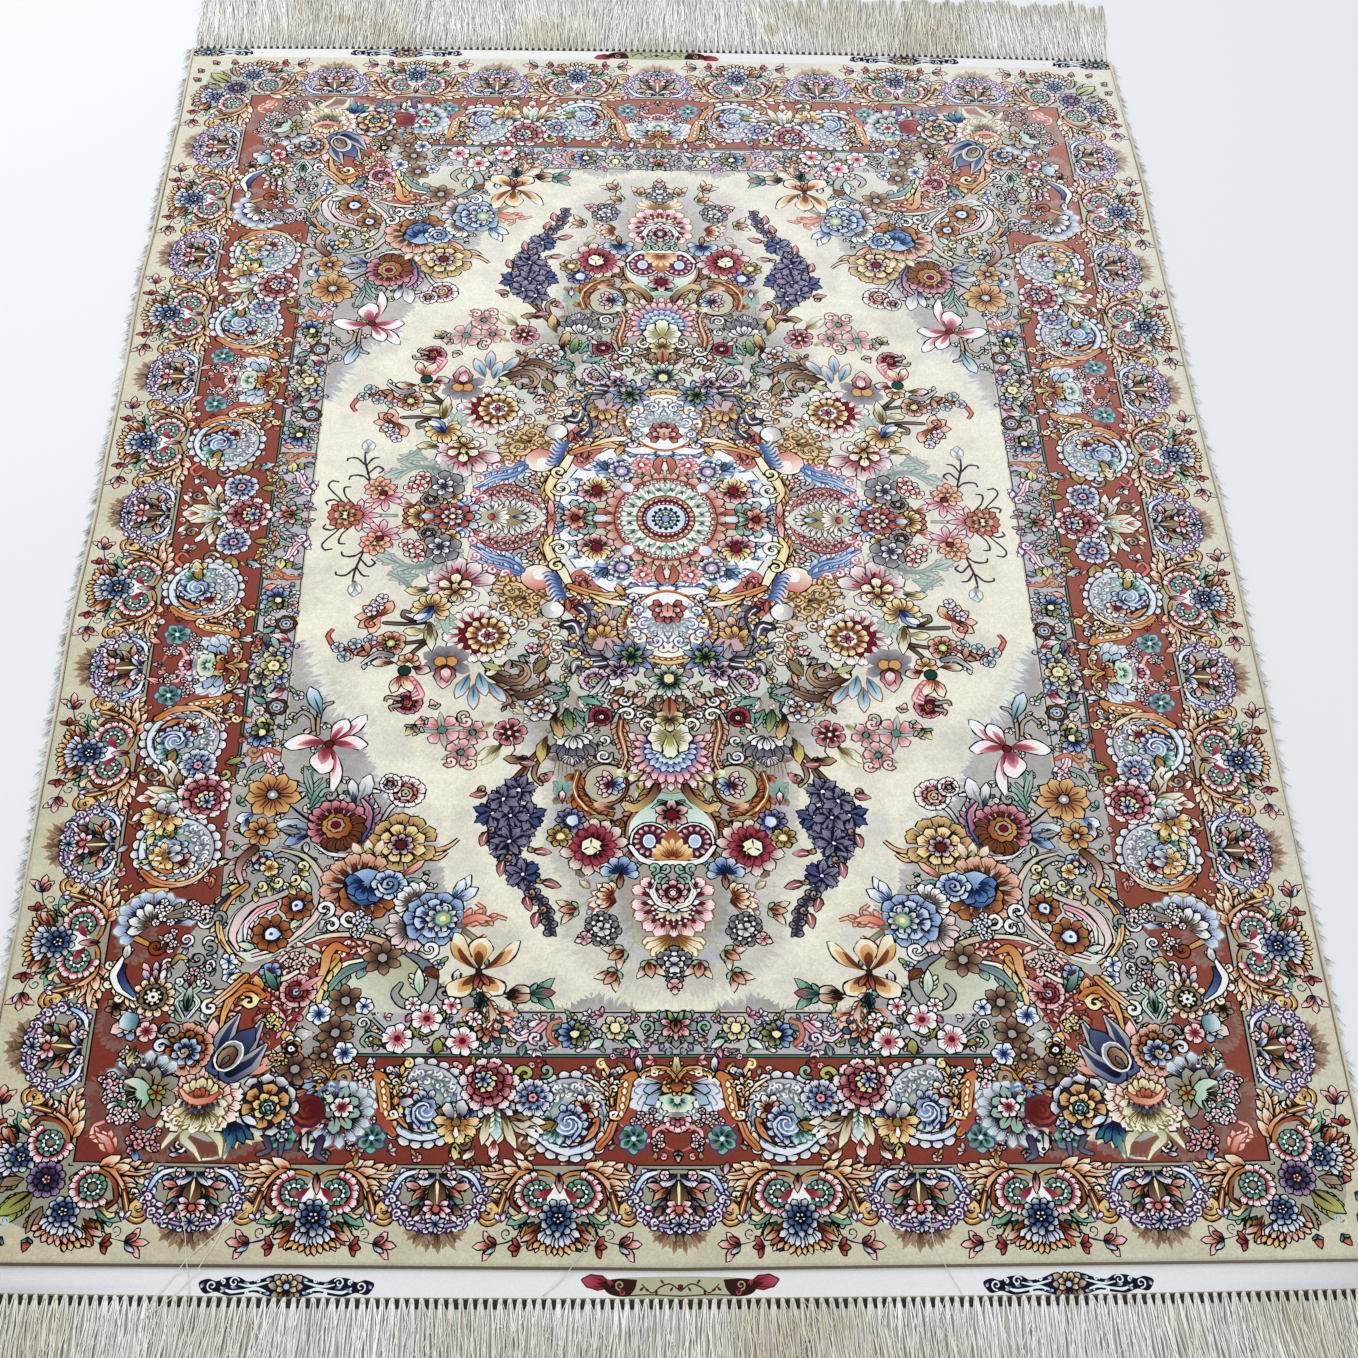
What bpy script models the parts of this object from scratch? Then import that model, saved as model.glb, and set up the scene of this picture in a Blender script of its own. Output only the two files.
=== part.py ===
"""Hand-knotted medallion rug, lying flat, with selvedge cords and knotted end fringes.

Units are metres, +Z is up, +Y runs to the far end. The origin is on the floor under the
middle of the rug. Everything is worked out from the driving dimensions below.
"""
import math

import bmesh
import bpy
from mathutils import Vector

# Driving dimensions of the cloth
PILE_WIDTH = 0.998
PILE_LENGTH = 1.364
END_STRIP = 0.0185
PILE_THICKNESS = 0.007
PILE_EDGE_THICKNESS = 0.0045
STRIP_THICKNESS = 0.0025
EDGE_ROUND = 0.003

# Unevenness of the hand weaving
SIDE_BOW = 0.007
END_BOW = 0.006
CENTRE_DRIFT = 0.015
FAR_SKEW = 0.004
SIDE_WAVES = (
    {"side": -1, "height": 0.0012, "turns": 3.0, "phase": 0.4},
    {"side": -1, "height": 0.0007, "turns": 7.0, "phase": 1.9},
    {"side": 1, "height": 0.0010, "turns": 2.5, "phase": 2.2},
    {"side": 1, "height": 0.0008, "turns": 6.0, "phase": 0.7},
)

# Selvedge cords overcast along both long sides
SELVEDGE_DIAMETER = 0.0036
SELVEDGE_BEVEL_STEPS = 2

# Fringe: a narrow woven strip with one lock of warp threads at each knot
LOCKS_PER_END = 148
FRINGE_LENGTH = 0.110
ROOT_STRIP = 0.003
LOCK_SHARE_OF_PITCH = 0.62
LOCK_SECTIONS = (
    {"reach": 0.46, "width": 0.92, "thickness": 0.0024},
    {"reach": 1.00, "width": 0.70, "thickness": 0.0016},
)
SWAY = (
    {"height": 0.0075, "locks": 41.0, "phase": 0.3},
    {"height": 0.0022, "locks": 17.0, "phase": 1.1},
)
RAGGED = (
    {"height": 0.0040, "locks": 5.3, "phase": 0.0},
    {"height": 0.0030, "locks": 13.7, "phase": 2.0},
)
CORNER_SPLAY = 0.006

GAP = 0.0003

# Divisions of the meshes
CLOTH_COLUMNS = 14
CLOTH_ROWS = 34

HALF_WIDTH = PILE_WIDTH / 2
HALF_PILE = PILE_LENGTH / 2
HALF_CLOTH = HALF_PILE + END_STRIP

COLLECTION_NAME = "persian_rug"
FINISHES = {
    "pile": {"color": (0.55, 0.44, 0.37, 1.0), "roughness": 0.85},
    "selvedge": {"color": (0.78, 0.75, 0.66, 1.0), "roughness": 0.9},
    "fringe": {"color": (0.82, 0.79, 0.71, 1.0), "roughness": 0.8},
}


def clear_scene():
    for item in list(bpy.data.objects):
        bpy.data.objects.remove(item, do_unlink=True)


def side_wave(x, along):
    """Small sideways waves of the woven edges, fading out towards the middle."""
    side = 1 if x > 0 else -1
    total = 0.0
    for wave in SIDE_WAVES:
        if wave["side"] == side:
            total += wave["height"] * math.sin(wave["turns"] * math.pi * along + wave["phase"])
    return total * (abs(x) / HALF_WIDTH) ** 6


def woven(x, y):
    """Moves a point of the true rectangle to where the uneven weaving puts it."""
    across = x / HALF_WIDTH
    along = y / HALF_CLOTH
    end_zone = min(abs(along), 1.0)
    moved_x = x * (1 + SIDE_BOW / HALF_WIDTH * (1 - end_zone ** 2)) + side_wave(x, along)
    moved_y = y + END_BOW * along * abs(along) * (1 - across ** 2)
    moved_y += CENTRE_DRIFT * (1 - end_zone ** 2)
    if along > 0:
        moved_y += FAR_SKEW * across * end_zone ** 2
    return moved_x, moved_y


def finish_material(name):
    finish = FINISHES[name]
    material = bpy.data.materials.new(name)
    material.use_nodes = True
    shader = material.node_tree.nodes["Principled BSDF"]
    shader.inputs["Base Color"].default_value = finish["color"]
    shader.inputs["Roughness"].default_value = finish["roughness"]
    shader.inputs["Metallic"].default_value = 0.0
    return material


def add_object(name, mesh, finish, collection):
    mesh.materials.append(finish_material(finish))
    item = bpy.data.objects.new(name, mesh)
    collection.objects.link(item)
    return item


def column_places():
    """Stations across the cloth, from one side to the other."""
    inner = HALF_WIDTH - EDGE_ROUND
    places = [-HALF_WIDTH]
    for index in range(CLOTH_COLUMNS - 1):
        places.append(-inner + 2 * inner * index / (CLOTH_COLUMNS - 2))
    places.append(HALF_WIDTH)
    return places


def row_places():
    """Stations along the cloth: two woven ends, and the pile between them."""
    inner = HALF_PILE - EDGE_ROUND
    pile_rows = CLOTH_ROWS - 4
    places = [-HALF_CLOTH, -HALF_PILE]
    for index in range(pile_rows + 1):
        places.append(-inner + 2 * inner * index / pile_rows)
    places.append(HALF_PILE)
    places.append(HALF_CLOTH)
    return places


def top_height(x, y):
    """Height of the cloth's upper face at a station."""
    at_side = abs(x) > HALF_WIDTH - EDGE_ROUND / 2
    if abs(y) > HALF_PILE - EDGE_ROUND / 2:
        return STRIP_THICKNESS
    if at_side:
        return PILE_EDGE_THICKNESS
    return PILE_THICKNESS


def build_cloth(collection):
    """One cloth: a knotted pile slab whose warps run on into a thin woven strip at each end."""
    columns = column_places()
    rows = row_places()
    bm = bmesh.new()
    bmesh.ops.create_grid(bm, x_segments=CLOTH_COLUMNS, y_segments=CLOTH_ROWS, size=1.0)
    for vert in bm.verts:
        x = columns[round((vert.co.x + 1) / 2 * CLOTH_COLUMNS)]
        y = rows[round((vert.co.y + 1) / 2 * CLOTH_ROWS)]
        vert.co = (x, y, top_height(x, y))
    upper = list(bm.faces)
    result = bmesh.ops.extrude_face_region(bm, geom=upper, use_keep_orig=True)
    for vert in [part for part in result["geom"] if isinstance(part, bmesh.types.BMVert)]:
        vert.co.z = 0.0
    for vert in bm.verts:
        vert.co.x, vert.co.y = woven(vert.co.x, vert.co.y)
    bmesh.ops.recalc_face_normals(bm, faces=bm.faces)
    mesh = bpy.data.meshes.new("rug_cloth")
    bm.to_mesh(mesh)
    bm.free()
    return add_object("rug_cloth", mesh, "pile", collection)


def build_selvedge(name, side, collection):
    """A round cord of overcast thread that follows one woven side."""
    radius = SELVEDGE_DIAMETER / 2
    curve = bpy.data.curves.new(name, "CURVE")
    curve.dimensions = "3D"
    curve.bevel_depth = radius
    curve.bevel_resolution = SELVEDGE_BEVEL_STEPS
    curve.use_fill_caps = True
    rows = row_places()
    spline = curve.splines.new("POLY")
    spline.points.add(len(rows) - 1)
    for point, y in zip(spline.points, rows):
        edge_x, edge_y = woven(side * HALF_WIDTH, y)
        point.co = (edge_x + side * (GAP + radius), edge_y, radius, 1.0)
    return add_object(name, curve, "selvedge", collection)


def rolling(table, index):
    """Sum of the sines in a table, for the lock with this number."""
    total = 0.0
    for row in table:
        total += row["height"] * math.sin(2 * math.pi * index / row["locks"] + row["phase"])
    return total


def lock_place(index, reach, end):
    """Middle of one lock at a share of its length."""
    pitch = PILE_WIDTH / LOCKS_PER_END
    root_x = -HALF_WIDTH + pitch * (index + 0.5)
    sway = rolling(SWAY, index + 19 * (end > 0)) + CORNER_SPLAY * root_x / HALF_WIDTH
    length = FRINGE_LENGTH - ROOT_STRIP + rolling(RAGGED, index + 7 * (end > 0))
    x = root_x + sway * reach ** 1.5
    y = end * (HALF_CLOTH + GAP + ROOT_STRIP + length * reach)
    return x, y


def build_fringe(name, end, collection):
    """Root strip and its locks, all resting level on the floor."""
    pitch = PILE_WIDTH / LOCKS_PER_END
    lock_width = pitch * LOCK_SHARE_OF_PITCH
    cells = 2 * LOCKS_PER_END + 1
    bm = bmesh.new()
    bmesh.ops.create_grid(bm, x_segments=cells, y_segments=1, size=1.0)
    for vert in bm.verts:
        step = round((vert.co.x + 1) / 2 * cells)
        outer = vert.co.y * end > 0
        if step == 0:
            x = -HALF_WIDTH
        elif step == cells:
            x = HALF_WIDTH
        else:
            middle = -HALF_WIDTH + pitch * ((step - 1) // 2 + 0.5)
            x = middle + lock_width * (0.5 if step % 2 == 0 else -0.5)
        y = end * (HALF_CLOTH + GAP + (ROOT_STRIP if outer else 0.0))
        vert.co = (x, y, 0.0)
    result = bmesh.ops.extrude_face_region(bm, geom=list(bm.faces), use_keep_orig=True)
    for vert in [part for part in result["geom"] if isinstance(part, bmesh.types.BMVert)]:
        vert.co.z = STRIP_THICKNESS
    bmesh.ops.recalc_face_normals(bm, faces=bm.faces)

    outer_y = end * (HALF_CLOTH + GAP + ROOT_STRIP)
    locks = {}
    for face in bm.faces:
        middle = face.calc_center_median()
        if abs(middle.y - outer_y) > GAP / 2:
            continue
        index = int((middle.x + HALF_WIDTH) / pitch)
        x, _ = lock_place(index, 0.0, end)
        if abs(middle.x - x) < pitch / 8:
            locks[index] = face

    for section in LOCK_SECTIONS:
        for index in sorted(locks):
            grown = bmesh.ops.extrude_discrete_faces(bm, faces=[locks[index]])["faces"][0]
            old_x = grown.calc_center_median().x
            x, y = lock_place(index, section["reach"], end)
            half = lock_width * section["width"] / 2
            for vert in grown.verts:
                vert.co.x = x + (half if vert.co.x > old_x else -half)
                vert.co.y = y
                vert.co.z = section["thickness"] if vert.co.z > 0 else 0.0
            locks[index] = grown
    for vert in bm.verts:
        vert.co.x, vert.co.y = woven(vert.co.x, vert.co.y)
    bmesh.ops.recalc_face_normals(bm, faces=bm.faces)
    mesh = bpy.data.meshes.new(name)
    bm.to_mesh(mesh)
    bm.free()
    return add_object(name, mesh, "fringe", collection)


def centre_on_floor(collection):
    """Slides the whole rug so that the box round it is centred over the origin."""
    bpy.context.view_layer.update()
    corners = [item.matrix_world @ Vector(corner) for item in collection.objects for corner in item.bound_box]
    middle_x = (min(corner.x for corner in corners) + max(corner.x for corner in corners)) / 2
    middle_y = (min(corner.y for corner in corners) + max(corner.y for corner in corners)) / 2
    for item in collection.objects:
        item.location.x -= middle_x
        item.location.y -= middle_y


def main():
    clear_scene()
    collection = bpy.data.collections.new(COLLECTION_NAME)
    bpy.context.scene.collection.children.link(collection)
    build_cloth(collection)
    build_selvedge("selvedge_left", -1, collection)
    build_selvedge("selvedge_right", 1, collection)
    build_fringe("fringe_near", -1, collection)
    build_fringe("fringe_far", 1, collection)
    centre_on_floor(collection)


main()
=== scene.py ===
# %% [markdown]
# # A hand-knotted medallion rug
#
# The real thing is a wool pile knotted on cotton warps. This script lays a finely drawn
# rug over a plain CAD model of it, piece by piece, in the CAD model's own coordinates:
# metres, +Z up, +Y towards the far end. The rug lies flat on a floor.
#
# First the CAD model is loaded. Its five solids stay where they are; each of them is
# replaced further down by pieces that look like wool and cotton.

from math import ceil, cos, log, pi, radians, sin

import bmesh
import bpy
import numpy as np
from mathutils import Matrix, Vector
from mathutils.bvhtree import BVHTree
from mathutils.geometry import delaunay_2d_cdt


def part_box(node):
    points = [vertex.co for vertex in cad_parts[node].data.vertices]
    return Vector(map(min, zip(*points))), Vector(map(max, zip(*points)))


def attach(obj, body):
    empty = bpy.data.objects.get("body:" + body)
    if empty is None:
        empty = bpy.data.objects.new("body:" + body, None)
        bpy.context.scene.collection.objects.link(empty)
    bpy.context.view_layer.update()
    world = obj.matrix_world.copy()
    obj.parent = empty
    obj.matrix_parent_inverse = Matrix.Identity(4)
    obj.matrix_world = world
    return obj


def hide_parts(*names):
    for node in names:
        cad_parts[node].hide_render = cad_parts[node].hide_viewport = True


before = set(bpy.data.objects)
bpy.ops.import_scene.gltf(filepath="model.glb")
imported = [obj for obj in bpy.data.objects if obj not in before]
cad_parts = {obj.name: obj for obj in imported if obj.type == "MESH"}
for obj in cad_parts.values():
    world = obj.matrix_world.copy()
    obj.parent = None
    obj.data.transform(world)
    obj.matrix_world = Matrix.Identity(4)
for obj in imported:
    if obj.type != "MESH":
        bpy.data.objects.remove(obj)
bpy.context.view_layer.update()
print("nodes:", sorted(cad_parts))

# %% [markdown]
# ## Where the weaving puts a point
#
# A hand loom never gives a true rectangle: the sides bow, the ends drift and the edges
# wave a little. The CAD solids were bent by one small function, so the same function is
# written here for whole lists of points. Every new piece is first laid out on a true
# rectangle and then sent through it, which keeps pile, cords and fringe together.

# %% Sizes in metres, and the uneven weave
PILE_WIDTH = 0.998
HALF_WIDTH = 0.499                                   # middle to the woven side
HALF_PILE = 0.682                                    # middle to the end of the pile
HALF_CLOTH = 0.7005                                  # middle to the end of the cotton weave
QUARTER_X, QUARTER_Y, QUARTER_END = 499, 682, 700.5  # the same three, in the drawing's mm
PILE_TOP = 0.007
PILE_EDGE = 0.0045
STRIP_TOP = 0.0025
EDGE_ROUND = 0.003                                   # reach of the sheared edge
GAP = 0.0003                                         # clearance beside the weave
SIDE_BOW = 0.007
END_BOW = 0.006
CENTRE_DRIFT = 0.015                                 # how far the middle sits towards the far end
FAR_SKEW = 0.004
# side, height, half waves and phase of each wave of a long edge
SIDE_WAVES = ((-1, 0.0012, 3.0, 0.4), (-1, 0.0007, 7.0, 1.9), (1, 0.0010, 2.5, 2.2),
              (1, 0.0008, 6.0, 0.7))


def bent(points):
    """Points of the true rectangle, moved to where the uneven weaving puts them."""
    x, y = np.asarray(points, float).T
    across, along = x / HALF_WIDTH, y / HALF_CLOTH
    zone = 1 - np.minimum(np.abs(along), 1.0) ** 2
    wave = np.zeros_like(x)
    for side, height, turns, phase in SIDE_WAVES:
        wave += np.where(np.sign(x) == side, height * np.sin(turns * pi * along + phase), 0.0)
    new_x = x * (1 + SIDE_BOW / HALF_WIDTH * zone) + wave * np.abs(across) ** 6
    new_y = y + END_BOW * along * np.abs(along) * (1 - across ** 2) + CENTRE_DRIFT * zone
    new_y += np.where(along > 0, FAR_SKEW * across * (1 - zone), 0.0)
    return np.column_stack((new_x, new_y))


bottom_edge = bent(np.column_stack((np.linspace(-HALF_WIDTH, HALF_WIDTH, 401),
                                    np.full(401, -HALF_CLOTH))))
cloth_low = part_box("rug_cloth")[0]
STATIONS = np.concatenate((
    [-HALF_CLOTH, -HALF_PILE], np.linspace(-1, 1, 31) * (HALF_PILE - EDGE_ROUND),
    [HALF_PILE, HALF_CLOTH]))
left_stations = bent(np.column_stack((np.full(len(STATIONS), -HALF_WIDTH), STATIONS)))
SHIFT = np.array((cloth_low.x - left_stations[:, 0].min(), cloth_low.y - bottom_edge[:, 1].min()))


def placed(points):
    """Layout points in metres, as they lie in the CAD model."""
    return bent(points) + SHIFT


print("shift of the layout, mm:", (SHIFT * 1000).round(2))

# %% [markdown]
# ## How the pattern is drawn
#
# On the loom the pattern is knotted from a chart, one wool tuft at a time. Here every motif is a
# flat shape in painter's order: a polygon, the wool tone it starts with, the tone it ends with,
# and the line along which one turns into the other. Nothing is traced. Petals, leaves, curls and
# ribbons come from a few rules, so that a flower is a count of petals and some tones. All sizes
# are in millimetres, x outward from the middle of the rug and y towards the near end.

# %% [markdown]
# ## The dye lots
#
# A city workshop keeps some sixty dye lots, most of them soft. Each tone has a plain name here.
# Two more tables say which darker wool a petal of a tone starts with, and how much a ground of
# that tone clouds over.

# %% Wool tones
EDGE = 1.2
PALETTE = {
    "ink": (20, 16, 22), "night": (34, 36, 70), "navy": (44, 50, 98), "deep": (58, 84, 146),
    "blue": (92, 130, 188), "sky": (158, 188, 222), "ice": (206, 220, 232), "white": (242, 239, 232),
    "ivory": (234, 228, 206), "cream": (195, 189, 159), "straw": (238, 220, 158),
    "gold": (232, 190, 108), "amber": (214, 150, 70), "orange": (216, 124, 58), "rust": (168, 82, 44),
    "brick": (158, 76, 60), "wine": (122, 44, 44), "crimson": (136, 26, 50), "rose": (196, 78, 98),
    "pink": (226, 150, 158), "blush": (238, 200, 196), "coral": (216, 112, 92), "brown": (112, 70, 48),
    "umber": (76, 50, 42), "tan": (186, 152, 116), "taupe": (138, 122, 102), "olive": (146, 128, 66),
    "lime": (182, 192, 98), "mint": (146, 190, 164), "sea": (84, 142, 124), "green": (30, 82, 72),
    "teal": (66, 130, 142), "lilac": (172, 150, 194), "purple": (86, 54, 96), "mist": (186, 188, 176),
    "ash": (160, 158, 154), "slate": (138, 138, 140), "dove": (170, 168, 174), "stone": (164, 161, 140),
    "milk": (219, 215, 192), "fog": (208, 211, 196), "khaki": (176, 176, 140), "violet": (96, 92, 132),
    "plum": (66, 56, 84), "sand": (196, 184, 156), "peach": (236, 186, 158), "terra": (190, 92, 70),
    "cobalt": (44, 84, 150), "steel": (112, 126, 140), "pebble": (160, 156, 153),
    "flint": (166, 158, 146), "haze": (202, 199, 183), "mottle": (212, 208, 184),
    "clay": (150, 112, 100), "delft": (88, 102, 142), "linen": (213, 213, 212),
    "rosewood": (148, 92, 80), "iris": (84, 82, 110), "dusk": (142, 140, 162),
    "stonegrey": (180, 178, 174), "pale": (189, 186, 172), "tablet": (40, 42, 66),
}
ROOTS = {
    "pink": "crimson", "blush": "rose", "rose": "wine", "coral": "wine", "crimson": "umber",
    "peach": "coral", "white": "dove", "sky": "deep", "blue": "navy", "deep": "night", "navy": "ink",
    "ice": "blue", "cobalt": "night", "gold": "rust", "amber": "brown", "straw": "amber",
    "orange": "wine", "rust": "umber", "terra": "wine", "slate": "night", "dove": "purple",
    "ash": "umber", "steel": "night", "mist": "slate", "taupe": "umber", "mint": "green",
    "sea": "green", "green": "ink", "lime": "olive", "olive": "umber", "teal": "green", "cream": "tan",
    "ivory": "tan", "tan": "brown", "brown": "ink", "sand": "taupe", "khaki": "olive",
    "lilac": "purple", "purple": "ink", "violet": "ink", "wine": "ink",
}
SOFT = {
    "milk": 1.0, "mottle": 0.9, "haze": 0.7, "fog": 0.5, "pale": 0.45, "stonegrey": 0.4, "pebble": 0.3,
    "dove": 0.35, "cream": 0.3,
}
shapes = []
places = [np.eye(3)]
hand = np.random.default_rng(12)
counted = [0]


def tally(what):
    """Say how many shapes a step has added."""
    print(what + ":", len(shapes) - counted[-1], "shapes")
    counted.append(len(shapes))


print("wool tones:", len(PALETTE))

# %% [markdown]
# ## Shapes, placed and turned
#
# A motif that comes back, turned or mirrored, is drawn once and placed with a small matrix.
# Smooth outlines run through a few points as a spline, which needs far fewer numbers than the
# outline itself.

# %% Putting a shape down
def put(points, tone, tip=None, start=None, end=None):
    """Lay a flat shape over the others. With a start and an end, its tone runs into tip."""
    here = places[-1]
    points = np.asarray(points, float) @ here[:2, :2].T + here[:2, 2]
    axis = None
    if tip is not None and start is not None:
        axis = (here[:2, :2] @ np.asarray(start, float) + here[:2, 2],
                here[:2, :2] @ np.asarray(end, float) + here[:2, 2])
    shapes.append((points, tone, tip if axis is not None else tone, axis))


def unit(draw, x, y, turn=0, flip=1, size=1.0, wide=1.0, **more):
    """Draw a motif at x, y, turned, mirrored, sized and widened."""
    c, s = cos(radians(turn)) * size, sin(radians(turn)) * size
    places.append(places[-1] @ np.array(((c * wide, -s * flip, x), (s * wide, c * flip, y), (0, 0, 1))))
    draw(**more)
    places.pop()


def spline(points, steps=5):
    """A smooth line through a few points."""
    p = np.asarray(points, float)
    p = np.vstack((2 * p[0] - p[1], p, 2 * p[-1] - p[-2]))
    t = np.linspace(0, 1, steps, endpoint=False)[:, None]
    rows = []
    for a, b, c, d in zip(p, p[1:], p[2:], p[3:]):
        rows.append(0.5 * (2 * b + (c - a) * t + (2 * a - 5 * b + 4 * c - d) * t ** 2
                           + (3 * b - a - 3 * c + d) * t ** 3))
    return np.vstack(rows + [p[-2:-1]])


print("a line through 3 points gets", len(spline([(0, 0), (10, 5), (20, 0)])), "points")

# %% [markdown]
# ## Ribbons, petals and whorls
#
# Nearly every flower on the rug is a ring of petals with a dark outline, a dark root and a light
# rim, as a weaver shades it in three or four tones. A hand that is never quite steady turns and
# stretches each petal a little.

# %% Ribbons and petals
def band(line, widths, grow=0.0):
    """Outline of a line whose width changes along it, with round ends."""
    slope = np.gradient(line, axis=0)
    slope /= np.maximum(np.linalg.norm(slope, axis=1), 1e-6)[:, None]
    normal = np.column_stack((-slope[:, 1], slope[:, 0]))
    half = np.interp(np.linspace(0, 1, len(line)), np.linspace(0, 1, len(widths)), widths) / 2 + grow
    line = line.copy()
    sides = [line + normal * half[:, None], (line - normal * half[:, None])[::-1]]
    for end, way in ((-1, 1), (0, -1)):
        if half[end] - grow > 0.8:
            out = slope[end] * way * half[end]
            arc = [line[end] + out * sin(a) + normal[end] * way * half[end] * cos(a)
                   for a in (0.7, 1.57, 2.44)]
            sides.insert(1 if end else len(sides), np.array(arc))
    return np.vstack(sides)


def ribbon(points, widths, tone, tip=None, edge="ink", steps=5, rib=None):
    """A band with its outline and, if asked, a rib along the middle."""
    line = spline(points, steps)
    if edge:
        put(band(line, widths, EDGE), edge)
    put(band(line, widths), tone, tip, line[0], line[-1])
    if rib:
        put(band(line, [w * 0.22 for w in widths]), rib)


def drop(length, width, belly=0.62, cleft=0.0, bend=0.0, grow=0.0, fine=6, frill=0.0):
    """Outline of a petal that points along x."""
    t = (1 - np.cos(np.linspace(0, pi, fine + 1))) / 2
    half = (width / 2 + grow) * np.sin(pi * t ** (log(0.5) / log(belly))) ** 0.75
    half[2:-1:2] *= 1 - frill
    u = t * (length + 2 * grow) - grow
    v = bend * length * np.clip(t, 0, 1) ** 2
    u[-1] -= cleft * length
    return np.vstack((np.column_stack((u, v + half)), np.column_stack((u, v - half))[-2:0:-1]))


def petal(x, y, turn, length, width, base, tip=None, edge="ink", belly=0.62, cleft=0.0, bend=0.0,
          rib=None, fine=6, plain=False):
    """A petal with its outline, dark root, veins and rib."""
    a, b, d = hand.uniform(-1, 1, 3)
    turn, bend = turn + 3.5 * a, bend + 0.05 * a
    length, width = length * (1 + 0.08 * b), width * (1 + 0.1 * d)
    c, s = cos(radians(turn)), sin(radians(turn))
    turned = np.array(((c, s), (-s, c)))
    here = np.array((x, y))
    frill = 0.0
    if width > 4.6 and length > 8 and not plain:
        fine, frill = 10, 0.16
    if edge:
        put(drop(length, width, belly, cleft, bend, EDGE, fine, frill) @ turned + here, edge)
    put(drop(length, width, belly, cleft, bend, 0.0, fine, frill) @ turned + here, base, tip, here,
        here + np.array((c, s)) * length)
    if length > 6 and width > 2.6 and base in ROOTS and not rib and not plain:
        put(drop(length * 0.6, width * 0.5, 0.4, 0, bend, 0, 4) @ turned + here, ROOTS[base], base,
            here, here + np.array((c, s)) * length * 0.6)
        if width > 5:
            for way in (-1, 1):
                lean = radians(turn + way * 11)
                vein = np.array(((cos(lean), sin(lean)), (-sin(lean), cos(lean))))
                put(drop(length * 0.78, width * 0.1, 0.5, 0, bend, 0, 3) @ vein + here, ROOTS[base])
    if rib:
        put(drop(length * 0.72, width * 0.2, 0.4, 0, bend, 0, 3) @ turned + here, rib)


def whorl(x, y, count, inner, outer, width, base, tip=None, edge="ink", turn=0, span=360, tall=0.0,
          **more):
    """Petals round a middle, all the way round or over a span of degrees."""
    full = span >= 360
    steps = [turn + 360 * i / count if full else turn - span / 2 + span * i / (count - 1)
             for i in range(count)]
    for a in sorted(steps, key=lambda a: -abs(a - turn)) if not full else steps:
        c, s = cos(radians(a)), sin(radians(a))
        reach = (outer - inner) * (1 + tall * cos(radians(a - turn)))
        petal(x + c * inner, y + s * inner, a, reach, width, base, tip, edge, **more)


def disc(x, y, rx, tone, ry=None, tip=None, edge=None, turn=0, lobes=0, depth=0.18):
    """A round or lobed spot."""
    ry = rx if ry is None else ry
    for grow, colour in ((EDGE, edge), (0.0, tone)):
        if colour is None:
            continue
        count = lobes * 4 if lobes else max(8, int(2 * pi * max(rx, ry) / 2.6))
        a = np.linspace(0, 2 * pi, count, endpoint=False)
        wave = 1 - depth + depth * np.abs(np.sin(a * lobes / 2)) if lobes else np.ones(count)
        ring = np.column_stack((np.cos(a) * (rx * wave + grow), np.sin(a) * (ry * wave + grow)))
        c, s = cos(radians(turn)), sin(radians(turn))
        ring = ring @ np.array(((c, s), (-s, c)))
        if colour == tone and tip and grow == 0.0:
            put(ring + (x, y), tone, tip, (x - rx * c, y - rx * s), (x + rx * c, y + rx * s))
        else:
            put(ring + (x, y), colour)


def dots(x, y, rx, ry, count, r, tone, turn=0, span=360):
    """Small spots on a ring."""
    for i in range(count):
        a = radians(turn + span * i / count)
        disc(x + rx * cos(a), y + ry * sin(a), r, tone, lobes=0)


print("outline of one petal:", len(drop(20, 8)), "points")

# %% [markdown]
# ## Whole flowers
#
# Daisies, rosettes, peonies, palmettes, tulips and buds come back all over the rug. Each is a
# short recipe of whorls and discs, whose tones change from place to place.

# %% Whole flowers
def daisy(x, y, r, tip, base, heart="gold", eye="rose", petals=8, turn=0):
    whorl(x, y, petals, r * 0.25, r, 5.4 * r / petals, base, tip, turn=turn, cleft=0.1, belly=0.7)
    disc(x, y, r * 0.3, heart, edge="ink")
    disc(x, y, r * 0.13, eye)


def rosette(x, y, r, outer, middle, heart, eye="white", lobes=8):
    disc(x, y, r, outer, edge="ink", lobes=lobes)
    disc(x, y, r * 0.68, middle, edge="ink", lobes=lobes, turn=180 / lobes)
    disc(x, y, r * 0.36, heart, edge="ink")
    disc(x, y, r * 0.15, eye)


def peony(x, y, r, tip="blush", base="rose", inner="crimson", cup="straw", eye="sky", turn=0, petals=9):
    whorl(x, y, petals, r * 0.35, r, 5.6 * r / petals, base, tip, turn=turn, cleft=0.16, belly=0.72)
    c, s = cos(radians(turn)), sin(radians(turn))
    x, y = x + c * r * 0.12, y + s * r * 0.12
    disc(x, y, r * 0.6, inner, edge=None, lobes=petals)
    whorl(x, y, petals - 2, r * 0.2, r * 0.62, 3.4 * r / petals, inner, base, turn=turn + 20,
          cleft=0.14, belly=0.72)
    disc(x, y, r * 0.36, cup, edge="ink", tip="amber", turn=turn + 180)
    disc(x, y, r * 0.2, eye, edge="ink", lobes=5)
    disc(x, y, r * 0.08, "ink")


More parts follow.
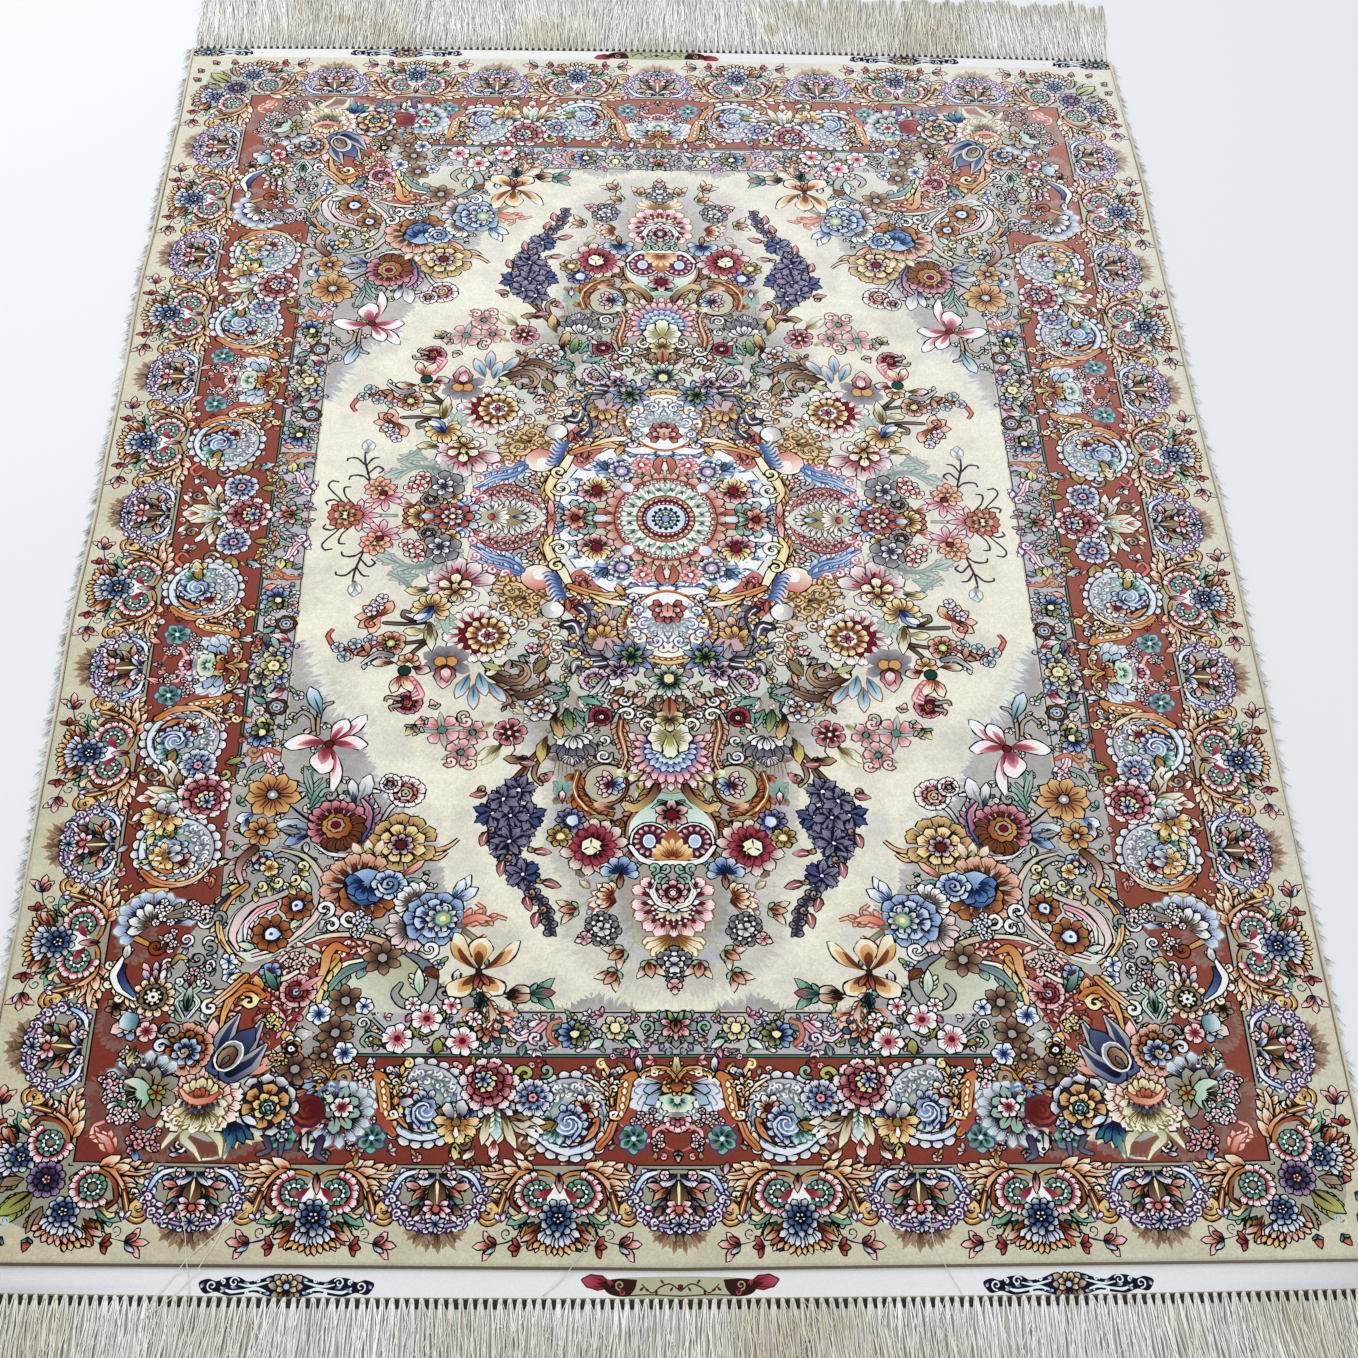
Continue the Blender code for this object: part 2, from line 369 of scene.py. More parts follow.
def palmette(x, y, r, turn, halo="slate", halo_tip="sky", lobe="mint", lobe_tip="ivory", heart="rust",
             core="gold", lobes=7, span=250):
    c, s = cos(radians(turn)), sin(radians(turn))
    whorl(x, y, lobes + 2, r * 0.3, r, r * 0.42, halo, halo_tip, edge="ink", turn=turn, span=span,
          tall=0.25, belly=0.66)
    whorl(x, y, lobes, r * 0.15, r * 0.68, r * 0.32, lobe, lobe_tip, edge="ink", turn=turn,
          span=span * 0.8, tall=0.25)
    petal(x - c * r * 0.2, y - s * r * 0.2, turn, r * 0.62, r * 0.46, heart, core, belly=0.4)
    disc(x + c * r * 0.02, y + s * r * 0.02, r * 0.1, "ink")
    for side in (-1, 1):
        petal(x - c * r * 0.2, y - s * r * 0.2, turn + side * 125, r * 0.5, r * 0.24, "sea", "lime",
              bend=side * 0.3)


def tulip(x, y, size, turn, outer="orange", tip="white", inner="gold", calyx="sea", spread=0.42):
    """Two bent petals, one between them and a calyx."""
    for side in (-1, 1):
        petal(x, y, turn + side * 22, size, size * 0.42, outer, tip, bend=side * spread, belly=0.5)
    petal(x, y, turn, size * 0.82, size * 0.42, outer, inner, belly=0.5)
    for side in (-1, 1):
        petal(x, y, turn + side * 80, size * 0.42, size * 0.2, calyx, "mint", bend=side * -0.3)


def bud(x, y, size, turn, outer="crimson", tip="pink", calyx="sea"):
    petal(x, y, turn, size, size * 0.55, outer, tip, belly=0.45)
    for side in (-1, 1):
        petal(x, y, turn + side * 30, size * 0.55, size * 0.24, calyx, "mint", bend=side * 0.35)


def bloom(x, y, r, tone="pink", tip="white", heart="crimson", lobes=5, turn=0):
    whorl(x, y, lobes, 0.12 * r, r, 4.6 * r / lobes, tone, tip, turn=turn, belly=0.72, fine=4)
    disc(x, y, r * 0.24, heart)

# %% [markdown]
# ## Leaves, curls and acanthus
#
# Toothed leaves, spiral curls and the feathery acanthus scrolls fill what the flowers leave. Each
# follows a line given by a few points.

# %% Leaves, curls and acanthus
def leaf(x, y, turn, length, width, tone="green", tip="mint", bend=0.0, rib="ink", teeth=3, edge="ink"):
    """A leaf with toothed sides."""
    c, s = cos(radians(turn)), sin(radians(turn))
    for i in range(teeth):
        t = 0.16 + 0.5 * i / teeth
        v = bend * length * t ** 2
        px, py = x + c * length * t - s * v, y + s * length * t + c * v
        for side in (-1, 1):
            petal(px, py, turn + side * 42 + bend * 90 * t, length * 0.42, width * 0.3, tone, tip, edge,
                  fine=4)
    petal(x, y, turn, length, width * 0.62, tone, tip, edge, belly=0.45, bend=bend, rib=rib)


def acanthus(points, width, tone="amber", tip="straw", side=1, lobes=5, lobe=1.0, edge="ink",
             rib="rust"):
    """Feathery lobes along a ribbon."""
    line = spline(points)
    slope = np.gradient(line, axis=0)
    for t in np.linspace(0.06, 0.92, lobes):
        i = int(t * (len(line) - 1))
        a = np.degrees(np.arctan2(slope[i, 1], slope[i, 0]))
        size = width * lobe * (1.25 - 0.55 * t)
        for way in ((side,) if side else (-1, 1)):
            petal(line[i, 0], line[i, 1], a + way * 58, size, size * 0.5, tone, tip, edge,
                  bend=-way * 0.28, belly=0.55, fine=5)
    ribbon(points, (width * 0.55, width * 0.6, width * 0.4, width * 0.15), tone, tip, edge, rib=rib)


def curl(x, y, r, turn=0, way=1, turns=1.35, width=None, tone="amber", tip="straw", edge="ink"):
    """A ribbon wound into a spiral."""
    t = np.linspace(0, 1, int(9 * turns) + 2)
    a = np.radians(turn + way * 360 * turns * t)
    rad = r * (1 - 0.8 * t)
    line = np.column_stack((x + np.cos(a) * rad, y + np.sin(a) * rad))
    width = width or r * 0.32
    ribbon(line, (width * 0.8, width, width * 0.8, width * 0.55), tone, tip, edge, 2)


def spray(x, y, r, turn=0, tone="pink", tip="white", heart="crimson", green="lime", count=6):
    """A bunch of small blooms on leaves."""
    spots = ((0, 0), (1.7, 0.9), (1.5, -1.0), (3.1, 0.1), (-1.3, 1.3), (-1.2, -1.5), (2.8, 1.9),
             (2.7, -1.9))
    c, s = cos(radians(turn)), sin(radians(turn))
    for i, a in enumerate((60, -55, 130, -125, 10)):
        if green:
            leaf(x + c * r, y + s * r, turn + a, r * 2.7, r * 1.5, green, "mint" if i % 2 else "straw",
                 teeth=1)
    for i, (u, v) in list(enumerate(spots[:count]))[::-1]:
        bloom(x + (c * u - s * v) * r, y + (s * u + c * v) * r, r * (1.0 - 0.06 * i), tone, tip, heart,
              turn=turn + 40 * i)


def stem(points, width=1.6, tone="ink"):
    """A plain thin line."""
    put(band(spline(points), (width, width, width * 0.7)), tone)


def walked(line):
    """How far each point of a line is from its start, along the line."""
    return np.concatenate(([0], np.cumsum(np.linalg.norm(np.diff(line, axis=0), axis=1))))


def spot_at(line, reach, d):
    """The point at distance d along a line."""
    return np.array([np.interp(d, reach, line[:, axis]) for axis in (0, 1)])


def garland(points, size, tone, tip, edge="ink", gap=4.0, sides=(-1, 1), lean=62):
    """Small leaves along a line, turn and turn about, with a curl at every third."""
    line = spline(points, 6)
    reach = walked(line)
    for i, d in enumerate(np.arange(gap / 2, reach[-1], gap)):
        x, y = spot_at(line, reach, d)
        far = min(d + 0.5, reach[-1])
        across, up = spot_at(line, reach, far) - spot_at(line, reach, far - 0.5)
        a = np.degrees(np.arctan2(up, across))
        for side in sides:
            if (i + side) % 3 == 0:
                r = radians(a + side * 80)
                curl(x + cos(r) * size * 0.55, y + sin(r) * size * 0.55, size * 0.5, a - side * 100,
                     side, 1.0, size * 0.24, tone, tip, edge)
            else:
                petal(x, y, a + side * lean, size, size * 0.42, tone, tip, edge, bend=-side * 0.3,
                      fine=5)


def halo(points, length, tone, gap, width):
    """Soft strokes that stand out all round a shape, both long and short."""
    p = np.asarray(points, float)
    line = spline(np.vstack((p, p[:1])))
    if np.sum(p[:, 0] * np.roll(p[:, 1], -1) - np.roll(p[:, 0], -1) * p[:, 1]) > 0:
        length = -length
    reach = walked(line)
    rng = np.random.default_rng(1)
    for d in np.arange(gap / 2, reach[-1], gap):
        p, q = spot_at(line, reach, d), spot_at(line, reach, d + 0.5)
        along = (q - p) / max(np.linalg.norm(q - p), 1e-6)
        out = np.array((-along[1], along[0]))
        h = length * (0.3 + 0.7 * rng.random())
        put(np.vstack((p - along * width / 2 - out, p + out * h, p + along * width / 2 - out)), tone)

# %% [markdown]
# ## Fillings and soft grounds
#
# Between the large flowers the ground is packed with tendrils. They are scattered by a seeded
# draw inside an outline. Some grounds fade into the next one, for which short feathered strokes
# of the in-between tones stand out from their rims.

# %% Fillings and soft grounds
def filigree(spots, size, tones, seed=1, edge="ink", green="sea"):
    """Small curls, leaves, buds and blooms scattered over spots, to fill a ground."""
    rng = np.random.default_rng(seed)
    for x, y in spots:
        a, kind = rng.uniform(0, 360), rng.integers(0, 5)
        tone, tip = tones[rng.integers(0, len(tones))]
        r = size * rng.uniform(0.8, 1.25)
        if kind in (0, 1):
            stem([(x, y), (x + r * 1.2 * cos(radians(a)), y + r * 1.2 * sin(radians(a)))], 1.1)
            curl(x + r * 1.3 * cos(radians(a)), y + r * 1.3 * sin(radians(a)), r * 0.55, a + 90,
                 1 if kind else -1, 1.2, r * 0.24, tone, tip, edge)
            petal(x, y, a + 70, r * 1.2, r * 0.5, green, "mint", edge)
        elif kind == 2:
            leaf(x, y, a, r * 2.2, r * 1.5, tone, tip, teeth=2, edge=edge)
        elif kind == 3:
            bloom(x, y, r * 0.85, tone, tip, "wine", turn=a)
            petal(x, y, a + 36, r * 1.9, r * 0.6, green, "lime", edge)
        else:
            for i in (-1, 0, 1):
                petal(x, y, a + 40 * i, r * 1.5, r * 0.6, tone, tip, edge, bend=0.2 * i)


def scatter(inside, gap, seed=1):
    """Spots with about that gap between them, inside a closed outline."""
    rng = np.random.default_rng(seed)
    ring = np.asarray(inside, float)
    low, high = ring.min(axis=0), ring.max(axis=0)
    found = []
    for _ in range(int(np.prod((high - low) / gap) * 4)):
        x, y = rng.uniform(low, high)
        a, b = ring, np.roll(ring, -1, axis=0)
        side = (b[:, 0] - a[:, 0]) * (y - a[:, 1]) / (b[:, 1] - a[:, 1] + 1e-12) + a[:, 0]
        crossing = ((a[:, 1] > y) != (b[:, 1] > y)) & (x < side)
        if crossing.sum() % 2 and all((x - u) ** 2 + (y - v) ** 2 > gap ** 2 for u, v in found):
            found.append((x, y))
    return found


def foliage(inside, gap, size, tones, seed, edge="ink", green="sea"):
    """Small curls, leaves and blooms all over an outline."""
    filigree(scatter(inside, gap, seed), size, tones, seed + 1, edge, green)


def feathers(line, tone, length, width=3.0, gap=3.2, seed=1):
    """Soft strokes that stand out from a line on its left, each of its own length."""
    rng = np.random.default_rng(seed)
    line = np.asarray(line, float)
    walk = walked(line)
    roots = np.arange(gap / 2, walk[-1], gap)
    spots = spot_at(line, walk, roots).T
    slope = (spot_at(line, walk, roots + 1) - spot_at(line, walk, roots - 1)).T
    slope /= np.maximum(np.linalg.norm(slope, axis=1), 1e-6)[:, None]
    for spot, way in zip(spots, slope):
        a = rng.normal(0, 0.28)
        out = np.array((way[1] * cos(a) + way[0] * sin(a), -way[0] * cos(a) + way[1] * sin(a)))
        reach, half = length * rng.uniform(0.35, 1.25), width * rng.uniform(0.35, 0.65)
        side = np.array((-out[1], out[0])) * half
        put([spot - side - out * 2, spot + side - out * 2, spot + side + out * reach * 0.6,
             spot + out * reach, spot - side * 0.9 + out * reach * 0.5], tone)


def soft_ground(rim, closing, tones, gap=6.0, seed=1):
    """Nested grounds that step from one tone to the next, each feathered over the one outside."""
    line = spline(rim)
    slope = np.gradient(line, axis=0)
    slope /= np.maximum(np.linalg.norm(slope, axis=1), 1e-6)[:, None]
    out = np.column_stack((slope[:, 1], -slope[:, 0]))
    for step, tone in enumerate(tones):
        lip = line + out * gap * (len(tones) - 1 - step)
        put(np.vstack((lip, closing)), tone)
        feathers(lip, tone, gap * 1.5, seed=seed + step)


def clouds(table, tones=("mottle", "haze"), seed=1):
    """Round patches of soft ground."""
    for number, (x, y, rx, ry) in enumerate(table):
        for step, tone in enumerate(tones):
            a = np.linspace(0, 2 * pi, 25)
            share = 1 - 0.26 * step
            ring = np.column_stack((x + rx * share * np.sin(a), y + ry * share * np.cos(a)))
            put(ring[:-1], tone)
            feathers(ring[::-1], tone, min(rx, ry) * 0.34, 3.4, 3.8, seed + 7 * number + step)


def area(points, tone, tip=None, start=None, end=None, edge=None):
    """A smooth closed shape."""
    p = np.asarray(points, float)
    ring = spline(np.vstack((p, p[:1])))[:-1]
    if edge:
        ribbon(np.vstack((p, p[:1])), (1.2, 1.2), edge, edge=None)
    put(ring, tone, tip, start, end)


def frame_band(x0, y0, x1, y1, tone):
    """An L-shaped band of the quarter, between two rectangles that share the rug's middle."""
    put([(x0, -3), (x1, -3), (x1, y1), (-3, y1), (-3, y0), (x0, y0)], tone)


def patch(points, tone, tip=None, edge=None):
    """A piece of ground with a soft rim: short strokes of in-between tones, then the ground itself."""
    p = np.asarray(points, float)
    if edge:
        halo(points, 4, edge, 2.2, 1.6)
    put(spline(np.vstack((p, p[:1])))[:-1], tone, tip, p[0], p[len(p) // 2])


print("tendrils in a 60 mm square:", len(scatter([(0, 0), (60, 0), (60, 60), (0, 60)], 8)))

# %% [markdown]
# ## Field: the cream ground
#
# The field is undyed cream wool. It is one polygon. Its cloudy look comes from the material.

# %% Cream field
put([(-3, -3), (316, -3), (316, 493), (-3, 493)], "milk")
tally("cream field")

# %% [markdown]
# ## Field: the grey corner pieces
#
# Four grey corner pieces fade into the cream through in-between tones. Each tone has a feathered
# rim over the next.

# %% Grey ground of the corner piece
SPANDREL_RIM = [(318, 148), (306, 176), (296, 204), (282, 226), (262, 238), (250, 262), (246, 290),
                (232, 312), (210, 330), (196, 352), (186, 376), (170, 396), (156, 420), (140, 446),
                (118, 466), (92, 476), (60, 484), (30, 488)]
soft_ground(SPANDREL_RIM[::-1], [(320, 500), (20, 500)], ("mottle", "haze", "fog", "dove", "pebble"),
            6.5, 17)
tally("grey ground of the corner piece")

# %% [markdown]
# ## Pendant: its soft ground
#
# A grey haze surrounds the pendant and its flowers. It fades out into the cream field in
# feathered steps, and smaller clouds lie round the bunches further out.

# %% Soft ground round the pendant
rim = [(150, 150), (136, 186), (134, 214), (128, 240), (108, 262), (98, 290), (98, 330), (92, 356),
       (76, 380), (80, 408), (72, 436), (52, 456), (24, 468), (-8, 472)]
soft_ground(rim, [(-8, 150)], ("mottle", "haze", "pale"), 7, 19)
rim = [(140, 150), (126, 186), (122, 214), (112, 240), (94, 262), (86, 290), (88, 330), (80, 356),
       (62, 376), (64, 404), (56, 420), (38, 436), (18, 448), (-8, 452)]
soft_ground(rim, [(-8, 150)], ("stonegrey", "dove"), 5, 23)
inner = [(120, 150), (112, 196), (108, 226), (92, 250), (86, 280), (76, 312), (60, 330), (58, 352),
         (50, 372), (34, 384), (34, 408), (20, 424), (-8, 430)]
soft_ground(inner, [(-8, 150)], ("pebble", "flint"), 5, 29)
clouds(((126, 322, 22, 44), (112, 378, 18, 22), (172, 246, 32, 24), (214, 216, 22, 18),
        (146, 128, 38, 38), (176, 178, 30, 22), (236, 40, 56, 38), (248, 150, 44, 24),
        (210, 120, 30, 30), (108, 470, 44, 16), (150, 440, 38, 30), (164, 350, 14, 50),
        (226, 250, 20, 20)), seed=40)
tally("soft ground round the pendant")

# %% [markdown]
# ## Outer guard: grounds and places
#
# The places come from counting motifs in the photograph: seven rosettes and six wreaths along an
# end. The spacing is the length of the side shared out evenly.

# %% Grounds and order of the guard
frame_band(430, 610, 500, 684, "cream")
# A thin taupe band along the rim of the pile, on the side and at the end: painted shadow at the pile's
# edge.
frame_band(498.2, 681.0, 500, 684, "taupe")
area([(428, 600), (452, 584), (474, 600), (480, 630), (470, 650), (446, 660), (420, 652), (406, 626)],
     "stone")
tally("grounds and order of the guard")

# %% [markdown]
# ## Main border: its ground
#
# Three thin lines and a brick-red ground. Wool of a second, duller dye lot shows in soft patches,
# which the feathered strokes blend in.

# %% Ground of the main border
frame_band(345, 523, 432.3, 612.3, "ink")
frame_band(345, 523, 431.2, 611.2, "stone")
frame_band(345, 523, 429.4, 609.4, "ink")
frame_band(345, 523, 428.2, 608.2, "brick")
clouds(((404, 566, 22, 26), (372, 588, 30, 16), (330, 592, 26, 12), (410, 500, 14, 22),
        (408, 430, 13, 20), (280, 590, 20, 12)), ("clay", "rosewood"), 61)
tally("ground of the main border")

# %% [markdown]
# ## Inner guard: its ground
#
# A grey band between thin dark lines divides border and field.

# %% Ground of the inner guard
frame_band(312, 488.6, 349, 527, "ink")
frame_band(312, 488.6, 347.9, 525.9, "sea")
frame_band(312, 488.6, 346.8, 524.8, "ink")
frame_band(312, 488.6, 345.6, 523.6, "sand")
frame_band(313.2, 489.8, 345.6, 523.6, "ink")
frame_band(314.4, 491, 345.6, 523.6, "dove")
tally("ground of the inner guard")

# %% [markdown]
# ## Field: where the corner piece breaks out
#
# The corner piece runs on over the inner guard into the main border, which is what gives this rug
# its lively corners.

# %% Grey ground over the guard
patch([(310, 283), (348, 283), (348, 392), (353, 408), (366, 424), (377, 446), (380, 474), (374, 498),
       (368, 516), (376, 540), (372, 566), (350, 588), (316, 594), (290, 590), (268, 584), (253, 566),
       (247, 544), (239, 526), (231, 514), (231, 486), (300, 470)], "pebble", "ash", "clay")
for x, y, r, a, w in ((349, 398, 6, 20, 1), (358, 415, 7, 200, -1), (370, 432, 6, 60, 1),
                      (353, 434, 6, 120, 1), (381, 452, 5, 90, -1), (384, 474, 5, 30, 1),
                      (350, 452, 5, 0, 1), (351, 470, 6, 180, -1), (348, 496, 6, 90, 1),
                      (377, 506, 7, 20, 1), (366, 496, 5, 140, 1), (240, 532, 5, 40, 1),
                      (248, 556, 6, 100, -1), (276, 556, 6, 10, 1), (262, 548, 5, 200, 1),
                      (262, 590, 6, 60, -1), (232, 500, 5, 120, 1), (356, 596, 6, 10, 1),
                      (388, 532, 6, 160, 1)):
    stem([(x - r, y + r), (x, y)], 1.4)
    curl(x, y, r, a, w, 1.25, r * 0.3, "slate", "white")
    petal(x - r * 0.4, y + r, a, r * 1.5, r * 0.5, "steel", "ice")
tally("grey ground over the guard")

# %% [markdown]
# ## Inner guard: blossoms and scrolls
#
# Small blossoms and leaf scrolls run along the grey band. They are placed in a list of positions,
# tones and turns.

# %% Flowers of the inner guard
for inside, seed in (([(316, 2), (344, 2), (344, 274), (316, 274)], 61),
                     ([(2, 493), (230, 493), (230, 522), (2, 522)], 63)):
    filigree(scatter(inside, 7.6, seed), 4, (("ash", "white"), ("rose", "blush"), ("sea", "mint"),
                                             ("slate", "ice"), ("olive", "straw"), ("tan", "ivory")),
             seed + 1, "purple", "sea")
palmette(330, 0, 17, 0, "sea", "ash", "rose", "blush", "brown", "amber", 5, 260)
for y, f in ((33, 1), (273, -1)):
    def scrolls():
        acanthus([(-14, -6), (-4, 6), (-1, 16), (4, 19)], 9, "pink", "white", side=1, lobes=4,
                 edge="purple", rib="rose")
        acanthus([(-1, 3), (8, -2), (12, -12)], 7, "ash", "mint", side=-1, lobes=3, edge="ink",
                 rib="sea")
        curl(-10, -6, 5, 0, 1, 1.1, 2.2, "pink", "white", edge="purple")
    unit(scrolls, 328, y, 0, f)
for y, f in ((52, 1), (236, -1)):
    leaf(333, y, 90 * f, 13, 13, "lime", "straw", teeth=2)
    leaf(324, y + 3 * f, 70 * f, 9, 8, "olive", "lime", teeth=2)
for y, f in ((72, 1), (258, -1)):
    ribbon([(316, y + 2), (325, y + 2 * f), (333, y - 4 * f), (336, y - 10 * f)], (2.4, 3.4, 2),
           "coral", "tan", "rust")
    curl(336, y, 5.5, turn=180, way=f, turns=1.1, width=2.4, tone="amber", tip="tan", edge="rust")
for y, f in ((97, 1), (241, -1)):
    whorl(333, y, 8, 2, 12, 5.4, "deep", "sky", turn=-60 * f, span=230)
    whorl(331, y + 3 * f, 6, 1, 9, 5, "night", "lime", turn=90 * f, span=200)
    ribbon([(326, y + 2 * f), (327, y + 10 * f), (333, y + 13 * f)], (2, 2, 1.4), "ink", edge=None)
    disc(331, y + 2 * f, 3, "straw", edge="ink")
for y, f in ((125, 1), (213, -1)):
    rosette(322, y, 9, "brown", "ash", "sky", "ink", 7)
    leaf(331, y + 4 * f, 30 * f, 12, 9, "sea", "mint", teeth=2)
    bloom(336, y - 4 * f, 4.4, "tan", "white", "rust")
for y, f in ((142, 1), (196, -1)):
    petal(316, y + 3 * f, -40 * f, 18, 9, "rose", "white", bend=0.2 * f)
    petal(320, y + 4 * f, -20 * f, 14, 4, "crimson", "pink", bend=0.2 * f, edge=None)
    leaf(338, y - 6 * f, 100 * f, 18, 10, "slate", "navy", teeth=2)
    leaf(342, y + 2 * f, 110 * f, 12, 8, "navy", "slate", teeth=2)
for s in (-1, 1):
    whorl(332 + 5 * s, 170 + 11 * s, 6, 2, 11, 7.2, "ash", "straw", turn=60)
    bloom(321, 170 + 13 * s, 6, "deep", "ice", "navy")
    leaf(326, 170 + 18 * s, 60 * s, 14, 8, "ash", "mint", teeth=2)
whorl(328, 170, 6, 3, 11.5, 8, "olive", "straw", cleft=0.15)
disc(328, 170, 4.6, "straw", edge="ink")
disc(328, 170, 2, "tan")
palmette(0, 500, 17, 90, "sea", "ash", "rose", "blush", "brown", "amber", 5, 260)
for x, f in ((30, 1), (118, -1)):
    leaf(x, 510, 0 if f > 0 else 180, 15, 9, "sea", "mint", teeth=2)
    curl(x - 8 * f, 502, 6, turn=90, way=f, turns=1.1, width=2.2, tone="ash", tip="mint")
whorl(45, 503, 6, 2, 10, 7, "ash", "straw")
disc(45, 503, 4, "straw", edge="ink")
for s in (-1, 1):
    leaf(45 + s * 9, 512, 90 - s * 60, 12, 9, "mint", "white", teeth=2)
whorl(76, 508, 8, 2, 12, 5.4, "deep", "sky", turn=-30, span=230)
whorl(73, 508, 6, 1, 9, 5, "night", "lime", turn=170, span=200)
disc(75, 508, 3, "straw", edge="ink")
ribbon([(88, 516), (94, 510), (93, 500), (86, 497)], (2, 3, 2), "coral", "tan", "rust")
acanthus([(98, 500), (106, 508), (116, 512), (124, 506)], 9, "pink", "white", side=-1, lobes=4,
         edge="purple", rib="rose")
curl(104, 511, 5, turn=90, way=-1, turns=1.1, width=2.2, tone="pink", tip="white", edge="purple")
tally("flowers of the inner guard")

# %% [markdown]
# ## Outer guard: the green rosette
#
# The narrow outer border repeats two motifs along all four sides. The first is a pair of green
# rosettes in crimson cups. A rosette is two rings of petals and a ring of white dots.

# %% Green rosette
def green_rosette(x, y, facing):
    whorl(x, y, 11, 6, 16.5, 6.2, "rose", "white", turn=facing, span=215, belly=0.74, cleft=0.14)
    whorl(x, y, 10, 5, 12.5, 5, "wine", "rose", turn=facing, span=230, edge=None, belly=0.7)
    whorl(x, y, 10, 3, 10, 5.4, "green", "mint", turn=10, belly=0.72, cleft=0.1)
    whorl(x, y, 9, 1.6, 6.4, 2.6, "ice", "white", turn=25, edge=None)
    disc(x, y, 3.4, "sea", edge="ink", lobes=6)
    disc(x, y, 1.7, "coral")

# %% [markdown]
# ## Outer guard: the arch and its blue fan
#
# Orange acanthus arches over each pair of rosettes, and below them hangs a blue flower with a
# fan. Only one half is drawn, because the motif mirrors.

# %% Half of the rosette motif
def guard_half(s):
    """Half of the double-flower unit of the guard; x runs outwards, s is the side along the border."""
    area([(-2, 0), (-2, s * 56), (8, s * 60), (24, s * 56), (33, s * 44), (31, s * 30), (40, s * 14),
          (44, 0)], "stone")
    stem([(30, s * 20), (42, s * 24), (51, s * 33), (54, s * 44)], 1.3, "navy")
    stem([(44, s * 24), (52, s * 21), (55, s * 26)], 1.1, "slate")
    curl(46, s * 36, 4.2, turn=0, way=s, turns=1.2, width=1.0, tone="ink", tip="navy", edge=None)
    for a, l in ((60, 13), (90, 15), (118, 12)):
        petal(54, s * 44, s * a, l, 5.4, "terra", "blush", bend=s * (a - 90) * 0.012)
    petal(54, s * 43, s * 30, 9, 3.4, "steel", "ice", bend=s * 0.4)
    petal(54, s * 43, s * 150, 8, 3.4, "purple", "coral", bend=-s * 0.4)
    for a in (50, 85, 120):
        petal(55, s * 26, s * a, 8, 3.6, "crimson", "coral", bend=s * (a - 85) * 0.01)
    leaf(31, s * 20, s * 62, 19, 13, "sea", "mint", teeth=3)
    leaf(38, s * 17, s * 38, 13, 8, "green", "mint", teeth=2)
    leaf(40, s * 22, s * 20, 11, 7, "olive", "straw", teeth=2)
    petal(28, s * 17, s * 82, 17, 9, "tan", "straw", belly=0.7, bend=-s * 0.3)
    disc(29, s * 31, 4.0, "sand", tip="cream", edge="brown")
    for x0, y0, a, l in ((37, 12, 34, 16), (41, 12, 22, 17), (46, 10, 12, 13), (43, 15, 44, 13),
                         (49, 12, 30, 11)):
        petal(x0, s * y0, s * a, l, 4.4, "rust", "orange" if l > 14 else "blush", bend=s * 0.25)
    whorl(38, s * 1, 5, 3, 18.5, 5.0, "deep", "white", turn=s * 24, span=52, belly=0.72)
    for i in range(4):
        petal(55 - i, s * (3.6 * i + 1.5), s * (8 + 14 * i), 6.4, 3.4, "orange", "straw", belly=0.5,
              plain=True)
    acanthus([(3, s * 30), (3, s * 38), (4.5, s * 46), (3, s * 54)], 10, "orange", "ivory", side=0,
             lobes=4, lobe=1.1, rib="wine")
    acanthus([(4, s * 16), (5, s * 26), (12, s * 33), (20, s * 38), (27, s * 42)], 12, "orange",
             "ivory", side=s, lobes=5, lobe=1.15, rib="wine")
    garland([(12, s * 36), (20, s * 40), (24, s * 44)], 8, "amber", "ivory", gap=4, sides=(s,), lean=80)
    ribbon([(18, s * 38), (28, s * 41), (36, s * 44), (38, s * 51), (32, s * 56)], (3, 4.4, 4.6, 4),
           "rust", "amber", rib="straw")
    curl(30.5, s * 50, 7.8, turn=s * 60, way=s, turns=1.5, width=3.4, tone="rust", tip="gold")
    for i, (x0, y0) in enumerate(((30, 37), (22, 46), (38, 40))):
        petal(x0, s * y0, s * (20 + 60 * i), 7, 3, "lilac", "white", "purple")
    ribbon([(9, s * 0), (4, s * 6), (2.4, s * 15), (6, s * 25), (14, s * 31), (24, s * 33),
            (30, s * 27)], (2.0, 2.4, 2.8, 2.4, 1.6), "amber", "rust")
    area([(7, s * 2), (4.5, s * 15), (9, s * 26), (19, s * 30), (27, s * 24), (29, s * 8), (24, s * 1)],
         "stone")

# %% [markdown]
# ## Outer guard: both halves
#
# The blue flower belongs to both halves, so it is drawn last, over their seam.

# %% Middle of the rosette motif
def guard_middle():
    for s in (-1, 1):
        petal(6, s * 1.5, s * 8, 27, 8, "blush", "white", edge=None, belly=0.6, plain=True)
        petal(13, s * 3, s * 50, 14, 6, "crimson", "rose", edge=None, plain=True)
    petal(3, 0, 0, 15, 5, "wine", "blush", belly=0.5)
    whorl(35, 0, 11, 5, 13.5, 5, "night", "ice", turn=0, belly=0.7)
    whorl(35, 0, 8, 2.4, 9, 4.4, "navy", "blue", turn=20, belly=0.7)
    disc(35, 0, 3.8, "night", edge="ink")
    dots(35, 0, 2.3, 2.3, 5, 0.8, "white")


def guard_unit():
    for s in (-1, 1):
        guard_half(s)
    for s in (-1, 1):
        green_rosette(17.5, s * 15, 180 - s * 120)
    guard_middle()

# %% [markdown]
# ## Outer guard: the lilac wreath
#
# The second motif is a lilac wreath of curls round a small bunch, with a brown tuft that points
# outward.

